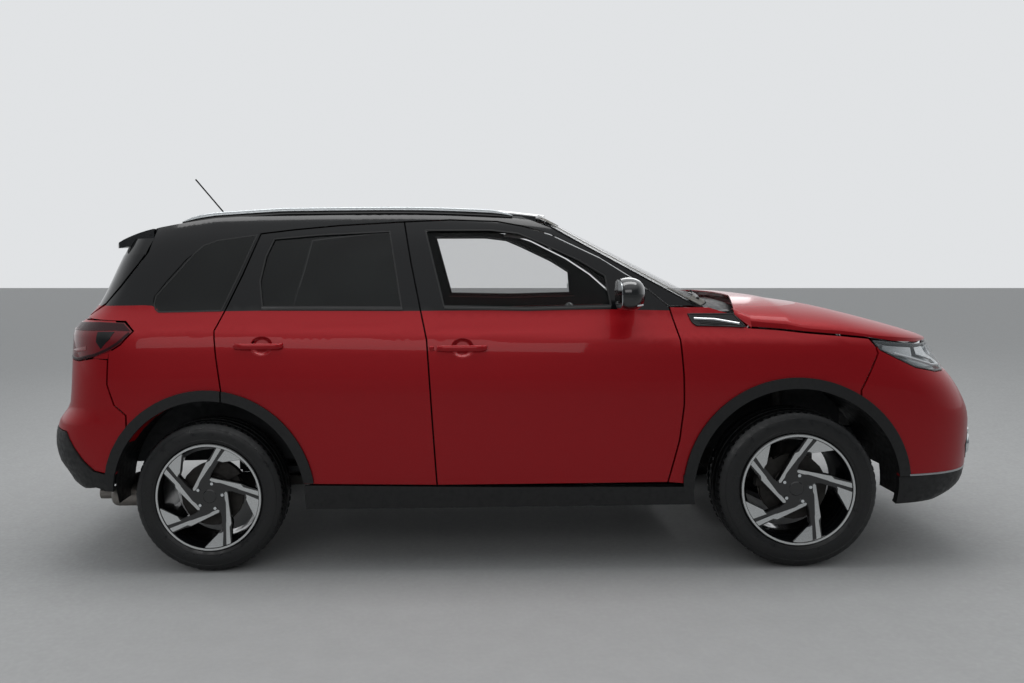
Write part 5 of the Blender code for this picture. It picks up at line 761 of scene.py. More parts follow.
def params_end(end):
    """(distance round the plan curve from the centre line, height) of points near one end of the
    car."""
    ahead = end > X_MIDDLE
    middle = X_PLAN_FRONT if ahead else X_PLAN_REAR

    def params(points):
        beyond = (points[:, 0] - middle) * (1 if ahead else -1)
        angle = np.arctan2(np.maximum(beyond, 0), np.abs(points[:, 1])) * PLAN_CORNER_RADIUS
        girth = np.where(beyond > 0, QUARTER_TURN * PLAN_CORNER_RADIUS - angle,
            QUARTER_TURN * PLAN_CORNER_RADIUS - beyond)
        return np.stack([np.where(points[:, 1] < 0, -1, 1) * girth, points[:, 2]], axis=1)

    return params


NORMAL_STEP = 0.0006


def normals_on(surface, where):
    """Outward unit normals of a surface at its own coordinates."""
    step = NORMAL_STEP
    along = surface(where + np.array([step, 0])) - surface(where - np.array([step, 0]))
    across = surface(where + np.array([0, step])) - surface(where - np.array([0, step]))
    normal = np.cross(along, across)
    normal /= np.maximum(np.linalg.norm(normal, axis=1, keepdims=True), 1e-12)
    outward = surface(where) - np.array([X_MIDDLE, 0, ROOF_HEIGHT / 2])
    return normal * np.where(np.sum(normal * outward, axis=1, keepdims=True) < 0, -1, 1)


def new_object(name, mesh, *materials):
    data = bpy.data.meshes.new(name)
    mesh.to_mesh(data)
    mesh.free()
    made = bpy.data.objects.new(name, data)
    bpy.context.scene.collection.objects.link(made)
    for material in materials:
        data.materials.append(material)
    return made


def body_of(node):
    """The body that a node of the CAD model moves with."""
    return NODES[node]["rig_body"]


MERGE = 1e-5
ON_SURFACE = 4e-4
REFINE_ROUNDS = 9
FACING_IN = -0.35


def panel(node, surface, params, outer, inner=None, longest=0.05, shaped=None, fine=None,
        trim=None, source=None):
    """A smooth copy of a panel: the face that lies on its surface is refined, and shaded with that
    surface's own normals."""
    shaped = shaped or surface
    mesh = source or bmesh.new()
    if not source:
        mesh.from_mesh(NODES[node].data)
    bmesh.ops.remove_doubles(mesh, verts=mesh.verts, dist=MERGE)
    bmesh.ops.triangulate(mesh, faces=mesh.faces)
    skin = mesh.faces.layers.int.new("skin")
    places = np.array([v.co for v in mesh.verts])
    lying = np.linalg.norm(surface(params(places)) - places, axis=1) < ON_SURFACE
    mesh.verts.index_update()
    mesh.normal_update()
    flat = [f for f in mesh.faces if all(lying[v.index] for v in f.verts)]
    centres = np.array([f.calc_center_median() for f in flat])
    outward = normals_on(surface, params(centres))
    for face, normal in zip(flat, outward):
        face[skin] = int(face.normal.dot(Vector(normal)) > 0.5)
    for _ in range(REFINE_ROUNDS):
        faces = [f for f in mesh.faces if f[skin]]
        edges = list({e for f in faces for e in f.edges})
        ends = np.array([[e.verts[0].co, e.verts[1].co] for e in edges])
        length = np.linalg.norm(ends[:, 0] - ends[:, 1], axis=1)
        most = np.full(len(edges), longest)
        if fine:
            most = fine(params(ends.mean(axis=1)), longest)
        split = [e for e, wide in zip(edges, length > most) if wide]
        if not split:
            break
        bmesh.ops.subdivide_edges(mesh, edges=split, cuts=1)
        bmesh.ops.triangulate(mesh, faces=[f for f in mesh.faces if len(f.verts) > 3])
        points = list({v for f in mesh.faces if f[skin] for v in f.verts})
        for vert, place in zip(points, surface(params(np.array([v.co for v in points])))):
            vert.co = place
    points = list({v for f in mesh.faces if f[skin] for v in f.verts})
    for vert, place in zip(points, shaped(params(np.array([v.co for v in points])))):
        vert.co = place
    bmesh.ops.triangulate(mesh, faces=[f for f in mesh.faces if len(f.verts) > 3])
    mesh.normal_update()
    mesh.faces.ensure_lookup_table()
    faces = list(mesh.faces)
    outside = np.array([bool(f[skin]) for f in faces])
    flat_normals = np.array([f.normal for f in faces])
    corners = np.array([[v.co for v in f.verts] for f in faces])
    normals = np.repeat(flat_normals[:, None], 3, axis=1)
    if outside.any():
        where = params(corners[outside].reshape(-1, 3))
        normals[outside] = normals_on(shaped, where).reshape(-1, 3, 3)
    centres = corners.mean(axis=1)
    outward = normals_on(surface, params(centres))
    for face, facing in zip(faces, np.sum(flat_normals * outward, axis=1)):
        face.material_index = int(inner is not None and facing < FACING_IN)
        face.smooth = True
    if trim:
        for face, inside in zip(faces, trim[1](centres)):
            if inside:
                face.material_index = 2
    materials = [outer] + ([inner] if inner else []) + ([trim[0]] if trim else [])
    made = new_object(node + "_skin", mesh, *materials)
    made.data.normals_split_custom_set(normals.reshape(-1, 3))
    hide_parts(node)
    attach(made, body_of(node))
    return made


SOFT_ANGLE = 35


def smooth_by_angle(made, degrees=SOFT_ANGLE):
    made.data.shade_smooth()
    made.data.set_sharp_from_angle(angle=math.radians(degrees))
    return made


def riding(body, angle, name, mesh, *materials):
    """A shaded piece that rides on a body; edges sharper than the angle stay sharp."""
    made = smooth_by_angle(new_object(name, mesh, *materials), angle)
    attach(made, body)
    return made


def raised(surface, by):
    """The surface moved out along its normals."""
    return lambda points: surface(points) + normals_on(surface, points) * by


def plate(name, surface, region, front, back, material, body="body", step=0.03):
    """A plate over a region of a surface, between two distances from it."""
    mesh = stepped_slab([region], raised(surface, front), [raised(surface, back)], step)
    bmesh.ops.recalc_face_normals(mesh, faces=mesh.faces)
    return riding(body, SOFT_ANGLE, name, mesh, material)


def strip(name, surface, path, width, proud, material, body="body", step=0.02):
    """A moulding of rounded section that follows a line on a surface."""
    path = np.array(path, float)
    lengths = np.concatenate([[0], np.cumsum(np.linalg.norm(np.diff(path, axis=0), axis=1))])
    where = np.linspace(0, lengths[-1], max(3, int(lengths[-1] / step) + 1))
    line = np.stack([np.interp(where, lengths, path[:, k]) for k in (0, 1)], axis=1)
    places, normals = surface(line), normals_on(surface, line)
    along = np.gradient(places, axis=0)
    along /= np.linalg.norm(along, axis=1, keepdims=True)
    across = np.cross(normals, along)
    section = ((-0.5, -0.001), (-0.47, proud * 0.7), (-0.3, proud), (0.3, proud),
        (0.47, proud * 0.7), (0.5, -0.001))
    mesh = bmesh.new()
    rings = [[mesh.verts.new(p + c * a * width + n * b) for a, b in section]
        for p, c, n in zip(places, across, normals)]
    loft(mesh, rings)
    return riding(body, 50, name, mesh, material)


def loft(mesh, rings, closed=False):
    """Skins rings of points into a closed body."""
    pairs = list(zip(rings, rings[1:])) + ([(rings[-1], rings[0])] if closed else [])
    count = len(rings[0])
    for here, there in pairs:
        for j in range(count):
            mesh.faces.new([here[j], here[(j + 1) % count], there[(j + 1) % count], there[j]])
    if not closed:
        mesh.faces.new(rings[0][::-1])
        mesh.faces.new(rings[-1])
    bmesh.ops.recalc_face_normals(mesh, faces=mesh.faces)


def block(name, low, high, bevel, material, body="body", turn=None):
    """A rounded block between two corners, turned about its own middle by (angle, axis)."""
    mesh = bmesh.new()
    bmesh.ops.create_cube(mesh, size=1)
    low, high = Vector(np.minimum(low, high)), Vector(np.maximum(low, high))
    bmesh.ops.scale(mesh, verts=mesh.verts, vec=high - low)
    bmesh.ops.bevel(mesh, geom=mesh.edges, offset=bevel, segments=3, affect="EDGES", profile=0.5)
    if turn:
        bmesh.ops.rotate(mesh, verts=mesh.verts,
            matrix=Matrix.Rotation(math.radians(turn[0]), 3, turn[1]))
    bmesh.ops.translate(mesh, verts=mesh.verts, vec=(low + high) / 2)
    return riding(body, SOFT_ANGLE, name, mesh, material)


def tube(name, points, radius, material, body="body"):
    """A round bar through the points."""
    curve = bpy.data.curves.new(name, "CURVE")
    curve.dimensions = "3D"
    curve.bevel_depth = radius
    curve.bevel_resolution = 2
    curve.use_fill_caps = True
    spline = curve.splines.new("NURBS")
    spline.points.add(len(points) - 1)
    for point, place in zip(spline.points, points):
        point.co = (*place, 1)
    spline.use_endpoint_u = True
    spline.order_u = 3
    curve.resolution_u = 8
    curve.materials.append(material)
    made = bpy.data.objects.new(name, curve)
    bpy.context.scene.collection.objects.link(made)
    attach(made, body)
    return made


def turned(mesh, profile, segments, index=0):
    """Adds a body turned about the y axis from (radius, y) points."""
    rings = []
    for i in range(segments):
        a = 2 * math.pi * i / segments
        rings.append([mesh.verts.new((r * math.cos(a), y, r * math.sin(a))) for r, y in profile])
    before = set(mesh.faces)
    loft(mesh, rings, closed=True)
    for face in mesh.faces:
        if face not in before:
            face.material_index = index


def extruded(mesh, outline, front, back, index, bevel=0.0):
    """Adds a plate over an (x, z) outline, from the front to the back height in y, either of which
    may follow the radius."""
    front_at = front if callable(front) else lambda r: front
    back_at = back if callable(back) else lambda r: back
    near = [mesh.verts.new((x, front_at(math.hypot(x, z)), z)) for x, z in outline]
    far = [mesh.verts.new((x, back_at(math.hypot(x, z)), z)) for x, z in outline]
    count = len(outline)
    made = [mesh.faces.new(near), mesh.faces.new(far[::-1])]
    for j in range(count):
        made.append(mesh.faces.new([near[j], far[j], far[(j + 1) % count], near[(j + 1) % count]]))
    for face in made:
        face.material_index = index
    bmesh.ops.recalc_face_normals(mesh, faces=made)
    if bevel:
        edges = [mesh.edges.get((near[j], near[(j + 1) % count])) for j in range(count)]
        bmesh.ops.bevel(mesh, geom=edges, offset=bevel, segments=2, affect="EDGES",
            clamp_overlap=True)


def arc_points(radius, first, last, count):
    angles = np.radians(np.linspace(first, last, count))
    return [(radius * math.cos(a), radius * math.sin(a)) for a in angles]


# Outer panels

def half_loop(shares, end):
    points = np.array(side_view(shares))
    return [(abs(end - g), z) for g, z in zip(girth_of(points[:, 0], points[:, 1]), points[:, 1])]


def face_view(shares):
    return [(y * HALF_WIDTH, z * ROOF_HEIGHT) for y, z in shares]


def both_sides(loop):
    return loop + [(-y, z) for y, z in loop[::-1]]


HEADLAMP_LOOP = (half_loop(HEADLAMP_TOP_SHARES, FRONT_END)
    + face_view(HEADLAMP_FACE_SHARES)[::-1] + half_loop(HEADLAMP_FOOT_SHARES, FRONT_END))
TAIL_LAMP_LOOP = (half_loop(TAIL_LAMP_TOP_SHARES, REAR_END)
    + face_view(TAIL_LAMP_FACE_SHARES) + half_loop(TAIL_LAMP_FOOT_SHARES, REAR_END))
CLADDING_PROUD = 0.010
ARCH_RADIUS = TYRE_RADIUS + ARCH_GAP
ARCH_TRIM_WIDTH = 0.046
HANDLES = {"rear": (-1.030, 0.983, -1.017), "front": (-0.156, 0.955, -0.153)}
CUP = (0.050, 0.042, 0.013)


def cup_depth(points, which):
    """Depth of the finger cup behind a door handle."""
    x, z = HANDLES[which][2], HANDLES[which][1]
    far = ((points[:, 0] - x) / CUP[0]) ** 2 + ((points[:, 1] - z) / CUP[1]) ** 2
    share = np.clip((1 - far) * 1.5, 0, 1)
    return CUP[2] * share * share * (3 - 2 * share)


def near_cup(which):
    def fine(where, longest):
        x, z = HANDLES[which][2], HANDLES[which][1]
        far = ((where[:, 0] - x) / (CUP[0] * 1.7)) ** 2 + ((where[:, 1] - z) / (CUP[1] * 1.8)) ** 2
        return np.where(far < 1, 0.004, longest)
    return fine


def with_cup(side, which):
    plain = body_side(side)

    def surface(points):
        place = plain(points)
        place[:, 1] -= side * cup_depth(points, which)
        return place
    return surface


def in_rear_trim(places):
    """Whether a point of a rear door lies on the wheel arch trim that it carries."""
    far = np.hypot(places[:, 0] - X_REAR_AXLE, places[:, 2] - TYRE_RADIUS)
    proud = np.abs(places[:, 1]) - half_width(places[:, 0], places[:, 2])
    return (far < ARCH_RADIUS + ARCH_TRIM_WIDTH + 0.003) & ((proud > 0.0012)
        | (far < ARCH_RADIUS + 0.010))


front_params, rear_params = params_end(FRONT_END), params_end(REAR_END)
front_end, rear_end = wrapped(FRONT_END), wrapped(REAR_END)
for side, side_name in SIDES:
    flank = body_side(side)
    for which, trim in (("front", None), ("rear", (PLASTIC, in_rear_trim))):
        panel(f"{which}_door_{side_name}", flank, params_flank, RED, TRIM_GREY, 0.045,
            with_cup(side, which), near_cup(which), trim)
    panel(f"body_side_{side_name}", flank, params_flank, RED, TRIM_GREY, 0.045)
    panel(f"front_fender_{side_name}", flank, params_flank, SOLID_RED, SOLID_RED, 0.045)
    panel(f"side_cladding_{side_name}", body_side(side, CLADDING_PROUD), params_flank, PLASTIC,
        STEEL, 0.06)
    inset_glass = inwards(flank, SKIN_DEPTH + GLASS_GAP / 2, (0, -side, 0))
    panel(f"front_door_glass_{side_name}", inset_glass, params_flank, CLEAR_GLASS, None, 0.08)
    panel(f"rear_door_glass_{side_name}", inset_glass, params_flank, PRIVACY_GLASS, None, 0.08)
panel("roof_panel", roof_surface, params_top, BLACK_PAINT, HEADLINER, 0.06)
panel("windshield", windshield_surface, params_screen, SCREEN_GLASS, None, 0.08)
panel("front_bumper", front_end, front_params, SOLID_RED, STEEL, 0.045)
panel("front_skirt", front_end, front_params, PLASTIC, STEEL, 0.05)
panel("rear_bumper", rear_end, rear_params, SOLID_RED, STEEL, 0.045)
panel("rear_skirt", wrapped(REAR_END, CLADDING_PROUD), rear_params, PLASTIC, STEEL, 0.05)
panel("tailgate", rear_end, rear_params, RED, TRIM_GREY, 0.045)

# CAD pieces whose form is kept
KEPT = {
    PLASTIC: ("cowl_panel", "front_liner_left", "front_liner_right"),
    DASH: ("dashboard",),
    IRON: ("engine_block", "rear_axle", "knuckle_left", "knuckle_right"),
    STEEL: ("front_subframe", "body_frame", "front_structure", "rear_structure"),
    GLOSS_PLASTIC: ("upper_grille", "antenna"),
    PRIVACY_GLASS: ("tailgate_glass", "quarter_glass_left", "quarter_glass_right"),
    SEAT_CLOTH: ("front_seat_left", "front_seat_right", "rear_bench"),
    SEAT_SIDE: ("steering_wheel",),
    LENS: ("headlamp_left", "headlamp_right"),
    RED_LENS: ("tail_lamp_left", "tail_lamp_right"),
}
for material, kept in KEPT.items():
    for name in kept:
        NODES[name].data.materials.clear()
        NODES[name].data.materials.append(material)

# Wheels and tyres

FACE = -0.082
SEGMENTS = 96


def wheel_mesh():
    """Barrel and lips, five black swirled spokes with cut blades and rim wedges, nuts and a bare
    cap; its outer face is at -y."""
    mesh = bmesh.new()
    seat, bead = 0.0882, RIM_RADIUS - 0.018
    outer = seat + 0.016
    turned(mesh, [(bead, -seat), (bead, seat), (RIM_RADIUS, seat + 0.004), (RIM_RADIUS, outer),
        (bead - 0.010, outer - 0.002), (bead - 0.012, 0.03), (bead - 0.014, -0.06),
        (0.2195, -outer + 0.006), (0.2215, -outer + 0.002), (RIM_RADIUS - 0.0045, -outer),
        (RIM_RADIUS, -outer + 0.004), (RIM_RADIUS, -seat - 0.003)], SEGMENTS, 0)
    turned(mesh, [(0.2235, -outer), (RIM_RADIUS - 0.003, -outer - 0.0003),
        (RIM_RADIUS - 0.003, -outer + 0.002), (0.2235, -outer + 0.002)], SEGMENTS, 1)
    turned(mesh, [(0.036, -0.040), (0.074, -0.040), (0.070, FACE + 0.010), (0.060, FACE + 0.004),
        (0.036, FACE + 0.004)], 48, 0)
    turned(mesh, [(0.0, FACE - 0.002), (0.027, FACE - 0.002), (0.030, FACE + 0.001),
        (0.0302, FACE + 0.012), (0.0, FACE + 0.012)], 40, 0)

    def slope(lift):
        return lambda r: FACE - lift - 0.018 * min(max((r - 0.08) / 0.145, 0), 1) ** 1.3

    def depth(r):
        return FACE + 0.030 - 0.030 * min(max((r - 0.14) / 0.09, 0), 1)

    base = [(0.030, 0.045), (0.060, 0.036), (0.0815, 0.018), (0.084, -0.020), (0.097, -0.118),
        (0.094, -0.150), (0.0965, -0.203)]
    base += arc_points(0.2255, -66, -98, 9) + [(0.033, -0.163), (0.052, -0.150), (0.050, -0.090),
        (0.040, -0.055), (0.0, -0.050)]
    blade = [(0.0655, 0.0146), (0.0725, 0.0215), (0.0800, 0.0146), (0.0950, -0.1187),
        (0.0866, -0.1333), (0.0925, -0.2060)]
    blade += arc_points(0.2262, -66.5, -71.5, 3) + [(0.0691, -0.0916)]
    wedge = arc_points(0.2262, -75.5, -97.5, 7) + [(0.0360, -0.1603), (0.0520, -0.1560),
        (0.0590, -0.1500)]
    for i in range(5):
        spin = Matrix.Rotation(math.radians(72 * i), 2)
        place = lambda points: [tuple(spin @ Vector(p)) for p in points]
        extruded(mesh, place(base), slope(-0.0015), depth, 0, 0.002)
        extruded(mesh, place(blade), slope(0.0005), slope(-0.006), 1, 0.0008)
        extruded(mesh, place(wedge), slope(0.0005), slope(-0.006), 1, 0.0008)
        a = math.radians(72 * i + 78)
        nut = [(0.057 * math.cos(a) + 0.0095 * math.cos(b),
            0.057 * math.sin(a) + 0.0095 * math.sin(b)) for b in np.radians(range(0, 360, 60))]
        extruded(mesh, nut, FACE - 0.004, FACE + 0.010, 2, 0.002)
    return mesh


TREAD_BLOCKS = 66
SHOULDER_RADIUS, SHOULDER_Y = 0.3225, 0.0615


def tyre_mesh():
    """Tyre with ribbed sidewalls, rounded shoulders, four grooves round it and cut shoulder
    blocks."""
    side = [(0.2170, 0.0858), (0.2330, 0.0890), (0.2362, 0.0945), (0.2385, 0.0982),
        (0.2440, 0.1012), (0.2500, 0.1034), (0.2508, 0.1046), (0.2530, 0.1050), (0.2542, 0.1046),
        (0.2620, 0.1068), (0.2700, 0.1075), (0.2800, 0.1070), (0.2900, 0.1054), (0.2960, 0.1038),
        (0.2968, 0.1044), (0.2990, 0.1036), (0.3000, 0.1022), (0.3080, 0.0988), (0.3150, 0.0948),
        (0.3200, 0.0905), (0.3240, 0.0855), (0.3265, 0.0795), (0.3278, 0.0720)]
    crown = []
    for y in (0.064, 0.0585, 0.0580, 0.0500, 0.0495, 0.040, 0.0265, 0.0260, 0.0180, 0.0175, 0.006):
        groove = 0.0075 if 0.0495 < y < 0.0583 or 0.0178 < y < 0.0262 else 0
        crown.append((TYRE_RADIUS - 0.9 * y * y / TYRE_WIDTH * 0.5 - groove, y))
    half = side + crown
    profile = half + [(r, -y) for r, y in half[::-1]]
    count = TREAD_BLOCKS * 4
    mesh = bmesh.new()
    rings = []
    for i in range(count):
        ring = []
        for r, y in profile:
            phase = (i + (2 if y > 0 else 0)) % 4
            cut = 0.0
            if r > SHOULDER_RADIUS and abs(y) > SHOULDER_Y and phase == 3:
                cut = 0.006
            if 0.028 < abs(y) < 0.049 and (i + int(abs(y) * 300)) % 8 == 3:
                cut = 0.004
            a = 2 * math.pi * (i + abs(y) * 22) / count
            ring.append(mesh.verts.new(((r - cut) * math.cos(a), y, (r - cut) * math.sin(a))))
        rings.append(ring)
    loft(mesh, rings, closed=True)
    return mesh


wheel = new_object("wheel_model", wheel_mesh(), ALLOY_BLACK, MACHINED, CHROME)
tyre = new_object("tyre_model", tyre_mesh(), TYRE_SIDE)
for axle, x, track in (("front", X_FRONT_AXLE, FRONT_TRACK), ("rear", X_REAR_AXLE, REAR_TRACK)):
    for side, side_name in SIDES:
        turn = Matrix.Rotation(math.pi if side == LEFT else 0, 4, "Z")
        centre = Vector((x, side * track / 2, TYRE_RADIUS))
        for model, stem, angle in ((wheel, "wheel", 33), (tyre, "tyre", 28)):
            node = f"{stem}_{axle}_{side_name}"
            data = model.data.copy()
            data.transform(Matrix.Translation(centre) @ turn)
            made = bpy.data.objects.new(f"{node}_fine", data)
            bpy.context.scene.collection.objects.link(made)
            smooth_by_angle(made, angle)
            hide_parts(node)
            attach(made, body_of(node))
for model in (wheel, tyre):
    bpy.data.objects.remove(model)


# Mirrors

MIRROR_CENTRE = (0.536, 0.910, 1.1660)
MIRROR_HALF = (0.0677, 0.0945, 0.0695)
MIRROR_LAMP_LEVEL = -0.62
for side, side_name in SIDES:
    door_body = body_of(f"front_door_{side_name}")
    mesh = bmesh.new()
    bmesh.ops.create_uvsphere(mesh, u_segments=56, v_segments=36, radius=1)
    centre = Vector((MIRROR_CENTRE[0], side * MIRROR_CENTRE[1], MIRROR_CENTRE[2]))
    for vert in mesh.verts:
        x, y, z = vert.co
        y, z = math.copysign(abs(y) ** 0.72, y), math.copysign(abs(z) ** 0.78, z)
        x = max(math.copysign(abs(x) ** 0.9, x), -0.55)
        vert.co = Vector((x * MIRROR_HALF[0] * (1 - 0.10 * y * side), y * MIRROR_HALF[1],
            z * (MIRROR_HALF[2] - 0.006 * y * side))) + centre
    head = riding(door_body, 40, f"mirror_head_{side_name}", mesh, BLACK_PAINT)
    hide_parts(f"mirror_{side_name}")
    mesh = bmesh.new()
    outline = [(math.copysign(abs(math.cos(a)) ** 0.6, math.cos(a)) * 0.082,
        math.copysign(abs(math.sin(a)) ** 0.7, math.sin(a)) * 0.056)
        for a in np.linspace(0, 2 * math.pi, 40, endpoint=False)]
    near = [mesh.verts.new((centre.x - 0.0376, centre.y + y, centre.z + z)) for y, z in outline]
    far = [mesh.verts.new((centre.x - 0.0350, centre.y + y, centre.z + z)) for y, z in outline]
    loft(mesh, [near, far])
    riding(door_body, SOFT_ANGLE, f"mirror_glass_{side_name}", mesh, CHROME)
    lamp = []
    for a in np.radians(np.linspace(-62, 66, 14)):
        y = math.copysign(abs(math.sin(a)) ** 0.72, math.sin(a))
        flat = math.sqrt(1 - MIRROR_LAMP_LEVEL**2)
        lamp.append((centre.x + math.cos(a) * flat * MIRROR_HALF[0] + 0.0015,
            centre.y + side * y * MIRROR_HALF[1] * 0.84,
            centre.z + MIRROR_LAMP_LEVEL * MIRROR_HALF[2]))
    tube(f"mirror_lamp_{side_name}", lamp, 0.0042, LAMP_WHITE, door_body)
    block(f"mirror_foot_{side_name}", (0.530, side * 0.800, 1.108), (0.600, side * 0.862, 1.150),
        0.012, GLOSS_PLASTIC, door_body)
    block(f"mirror_neck_{side_name}", (0.535, side * 0.845, 1.118), (0.585, side * 0.905, 1.140),
        0.009, GLOSS_PLASTIC, door_body)

# Roof rails and spoiler


def loft_rings(name, rings, material, body="body", angle=50):
    mesh = bmesh.new()
    loft(mesh, [[mesh.verts.new(p) for p in ring] for ring in rings])
    return riding(body, angle, name, mesh, material)


RAIL_FEET = (-1.4365, 0.0900)


def rail_ground(x, y):
    return roof_surface(np.array([[x, y]]))[0, 2]


for side, side_name in SIDES:
    # Each rail is split in two: the gloss black lower part is painted shadow on the rail's lower
    # side, under the satin silver bar
    for part, low, high, half, material in (("base", -0.004, 0.010, 0.010, GLOSS_PLASTIC),
            ("bar", 0.010, 0.0255, 0.0115, SATIN)):
        rings = []
        for x in np.linspace(RAIL_FEET[0] + 0.004, RAIL_FEET[1] - 0.004, 70):
            rise = min(x - RAIL_FEET[0], RAIL_FEET[1] - x) / 0.110
            share = min(1, 0.18 + 0.82 * math.sin(min(rise, 1) * QUARTER_TURN))
            y = side * 0.570
            ground = rail_ground(x, y)
            bottom, top = ground + (low * share if low > 0 else low), ground + high * share
            section = ((-1, 0), (1, 0), (1, 0.6), (0.7, 0.9), (0, 1), (-0.7, 0.9), (-1, 0.6))
            rings.append([(x, y + across * half, bottom + up * (top - bottom))
                for across, up in section])
        made = loft_rings(f"roof_rail_{part}_{side_name}", rings, material, "body", 60)
        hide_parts(f"roof_rail_{side_name}")


SPOILER_BEND, SPOILER_TIP = -1.575, -1.775


def spoiler_top(points):
    place = roof_surface(points)
    beyond = np.maximum(SPOILER_BEND - points[:, 0], 0)
    place[:, 2] -= 0.42 * beyond ** 2 * (1 + 0.6 * (points[:, 1] / 0.55) ** 2)
    return place


def spoiler_under(points):
    place = spoiler_top(points)
    beyond = np.clip((SPOILER_BEND - points[:, 0]) / (SPOILER_BEND - SPOILER_TIP), 0, 1)
    place[:, 2] -= 0.012 + 0.062 * (1 - beyond) ** 0.7
    return place


def rounded_loop(half, front, tip, corner):
    points = [(front, half), (tip + 0.055, half)]
    points += [(tip + corner * (1 - math.sin(a)) * 0.9, half - corner * 1.9 * (1 - math.cos(a)))
        for a in np.radians((25, 45, 65, 85))]
    return points + [(x, -y) for x, y in points[::-1]]


mesh = stepped_slab([polygon(rounded_loop(0.556, -1.5765, SPOILER_TIP, 0.050))], spoiler_top,
    [spoiler_under], 0.02)
made = riding("tailgate", 32, "roof_spoiler_fine", mesh, BLACK_PAINT)
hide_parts("roof_spoiler")
mesh = stepped_slab([polygon([(SPOILER_TIP + 0.045, 0.16), (SPOILER_TIP + 0.045, -0.16),
    (SPOILER_TIP + 0.057, -0.16), (SPOILER_TIP + 0.057, 0.16)])],
    lambda p: spoiler_under(p) - [0, 0, -0.002], [lambda p: spoiler_under(p) - [0, 0, 0.004]], 0.02)
riding("tailgate", 32, "high_brake_lamp", mesh, RED_GLOW)

# Doors: handles, a lock and window seals


def on_flank(side, x, z, out):
    half = float(half_width(np.array([x]), np.array([z]))[0])
    return Vector((x, side * (half + out), z))


for side, side_name in SIDES:
    flank = body_side(side)
    for which, (x, z, cup_x) in HANDLES.items():
        body = body_of(f"{which}_door_{side_name}")
        rings = []
        for t in np.linspace(-1, 1, 25):
            lift = 0.006 + 0.019 * (1 - abs(t) ** 6)
            half_z = 0.0125 * (1 - 0.25 * abs(t) ** 8)
            middle = on_flank(side, x + 0.105 * t, z - 0.002 * t, lift)
            section = ((-1, -0.55), (-0.6, -1), (0.6, -1), (1, -0.55), (1, 0.1), (0.75, 0.55),
                (-0.75, 0.55), (-1, 0.1))
            thick = 0.0075 if abs(t) < 0.93 else 0.0075 + 0.006 * (abs(t) - 0.93) / 0.07
            rings.append([middle + Vector((0, side * out * thick, up * half_z))
                for up, out in section])
        loft_rings(f"{which}_handle_{side_name}", rings, SOLID_RED, body)
        for end in (-1, 1):
            foot = on_flank(side, x + 0.098 * end, z, 0.006)
            block(f"{which}_handle_foot_{side_name}_{'ab'[end > 0]}",
                foot + Vector((-0.009, -0.010, -0.010)), foot + Vector((0.009, 0.010, 0.010)),
                0.004, SOLID_RED, body)
        if which == "front":
            lock = on_flank(side, x - 0.128, z + 0.001, 0.001)
            block(f"door_lock_{side_name}", lock + Vector((-0.010, -0.004, -0.010)),
                lock + Vector((0.010, 0.004, 0.010)), 0.0035, SOLID_RED, body)

WINDOW_LOOPS = {"front": side_view(FRONT_WINDOW_SHARES), "rear": side_view(REAR_WINDOW_SHARES),
    "quarter": side_view(QUARTER_WINDOW_SHARES)}


def closed_path(loop):
    return [tuple(p) for p in loop] + [tuple(loop[0])]


for side, side_name in SIDES:
    flank = body_side(side)
    for which, loop in list(WINDOW_LOOPS.items())[:2]:
        body = body_of(f"{which}_door_{side_name}")
        around = polygon(loop, 0.0) - polygon(loop, 0.007)
        plate(f"{which}_window_seal_{side_name}", flank, around, -0.0004, -0.0075, SEAL, body, 0.05)
    low_edge = WINDOW_LOOPS["front"][5:]
    strip(f"front_waist_seal_{side_name}", flank,
        [(low_edge[1][0] - 0.004, low_edge[1][1] - 0.006),
        (low_edge[2][0], low_edge[2][1] - 0.006),
        (low_edge[3][0] + 0.004, low_edge[3][1] - 0.006)], 0.013, 0.003, SEAL,
        body_of(f"front_door_{side_name}"))
    rear_low = WINDOW_LOOPS["rear"][3:6]
    strip(f"rear_waist_seal_{side_name}", flank, [(x, z - 0.006) for x, z in rear_low], 0.013,
        0.003, SEAL, body_of(f"rear_door_{side_name}"))

# Flush quarter panes, which reach the rear door's edge

FLUSH_QUARTER_SHARES = ((0.083, 0.934), (0.009, 0.921), (-0.05, 0.907), (-0.10, 0.884),
    (-0.20, 0.822), (-0.290, 0.768), (-0.297, 0.745), (-0.285, 0.728), (-0.262, 0.720),
    (0.027, 0.719), (0.054, 0.82))
for side, side_name in SIDES:
    pane_loop = turned_left(side_view(FLUSH_QUARTER_SHARES))
    around = polygon(pane_loop, 0.0) - polygon(pane_loop, 0.006)
    plate(f"quarter_pane_{side_name}", body_side(side), polygon(pane_loop, 0.0055), 0.0006,
        -0.0004, PRIVACY_GLASS, "body", 0.04)
    plate(f"quarter_window_seal_{side_name}", body_side(side), around, 0.0012, -0.0004, SEAL,
        "body", 0.05)

# Fender vents

VENT = [(0.8045, 1.073), (1.0015, 1.068), (1.0495, 1.007), (0.8355, 1.017), (0.8215, 1.030)]
VENT_BAR = [(0.832, 1.048), (0.920, 1.042), (1.018, 1.022)]
for side, side_name in SIDES:
    flank = body_side(side)
    plate(f"fender_vent_{side_name}", flank, polygon(VENT, 0.002), 0.0028, -0.001, GLOSS_PLASTIC)
    strip(f"fender_vent_rim_{side_name}", raised(flank, 0.0022),
        closed_path([tuple(p) for p in inset(turned_left(VENT), 0.004)]), 0.006, 0.003, PLASTIC)
    strip(f"fender_vent_bar_{side_name}", raised(flank, 0.0024), VENT_BAR, 0.011, 0.006, CHROME)
    for k in range(3):
        strip(f"fender_vent_slat_{side_name}_{k}", raised(flank, 0.0024),
            [(0.850 + 0.008 * k, 1.036 - 0.007 * k), (1.030 + 0.003 * k, 1.015 - 0.0035 * k)],
            0.003, 0.003, PLASTIC)


# Hood edges, cowl and wipers

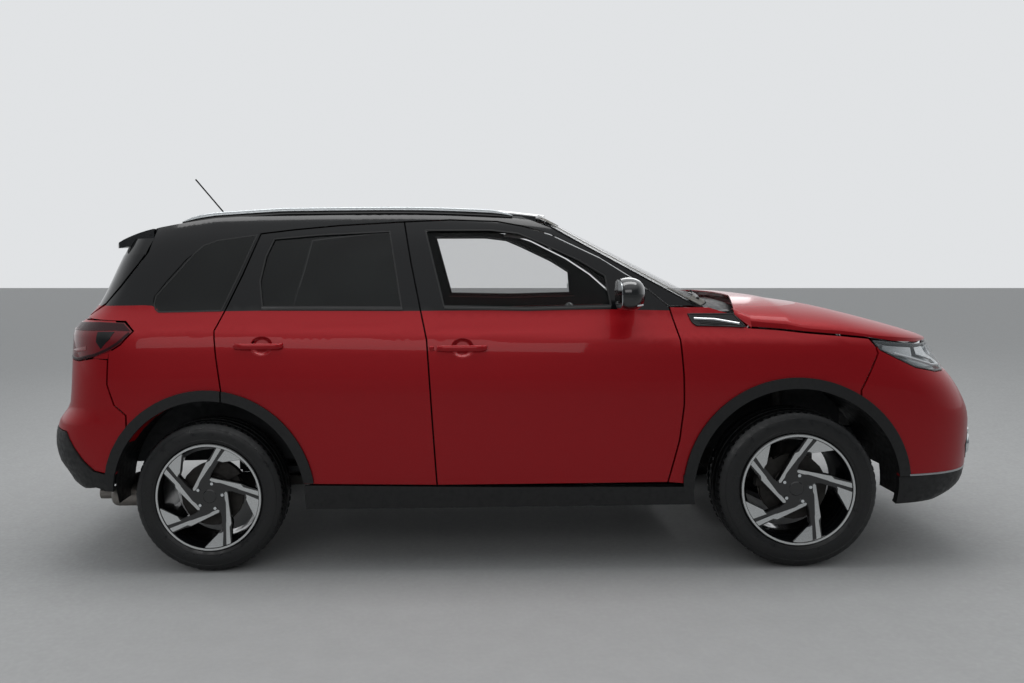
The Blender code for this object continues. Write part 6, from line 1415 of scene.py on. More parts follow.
HOOD_GAP, HOOD_HEM = 0.0036, 0.060
HOOD_REAR = [(0.0, at(0.958)), (0.3645, (at(0.958) * 3 + at(0.912)) / 4), (0.729, at(0.912))]
HOOD_SIDE_LINE = np.array(side_view(HOOD_LINE_SHARES + ((1.50, 0.594), (1.63, 0.587))))


def hood_boundary(last, count):
    points = []
    for girth in np.linspace(at(0.935), last, count):
        x = np.array([min(girth, at(1.9))])
        for _ in range(4):
            x, half = wrap(np.array([girth]), hood_edge(x))
        points.append((float(x[0]), max(float(half[0]), 0)))
    return np.array(points)


whole = hood_boundary(FRONT_END, 40)
HOOD_CORNER = (at(0.912), whole[0][1] - 0.035)
half_hood = [((at(0.958) * 3 + HOOD_CORNER[0]) / 4, HOOD_CORNER[1] / 2), HOOD_CORNER] + [tuple(p)
    for p in whole]
hood_loop = [(at(0.958), 0)] + half_hood + [(x, -y) for x, y in half_hood[-2::-1]]
hood_levels = [polygon(hood_loop, HOOD_GAP), polygon(hood_loop, HOOD_HEM)]
hood_backs = [inwards(hood_surface, depth, (0, 0, -1)) for depth in (0.005, 0.026)]
panel("hood", hood_surface, params_top, SOLID_RED, SOLID_RED, 0.045,
    source=stepped_slab(hood_levels, hood_surface, hood_backs, 0.05))
edge_line = hood_boundary(FRONT_END - 0.30, 40)
for side, side_name in SIDES:
    out = np.gradient(edge_line, axis=0)
    out = np.stack([-out[:, 1], out[:, 0]], axis=1) / np.linalg.norm(out, axis=1, keepdims=True)
    out *= np.where(out[:, 1:] < 0, -1, 1)
    tops = hood_surface(edge_line - out * HOOD_GAP)
    edges = hood_edge(edge_line[:, 0])
    rings = []
    for (x, y), (nx, ny), top, z in zip(edge_line, out, tops, edges):
        foot = min(z, float(np.interp(x, HOOD_SIDE_LINE[:, 0], HOOD_SIDE_LINE[:, 1]))) - 0.0008
        ring = [top, (x - nx * 0.0022, y - ny * 0.0022, foot + 0.55 * (top[2] - foot)),
            (x - nx * 0.0012, y - ny * 0.0012, foot), (x - nx * 0.006, y - ny * 0.006, foot),
            (top[0] - nx * 0.004, top[1] - ny * 0.004, top[2] - 0.004)]
        rings.append([(px, side * py, pz) for px, py, pz in ring])
    loft_rings(f"hood_lip_{side_name}", rings, SOLID_RED, "hood", 40)


COWL_HEIGHT = 1.101


def hood_rear(y):
    return np.interp(abs(y), [p[0] for p in HOOD_REAR], [p[1] for p in HOOD_REAR])


rings = []
for y in np.linspace(-0.735, 0.735, 61):
    glass = windshield_surface(np.array([[y, COWL_HEIGHT]]))[0]
    back = min(hood_rear(y) - 0.012, 1.118)
    ahead = hood_surface(np.array([[back + 0.03, min(abs(y), 0.70)]]))[0, 2] - 0.034
    mid = (glass[0] * 0.55 + back * 0.45, ahead * 0.5 + COWL_HEIGHT * 0.5 - 0.006)
    line = [(glass[0] + 0.002, COWL_HEIGHT - 0.0005), mid, (back, ahead),
        (back + 0.03, ahead - 0.016)]
    rings.append([(x, y, z) for x, z in line] + [(x, y, z - 0.006) for x, z in line[::-1]])
loft_rings("cowl_cover", rings, PLASTIC, "body", 35)
for k, y0 in enumerate((0.60, 0.0)):
    base = windshield_surface(np.array([[y0, 1.112]]))[0] + np.array([0.020, 0, -0.002])
    arm = [base, windshield_surface(np.array([[y0 - 0.16, 1.126]]))[0]
        + np.array([0.010, 0, 0.014]), windshield_surface(np.array([[y0 - 0.30, 1.138]]))[0]
        + np.array([0.006, 0, 0.010])]
    tube(f"wiper_arm_{k}", [tuple(p) for p in arm], 0.0045, PLASTIC)
    strip(f"wiper_blade_{k}", raised(windshield_surface, 0.002),
        [(y0 - 0.02, 1.118), (y0 - 0.30, 1.132), (y0 - 0.56, 1.121)], 0.014, 0.009, SEAL)

pane = np.array([v.co for v in NODES["windshield"].data.vertices])[:, 1:]
pane = pane[[i for i in convex_hull_2d([Vector(p) for p in pane])]]
pane = pane[np.linalg.norm(pane - np.roll(pane, 1, axis=0), axis=1) > 0.02]
middle = inset(pane, 0.032)
# A warm grey band round the screen's edge: painted reflection of the backdrop in the glass at a
# grazing angle
plate("windshield_edge_painted_reflection", windshield_surface, polygon(pane, 0.001) - polygon(middle), 0.0006,
    0.0001, SCREEN_EDGE_PAINTED_REFLECTION, "body", 0.06)

# The head of the tailgate, under the spoiler

head_half = half_loop(TAILGATE_LINE_SHARES[:1], REAR_END)[0][0] - 0.014
plate("tailgate_head", rear_end, polygon(both_sides([(head_half, 1.392),
    (head_half + 0.006, 1.425), (head_half + 0.022, 1.470)])), -0.0015, -0.030, GLOSS_PLASTIC,
    "tailgate", 0.04)

# Hood ears: the rear corners that reach the fenders

for side, side_name in SIDES:
    shares = np.linspace(0, 1, 9)
    outer = np.stack([1.0095 + 0.0600 * shares, 1.0650 - 0.0560 * shares], axis=1)
    outer = body_side(side)(outer) - [0, side * 0.002, 0]
    inner = hood_surface(np.stack([1.0105 + 0.0620 * shares, 0.716 + 0.048 * shares], axis=1))
    inner[:, 1] *= side
    rings = []
    for a, b in zip(outer, inner):
        middle = [a + (b - a) * t + np.array([0, 0, 0.012 * math.sin(math.pi * t)])
            for t in np.linspace(0, 1, 7)]
        rings.append([tuple(p) for p in middle] + [tuple(p - np.array([0, 0, 0.005]))
            for p in middle[::-1]])
    loft_rings(f"hood_ear_{side_name}", rings, SOLID_RED, "hood", 60)

# Lamps


def mirrored_loop(loop, side):
    return [(side * q, z) for q, z in loop]


def reach_of(loop):
    """Tip, inner end, foot and top of a lamp's outline."""
    across, heights = np.array(loop).T
    return across.max(), across.min(), heights.min(), heights.max()


def facing_out(surface, spot, sunk=0.0):
    """Turns a body made about the y axis to face out of a surface, sunk this far into it."""
    place, facing = Vector(surface(spot)[0]), Vector(normals_on(surface, spot)[0])
    turn = facing.to_track_quat("-Y", "Z").to_matrix().to_4x4()
    return Matrix.Translation(place - facing * sunk) @ turn


LENS_LOOP = half_loop(((-0.3885, 0.672), (-0.443, 0.6958), (-0.60, 0.6995), (-0.80, 0.6965)),
    REAR_END) + face_view(TAIL_LAMP_FACE_SHARES) + half_loop(((-0.72, 0.590), (-0.60, 0.603),
    (-0.52, 0.6165), (-0.45, 0.6375)), REAR_END)
UNDER_LAMP = half_loop(((-0.62, 0.5985), (-0.5245, 0.5975), (-0.5195, 0.6125), (-0.500, 0.6195),
    (-0.515, 0.624), (-0.60, 0.604)), REAR_END)
for side, side_name in SIDES:
    loop = mirrored_loop(LENS_LOOP, side)
    plate(f"tail_lamp_filler_{side_name}", rear_end, polygon(mirrored_loop(UNDER_LAMP, side)),
        -0.003, -0.008, SOLID_RED)
    lens = plate(f"tail_lamp_lens_{side_name}", rear_end, polygon(loop, 0.0015), 0.0, -0.020,
        RED_LENS)
    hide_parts(f"tail_lamp_{side_name}")
    tip, inner, foot, top = reach_of(TAIL_LAMP_LOOP)
    wide = tip - inner
    bar = [(inner + 0.03 * wide, foot + 0.026), (inner + 0.32 * wide, foot + 0.030),
        (inner + 0.62 * wide, foot + 0.056)]
    strip(f"tail_lamp_guide_{side_name}", raised(rear_end, -0.0002), mirrored_loop(bar, side),
        0.020, 0.0016, RED_GLOW)
    band = [(0.525, 1.063), (0.950, 1.063), (1.018, 1.059), (0.972, 1.092), (0.848, 1.098),
        (0.600, 1.093), (0.525, 1.080)]
    plate(f"tail_lamp_band_{side_name}", rear_end, polygon(mirrored_loop(band, side)), 0.0008,
        -0.001, DARK_RED, "body", 0.02)
    edge = [(0.525, 0.947), (0.780, 0.937), (0.880, 0.958), (0.937, 0.982), (0.984, 1.013),
        (1.016, 1.052)]
    strip(f"tail_lamp_edge_{side_name}", raised(rear_end, -0.0004), mirrored_loop(edge, side),
        0.013, 0.0016, DARK_RED)
    shield = [(0.872, 1.057), (0.950, 1.057), (0.941, 1.028), (0.906, 0.985), (0.880, 1.014)]
    plate(f"tail_lamp_shield_{side_name}", rear_end, polygon(mirrored_loop(shield, side)), 0.0008,
        -0.001, GLOSS_PLASTIC, "body", 0.02)
    closer = [(inner + 0.01, top - 0.004), (tip * 0.92, top - 0.006), (tip * 0.90, top + 0.010),
        (inner + 0.01, top + 0.012)]
    plate(f"tail_lamp_backing_{side_name}", rear_end, polygon(mirrored_loop(closer, side)), -0.003,
        -0.006, SOLID_RED)

    loop = mirrored_loop(HEADLAMP_LOOP, side)
    lens = plate(f"headlamp_lens_{side_name}", front_end, polygon(loop, 0.0015), 0.0, -0.0025, LENS)
    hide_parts(f"headlamp_{side_name}")
    plate(f"headlamp_housing_{side_name}", front_end, polygon(loop, 0.004), -0.034, -0.050, SATIN)
    rim = [tuple(p) for p in inset(turned_left(loop), 0.006)]
    strip(f"headlamp_rim_{side_name}", raised(front_end, -0.012), closed_path(rim), 0.010, 0.006,
        LAMP_BLACK)
    tip, inner, foot, top = reach_of(HEADLAMP_LOOP)
    wide = tip - inner
    guide = [(inner + 0.10 * wide, foot + 0.052), (inner + 0.30 * wide, foot + 0.026),
        (inner + 0.55 * wide, foot + 0.040), (inner + 0.85 * wide, foot + 0.098)]
    strip(f"headlamp_guide_{side_name}", raised(front_end, -0.016), mirrored_loop(guide, side),
        0.010, 0.008, LAMP_WHITE)
    for k, (near, far) in enumerate(((0.10, 0.30), (0.42, 0.62), (0.66, 0.90))):
        edge = [(inner + near * wide, top - 0.016), (inner + far * wide, top - 0.014),
            (inner + (far + 0.03) * wide, foot + 0.058 + far * 0.052),
            (inner + (near + 0.05) * wide, foot + 0.030 + near * 0.070)]
        plate(f"headlamp_reflector_{side_name}_{k}", front_end, polygon(mirrored_loop(edge, side)),
            -0.020, -0.026, CHROME)
    for k, (share, up) in enumerate(((0.20, 0.62), (0.42, 0.66))):
        spot = np.array([[side * (inner + share * wide), foot + up * (top - foot)]])
        mesh = bmesh.new()
        turned(mesh, [(0.0, -0.012), (0.012, -0.0105), (0.022, -0.006), (0.027, 0.0),
            (0.0, 0.004)], 28, 0)
        turned(mesh, [(0.027, -0.002), (0.034, -0.006), (0.036, -0.001), (0.031, 0.006),
            (0.027, 0.006)], 32, 1)
        mesh.transform(facing_out(front_end, spot, 0.022))
        bmesh.ops.recalc_face_normals(mesh, faces=mesh.faces)
        riding("body", 40, f"headlamp_projector_{side_name}_{k}", mesh, LENS, CHROME)

# Front: grille, intake, fog lamps and plate


def across(name, surface, half, width, proud, material, step=0.03, body="body"):
    return strip(name, surface, [(-q, z) for q, z in half[::-1]] + [(q, z) for q, z in half],
        width, proud, material, body, step)


GRILLE_LOOP = both_sides(face_view(GRILLE_SHARES[::-1]))
plate("grille_backing", front_end, polygon(GRILLE_LOOP, 0.004), -0.046, -0.050, SEAL, "body", 0.05)
grille_top, grille_foot = GRILLE_SHARES[0][1] * ROOF_HEIGHT, GRILLE_SHARES[-1][1] * ROOF_HEIGHT
across("grille_bar_top", raised(front_end, -0.002),
    [(0.02, grille_top - 0.014), (0.36, grille_top - 0.010)], 0.012, 0.007, CHROME)
across("grille_bar_foot", raised(front_end, -0.002),
    [(0.02, grille_foot + 0.012), (0.24, grille_foot + 0.012)], 0.012, 0.007, CHROME)
for k in range(5):
    z = grille_foot + 0.040 + k * (grille_top - grille_foot - 0.075) / 4
    reach = 0.27 + 0.10 * k / 4
    across(f"grille_slat_{k}", raised(front_end, -0.020), [(0.02, z), (reach, z + 0.002)], 0.009,
        0.008, GLOSS_PLASTIC)
intake_top, intake_foot = INTAKE_SHARES[0][1] * ROOF_HEIGHT, INTAKE_SHARES[-1][1] * ROOF_HEIGHT
INTAKE_LOOP = both_sides(face_view(INTAKE_SHARES[::-1]))
plate("intake_backing", front_end, polygon(INTAKE_LOOP, 0.002), -0.050, -0.054, SEAL, "body", 0.05)
for k in range(4):
    z = intake_foot + 0.018 + k * (intake_top - intake_foot - 0.036) / 3
    across(f"intake_slat_{k}", raised(front_end, -0.022), [(0.02, z), (0.38, z)], 0.008, 0.008,
        GLOSS_PLASTIC)
across("front_silver_guard", raised(front_end, 0.001),
    [(0.02, 0.285), (0.26, 0.285), (0.36, 0.300)], 0.060, 0.004, SATIN)
plate("front_plate", front_end, polygon([(-0.26, 0.568), (0.26, 0.568), (0.26, 0.680),
    (-0.26, 0.680)], 0.0), 0.0040, 0.0020, LAMP_WHITE, "body", 0.05)
plate("front_plate_holder", front_end, polygon([(-0.27, 0.558), (0.27, 0.558), (0.27, 0.690),
    (-0.27, 0.690)], 0.0), 0.0020, 0.0001, PLASTIC, "body", 0.05)
for side, side_name in SIDES:
    fog = mirrored_loop([(0.475, 0.420), (0.53, 0.405), (0.62, 0.412), (0.645, 0.470),
        (0.60, 0.520), (0.50, 0.510)], side)
    plate(f"fog_bezel_{side_name}", front_end, polygon(fog), 0.0016, -0.001, PLASTIC)
    spot = np.array([[side * 0.560, 0.462]])
    mesh = bmesh.new()
    turned(mesh, [(0.0, -0.010), (0.022, -0.008), (0.034, -0.003), (0.034, 0.004), (0.0, 0.004)],
        32, 0)
    turned(mesh, [(0.034, -0.006), (0.041, -0.008), (0.045, -0.002), (0.045, 0.004),
        (0.034, 0.004)], 36, 1)
    mesh.transform(facing_out(front_end, spot, -0.001))
    riding("body", 40, f"fog_lamp_{side_name}", mesh, LENS, CHROME)
    strip(f"fog_blade_{side_name}", raised(front_end, 0.0014),
        mirrored_loop([(0.480, 0.520), (0.55, 0.529), (0.615, 0.530)], side), 0.010, 0.004, CHROME)

for side, side_name in SIDES:
    skirt_z = 0.236 * ROOF_HEIGHT + 0.0055
    far_q = half_loop(((1.505, 0.236),), FRONT_END)[0][0]
    strip(f"front_bumper_line_{side_name}", raised(front_end, 0.0004),
        mirrored_loop([(0.48, skirt_z), (far_q, skirt_z)], side), 0.008, 0.0022, SATIN)

# Arch liners

LINER_RADIUS = 0.4235
low_r, high_r = LINER_RADIUS - 0.001, LINER_RADIUS + 0.001
for axle, x0 in (("front", X_FRONT_AXLE), ("rear", X_REAR_AXLE)):
    for side, side_name in SIDES:
        rings = []
        for degrees in np.linspace(-5, 185, 70):
            a = math.radians(degrees)
            x, zz = x0 + LINER_RADIUS * math.cos(a), TYRE_RADIUS + LINER_RADIUS * math.sin(a)
            outer = float(half_width(np.array([x]), np.array([zz]))[0]) - 0.016
            if axle == "rear" and degrees < 80:
                outer = min(outer, 0.725)
            inner = 0.672 if axle == "front" else 0.60
            ring = []
            for r, y in ((low_r, inner), (low_r, outer), (high_r, outer), (high_r, inner)):
                ring.append((x0 + r * math.cos(a), side * y, TYRE_RADIUS + r * math.sin(a)))
            rings.append(ring)
        loft_rings(f"arch_liner_{axle}_{side_name}", rings, PLASTIC, "body", 30)

# Smooth arch trims over the faceted ones

TRIM_LOW, TRIM_HIGH = ARCH_RADIUS + 0.0014, ARCH_RADIUS + ARCH_TRIM_WIDTH + 0.0008
door_edge = at(0.030)
for side, side_name in SIDES:
    flank = body_side(side)
    for name, x0, box, low, back, carrier in (
        ("front", X_FRONT_AXLE, (X_FRONT_AXLE - 0.6, X_FRONT_AXLE + 0.6, 0.386, 1.0), TRIM_LOW,
        -0.024, "body"),
        ("rear", X_REAR_AXLE, (X_REAR_AXLE - 0.6, door_edge - SHUT_GAP / 2, 0.446, 1.0), TRIM_LOW,
        -0.024, "body"),
        ("rear_door", X_REAR_AXLE, (door_edge + SHUT_GAP / 2, X_REAR_AXLE + 0.6, 0.402, 1.0),
        TRIM_LOW + 0.0016, -0.006, body_of(f"rear_door_{side_name}")),
    ):
        ring = disc((x0, TYRE_RADIUS), TRIM_HIGH, 96) - disc((x0, TYRE_RADIUS), low, 96)
        plate(f"arch_trim_{name}_{side_name}", flank, ring & rectangle(*box),
            CLADDING_PROUD + 0.0012, back, PLASTIC, carrier, 0.03)

# Rear: plate, handle, wiper, reflectors and tail pipe

plate("rear_plate_recess", rear_end, polygon([(-0.31, 0.880), (0.31, 0.880), (0.33, 1.010),
    (-0.33, 1.010)]), 0.0022, -0.001, GLOSS_PLASTIC, "tailgate", 0.05)
plate("rear_plate", rear_end, polygon([(-0.26, 0.892), (0.26, 0.892), (0.26, 1.000),
    (-0.26, 1.000)]), 0.0050, 0.0022, LAMP_WHITE, "tailgate", 0.05)
across("rear_garnish", raised(rear_end, 0.0005), [(0.02, 1.026), (0.42, 1.026)], 0.022, 0.012,
    CHROME, body="tailgate")
across("rear_handle_lip", raised(rear_end, 0.0005), [(0.02, 0.855), (0.14, 0.855)], 0.016, 0.010,
    GLOSS_PLASTIC, body="tailgate")
mesh = bmesh.new()
turned(mesh, [(0.0, -0.020), (0.012, -0.018), (0.020, -0.010), (0.022, 0.002), (0.0, 0.002)], 32)
mesh.transform(facing_out(rear_end, np.array([[0.0, 1.125]])))
riding("tailgate", 40, "rear_wiper_boss", mesh, PLASTIC)
strip("rear_wiper_blade", raised(rear_end, 0.006), [(0.00, 1.150), (0.16, 1.175), (0.33, 1.180)],
    0.014, 0.008, SEAL, "tailgate")
strip("rear_wiper_arm", raised(rear_end, 0.013), [(0.00, 1.126), (0.10, 1.155), (0.20, 1.176)],
    0.013, 0.006, PLASTIC, "tailgate")
skirt_end = wrapped(REAR_END, CLADDING_PROUD)
across("rear_silver_guard", raised(skirt_end, 0.0005),
    [(0.02, 0.330), (0.30, 0.330), (0.40, 0.345)], 0.060, 0.005, SATIN)
for side, side_name in SIDES:
    reflector = mirrored_loop([(0.56, 0.505), (0.60, 0.500), (0.74, 0.512), (0.745, 0.530),
        (0.60, 0.535)], side)
    plate(f"rear_reflector_{side_name}", rear_end, polygon(reflector), 0.0030, -0.001, RED_GLOW,
        "body", 0.02)
mesh = bmesh.new()
turned(mesh, [(0.026, -0.040), (0.029, -0.040), (0.029, 0.130), (0.026, 0.130)], 36)
mesh.transform(Matrix.Translation((-1.850, -0.520, 0.272)) @ Matrix.Rotation(math.radians(-90), 4,
    "Z"))
riding("body", 40, "tail_pipe", mesh, GALVANISED)
block("silencer", (-1.800, -0.660, 0.235), (-1.560, -0.330, 0.335), 0.040, GALVANISED)


# Brakes

for axle, x, track in (("front", X_FRONT_AXLE, FRONT_TRACK), ("rear", X_REAR_AXLE, REAR_TRACK)):
    for side, side_name in SIDES:
        centre = Vector((x, side * track / 2, TYRE_RADIUS))
        mesh = bmesh.new()
        turned(mesh, [(0.085, 0.000), (0.139, 0.000), (0.139, 0.018), (0.085, 0.018)], 64, 0)
        turned(mesh, [(0.036, -0.026), (0.078, -0.026), (0.085, -0.022), (0.085, 0.012),
            (0.036, 0.012)], 64, 1)
        if side == LEFT:
            bmesh.ops.rotate(mesh, verts=mesh.verts, matrix=Matrix.Rotation(math.pi, 3, "Z"))
        bmesh.ops.translate(mesh, verts=mesh.verts, vec=centre + Vector((0, side * 0.028, 0)))
        riding(body_of(f"wheel_{axle}_{side_name}"), 40, f"brake_disc_{axle}_{side_name}", mesh,
            DISC, IRON)
        holder = "body" if axle == "rear" else body_of(f"knuckle_{side_name}")
        mesh = bmesh.new()
        first, last = (35, 88) if axle == "rear" else (125, 178)
        outline = arc_points(0.158, first, last, 10) + arc_points(0.098, last - 5, first + 5, 8)
        extruded(mesh, outline, side * 0.012, side * 0.050, 0, 0.004)
        bmesh.ops.translate(mesh, verts=mesh.verts, vec=centre)
        riding(holder, 40, f"brake_caliper_{axle}_{side_name}", mesh, IRON)

# Seats

DOOR_SIDE = {LEFT: 1, RIGHT: -1}


def pad(name, centre, size, turn, material, body="body", round_share=0.55, channels=0, bulge=0.10):
    """A stuffed cushion: a soft-cornered block with a crowned face, side bolsters and sewn
    channels."""
    mesh = bmesh.new()
    bmesh.ops.create_cube(mesh, size=2)
    bmesh.ops.subdivide_edges(mesh, edges=mesh.edges, cuts=15, use_grid_fill=True)
    half = Vector(size) / 2
    soft = min(half) * round_share
    for vert in mesh.verts:
        u, v, w = vert.co
        inner = Vector((u * (half.x - soft), v * (half.y - soft), w * (half.z - soft)))
        ball = Vector((u * math.sqrt(1 - v * v / 2 - w * w / 2 + v * v * w * w / 3),
            v * math.sqrt(1 - u * u / 2 - w * w / 2 + u * u * w * w / 3),
            w * math.sqrt(1 - u * u / 2 - v * v / 2 + u * u * v * v / 3)))
        place = inner + ball * soft
        crown = (1 - u * u) * (1 - v * v)
        if w > 0:
            place.z += bulge * half.z * crown * w
            if channels:
                seam = 0.5 + 0.5 * math.cos(u * math.pi * channels)
                middle = abs(v) < 0.62
                place.z -= (0.007 * seam ** 8 if middle else 0) * w
                place.z -= 0.010 * math.exp(-((abs(v) - 0.64) / 0.045) ** 2) * w
                place.z += 0.022 * max(0, abs(v) - 0.64) / 0.36 * (1 - u ** 6) * w
        vert.co = place
    spin = Matrix.Rotation(math.radians(turn), 4, "Y")
    mesh.transform(Matrix.Translation(centre) @ spin)
    made = riding(body, 70, name, mesh, material)
    return made


LEAN = math.degrees(math.atan2(0.230, 0.480))
SEAT_Y = 0.360
for side, side_name in SIDES:
    y = side * SEAT_Y
    seat = f"front_seat_{side_name}"
    cushion = pad(f"{seat}_cushion", (0.083, y, 0.456), (0.490, 0.486, 0.130), -5, SEAT_CLOTH,
        channels=4)
    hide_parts(seat)
    pad(f"{seat}_back", (-0.222, y, 0.775), (0.530, 0.480, 0.120), 90 - LEAN, SEAT_CLOTH,
        channels=5)
    pad(f"{seat}_headrest", (-0.372, y, 1.108), (0.165, 0.245, 0.090), 90 - LEAN / 2, SEAT_SIDE,
        round_share=0.9)
    for k in (-1, 1):
        tube(f"{seat}_post_{'ab'[k > 0]}", [(-0.330, y + 0.055 * k, 1.000),
            (-0.350, y + 0.055 * k, 1.050), (-0.365, y + 0.055 * k, 1.085)], 0.006, CHROME)
    block(f"{seat}_side_trim", (-0.130, y + 0.243 * DOOR_SIDE[side], 0.330),
        (0.280, y + 0.210 * DOOR_SIDE[side], 0.425), 0.012, TRIM_GREY)
    for k in (-1, 1):
        block(f"{seat}_runner_{'ab'[k > 0]}", (-0.170, y + 0.170 * k - 0.018, 0.2505),
            (0.300, y + 0.170 * k + 0.018, 0.285), 0.006, STEEL)
    block(f"{seat}_pan", (-0.120, y - 0.200, 0.285), (0.240, y + 0.200, 0.395), 0.020, SEAT_SIDE)
    block(f"{seat}_shell", (-0.215, y - 0.200, 0.480), (-0.170, y + 0.200, 0.960), 0.018, TRIM_GREY)

bench = pad("rear_bench_cushion", (-0.768, 0, 0.500), (0.490, 1.115, 0.140), -5, SEAT_CLOTH,
    channels=3)
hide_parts("rear_bench")
for k, (low, high) in enumerate(((-0.556, -0.080), (-0.074, 0.556))):
    pad(f"rear_bench_back_{k}", (-1.068, (low + high) / 2, 0.800), (0.520, high - low, 0.115),
        90 - LEAN, SEAT_CLOTH, channels=4)
    pad(f"rear_bench_headrest_{k}", (-1.205, 0.336 * (1 if k else -1), 1.118),
        (0.150, 0.240, 0.085), 90 - LEAN / 2, SEAT_SIDE, round_share=0.9)
block("rear_bench_plinth", (-0.995, -0.530, 0.4005), (-0.560, 0.530, 0.445), 0.014, TRIM_GREY)

# Dashboard, console and steering wheel

DASH_X = 0.340
block("dash_pad", (DASH_X + 0.012, -0.680, 0.885), (DASH_X + 0.190, 0.680, 1.012), 0.040, DASH,
    turn=(10, "Y"))
block("dash_trim_bar", (DASH_X - 0.004, -0.100, 0.852), (DASH_X + 0.020, 0.660, 0.880), 0.010,
    SATIN)
block("dash_lower", (DASH_X - 0.002, -0.660, 0.700), (DASH_X + 0.070, 0.660, 0.850), 0.030, DASH,
    turn=(-12, "Y"))
block("cluster_hood", (DASH_X + 0.028, -0.500, 0.965), (DASH_X + 0.140, -0.220, 1.052), 0.034, DASH)
block("cluster_display", (DASH_X + 0.0245, -0.470, 0.972), (DASH_X + 0.034, -0.250, 1.028), 0.003,
    SCREEN, turn=(14, "Y"))
block("centre_display_frame", (DASH_X - 0.030, -0.125, 0.900), (DASH_X - 0.004, 0.125, 1.045),
    0.010, GLOSS_PLASTIC, turn=(12, "Y"))
block("centre_display", (DASH_X - 0.0335, -0.112, 0.912), (DASH_X - 0.0265, 0.112, 1.035), 0.002,
    SCREEN, turn=(12, "Y"))
for k, y in enumerate((-0.610, -0.175, 0.175, 0.610)):
    block(f"air_vent_frame_{k}", (DASH_X - 0.010, y - 0.048, 0.900),
        (DASH_X + 0.020, y + 0.048, 0.960), 0.010, GLOSS_PLASTIC)
    for j in range(4):
        block(f"air_vent_blade_{k}_{j}", (DASH_X - 0.0140, y - 0.038, 0.908 + 0.0125 * j),
            (DASH_X + 0.004, y + 0.038, 0.9105 + 0.0125 * j), 0.001, SATIN if j == 0 else PLASTIC)
for k in range(3):
    mesh = bmesh.new()
    turned(mesh, [(0.0, -0.020), (0.016, -0.020), (0.020, -0.016), (0.022, 0.004), (0.0, 0.004)],
        32)
    mesh.transform(Matrix.Translation((DASH_X + 0.012, -0.075 + 0.075 * k, 0.800))
        @ Matrix.Rotation(-QUARTER_TURN, 4, "Z"))
    riding("body", 40, f"climate_knob_{k}", mesh, SATIN)
block("glove_box", (DASH_X - 0.006, 0.210, 0.715), (DASH_X + 0.040, 0.590, 0.840), 0.018, DASH,
    turn=(-12, "Y"))
block("console_top", (-0.150, -0.098, 0.560), (0.420, 0.098, 0.618), 0.022, DASH)
pad("console_armrest", (-0.085, 0, 0.640), (0.240, 0.150, 0.055), 0, SEAT_SIDE, round_share=0.8)
block("gear_gate", (0.130, -0.060, 0.616), (0.290, 0.060, 0.624), 0.004, GLOSS_PLASTIC)
tube("gear_lever", [(0.205, 0, 0.620), (0.203, 0, 0.680), (0.196, 0, 0.720)], 0.008, CHROME)
mesh = bmesh.new()
bmesh.ops.create_uvsphere(mesh, u_segments=24, v_segments=16, radius=1)
for vert in mesh.verts:
    vert.co = Vector((vert.co.x * 0.024, vert.co.y * 0.023, vert.co.z * 0.036)) + Vector((0.194, 0,
        0.735))
riding("body", 60, "gear_knob", mesh, SEAT_SIDE)
for k in (-1, 1):
    mesh = bmesh.new()
    turned(mesh, [(0.030, -0.008), (0.036, -0.008), (0.037, 0.000), (0.030, 0.000)], 32)
    mesh.transform(Matrix.Translation((0.060, 0.045 * k, 0.6205)) @ Matrix.Rotation(QUARTER_TURN,
        4, "X"))
    riding("body", 40, f"cup_holder_{'ab'[k > 0]}", mesh, GLOSS_PLASTIC)

STEERING_RADIUS, STEERING_RIM = 0.182, 0.0145
WHEEL_PLACE = Matrix.Translation((0.285, -0.360, 0.930)) @ Matrix.Rotation(math.radians(24), 4,
    "Y") @ Matrix.Rotation(-QUARTER_TURN, 4, "Z")
mesh = bmesh.new()
ring = [(STEERING_RADIUS + STEERING_RIM * math.cos(a), STEERING_RIM * math.sin(a))
    for a in np.linspace(0, 2 * math.pi, 16, endpoint=False)]
turned(mesh, ring, 72, 0)
hub = [(0.0, -0.022), (0.030, -0.0215), (0.052, -0.016), (0.058, -0.004), (0.052, 0.016),
    (0.030, 0.030), (0.0, 0.030)]
turned(mesh, hub, 40, 1)
for k, angle in enumerate((0, math.pi, QUARTER_TURN)):
    spoke = [(0.040, -0.020), (0.100, -0.013), (0.176, -0.016), (0.176, 0.016), (0.100, 0.013),
        (0.040, 0.020)]
    spin = Matrix.Rotation(-angle, 2)
    extruded(mesh, [tuple(spin @ Vector(p)) for p in spoke], -0.012, 0.006, 1, 0.003)
    bright = [(0.075, -0.006), (0.160, -0.008), (0.160, 0.008), (0.075, 0.006)]
    extruded(mesh, [tuple(spin @ Vector(p)) for p in bright], -0.0140, -0.010, 2, 0.001)
mesh.transform(WHEEL_PLACE)
steering = riding(body_of("steering_wheel"), 45, "steering_wheel_fine", mesh, SEAT_SIDE, DASH,
    SATIN)
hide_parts("steering_wheel")
for k in (-1, 1):
    tube(f"column_stalk_{'ab'[k > 0]}", [(0.330, -0.360 + 0.03 * k, 0.920),
        (0.322, -0.360 + 0.09 * k, 0.935), (0.312, -0.360 + 0.150 * k, 0.945)], 0.007, DASH)

# Cabin: carpets, belts, inner mirror, visors and door trims

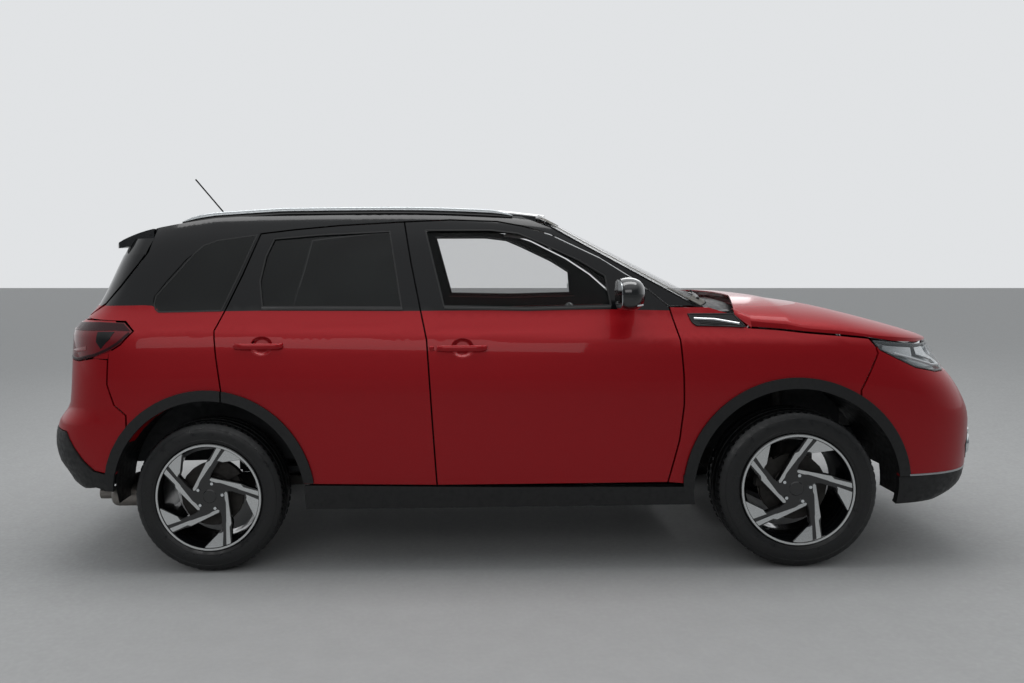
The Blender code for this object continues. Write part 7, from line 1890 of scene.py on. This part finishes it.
for side, side_name in SIDES:
    block(f"carpet_front_{side_name}", (-0.350, side * 0.130, 0.2504),
        (0.640, side * 0.640, 0.262), 0.004, CARPET)
    block(f"carpet_rear_{side_name}", (-0.560, side * 0.020, 0.2504),
        (-0.360, side * 0.600, 0.262), 0.004, CARPET)
    belt = [(-0.360, side * 0.618, 1.210), (-0.300, side * 0.615, 0.900),
        (-0.240, side * 0.628, 0.420)]
    for k, (start, end) in enumerate(zip(belt, belt[1:])):
        mesh = bmesh.new()
        ring = lambda p: [mesh.verts.new((p[0] + a, p[1] + b, p[2]))
            for a, b in ((-0.024, -0.0008), (0.024, -0.0008), (0.024, 0.0008), (-0.024, 0.0008))]
        loft(mesh, [ring(start), ring([(s + e) / 2 for s, e in zip(start, end)]), ring(end)])
        riding("body", 40, f"seat_belt_{side_name}_{k}", mesh, CARPET)
    block(f"sun_visor_{side_name}", (0.090, side * 0.160, 1.448), (0.235, side * 0.520, 1.462),
        0.006, HEADLINER, turn=(8, "Y"))
    for which, (low_x, high_x, arm_z) in {"front": (-0.200, 0.560, 0.720),
            "rear": (-0.900, -0.400, 0.760)}.items():
        body = body_of(f"{which}_door_{side_name}")
        inner = side * 0.752
        pad(f"{which}_door_armrest_{side_name}", ((low_x + high_x) / 2, inner, arm_z),
            (high_x - low_x - 0.10, 0.052, 0.060), 0, SEAT_SIDE, body, round_share=0.7)
        block(f"{which}_door_pull_{side_name}",
            ((low_x + high_x) / 2 - 0.02, inner - side * 0.006, arm_z + 0.100),
            ((low_x + high_x) / 2 + 0.10, inner + side * 0.010, arm_z + 0.128), 0.006, CHROME, body)
        block(f"{which}_door_pocket_{side_name}", (low_x + 0.06, inner - side * 0.010, 0.420),
            (high_x - 0.10, inner + side * 0.012, 0.540), 0.010, TRIM_GREY, body)
block("inner_mirror", (0.300, -0.115, 1.370), (0.325, 0.115, 1.435), 0.012, GLOSS_PLASTIC)
block("inner_mirror_glass", (0.2985, -0.108, 1.376), (0.3025, 0.108, 1.429), 0.002, CHROME)
tube("inner_mirror_stem", [(0.312, 0, 1.420), (0.325, 0, 1.445), (0.350, 0, 1.458)], 0.007,
    GLOSS_PLASTIC)
block("roof_console", (0.060, -0.070, 1.478), (0.240, 0.070, 1.500), 0.008, HEADLINER)
block("load_floor_carpet", (-1.880, -0.440, 0.5604), (-1.160, 0.440, 0.570), 0.004, CARPET)


# Floor, light and camera

# The floor's far edge runs where the photograph's wall meets the ground, level in the picture
FLOOR_CORNERS = ((-85.8, 112.9), (-85.8, -60.0), (74.7, -60.0), (74.7, -27.8))
WORLD_STRENGTH = 0.95


def studio():
    """A pale floor under a pale sky that is dimmer behind the camera, with soft lights overhead."""
    mesh = bmesh.new()
    mesh.faces.new([mesh.verts.new((x, y, 0)) for x, y in FLOOR_CORNERS])
    floor = new_object("studio_floor", mesh, finish("pale_studio_floor", "#9c9d9d", 0.75,
        (60.0, 0.02), tint=0.05))
    floor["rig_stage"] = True
    for name, place, aim, size, power in (
        ("overhead_softbox", (0.0, -0.2, 5.2), (0, 0, 0), (6.5, 2.2), 150),
        ("front_softbox", (-1.5, -6.5, 3.2), (0, 0, 0.7), (6.0, 2.0), 60),
        ("back_softbox", (0.0, 6.0, 3.2), (0, 0, 0.7), (7.0, 2.0), 60),
    ):
        light = bpy.data.lights.new(name, "AREA")
        light.shape = "RECTANGLE"
        light.size, light.size_y = size
        light.energy = power
        made = bpy.data.objects.new(name, light)
        bpy.context.scene.collection.objects.link(made)
        made.location = place
        made.rotation_euler = (Vector(aim) - Vector(place)).to_track_quat("-Z", "Y").to_euler()
    world = bpy.data.worlds.new("studio_world")
    bpy.context.scene.world = world
    world.use_nodes = True
    tree = world.node_tree
    back = tree.nodes["Background"]
    towards = add(tree, "SeparateXYZ", i0=add(tree, "TexCoord").outputs["Generated"])
    level = add(tree, "MapRange", i0=towards.outputs[1], i1=-0.6, i2=0.3, i3=0.0, i4=1.0).outputs[0]
    overhead = add(tree, "MapRange", i0=towards.outputs[2], i1=0.35, i2=0.8, i3=0.0,
        i4=1.0).outputs[0]
    bright = add(tree, "Math", {"operation": "MAXIMUM"}, i0=level, i1=overhead).outputs[0]
    blend = add(tree, "Mix", {"data_type": "RGBA"}, i0=bright, i6=linear("#6c6f72"),
        i7=linear("#e6e8ea"))
    tree.links.new(blend.outputs[2], back.inputs["Color"])
    back.inputs["Strength"].default_value = WORLD_STRENGTH
    bpy.context.scene.view_settings.view_transform = "Standard"


LENS_MM = 30.13
LENS_SHIFT = (0.0844, -0.0492)
CAMERA_PLACE = (-0.1117, -4.4827, 1.3215)
# Yaw, pitch and roll in radians
CAMERA_TURN = (-0.0527, -0.0334, -0.029)


def photograph_camera():
    """The camera where the photograph was taken from, with its own framing."""
    yaw, pitch, roll = CAMERA_TURN
    ahead = Vector((math.sin(yaw) * math.cos(pitch), math.cos(yaw) * math.cos(pitch),
        math.sin(pitch)))
    right = Vector((math.cos(yaw), -math.sin(yaw), 0))
    up = right.cross(ahead)
    across = right * math.cos(roll) + up * math.sin(roll)
    rise = up * math.cos(roll) - right * math.sin(roll)
    data = bpy.data.cameras.new("photograph_camera")
    data.sensor_width, data.lens = 36.0, LENS_MM
    data.shift_x, data.shift_y = LENS_SHIFT
    made = bpy.data.objects.new("photograph_camera", data)
    bpy.context.scene.collection.objects.link(made)
    turn = Matrix((across, rise, -ahead)).transposed().to_4x4()
    made.matrix_world = Matrix.Translation(CAMERA_PLACE) @ turn
    bpy.context.scene.camera = made


studio()
photograph_camera()
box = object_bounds()
str([[list(map(float, corner)) for corner in pair] for pair in (cad_box, box)])
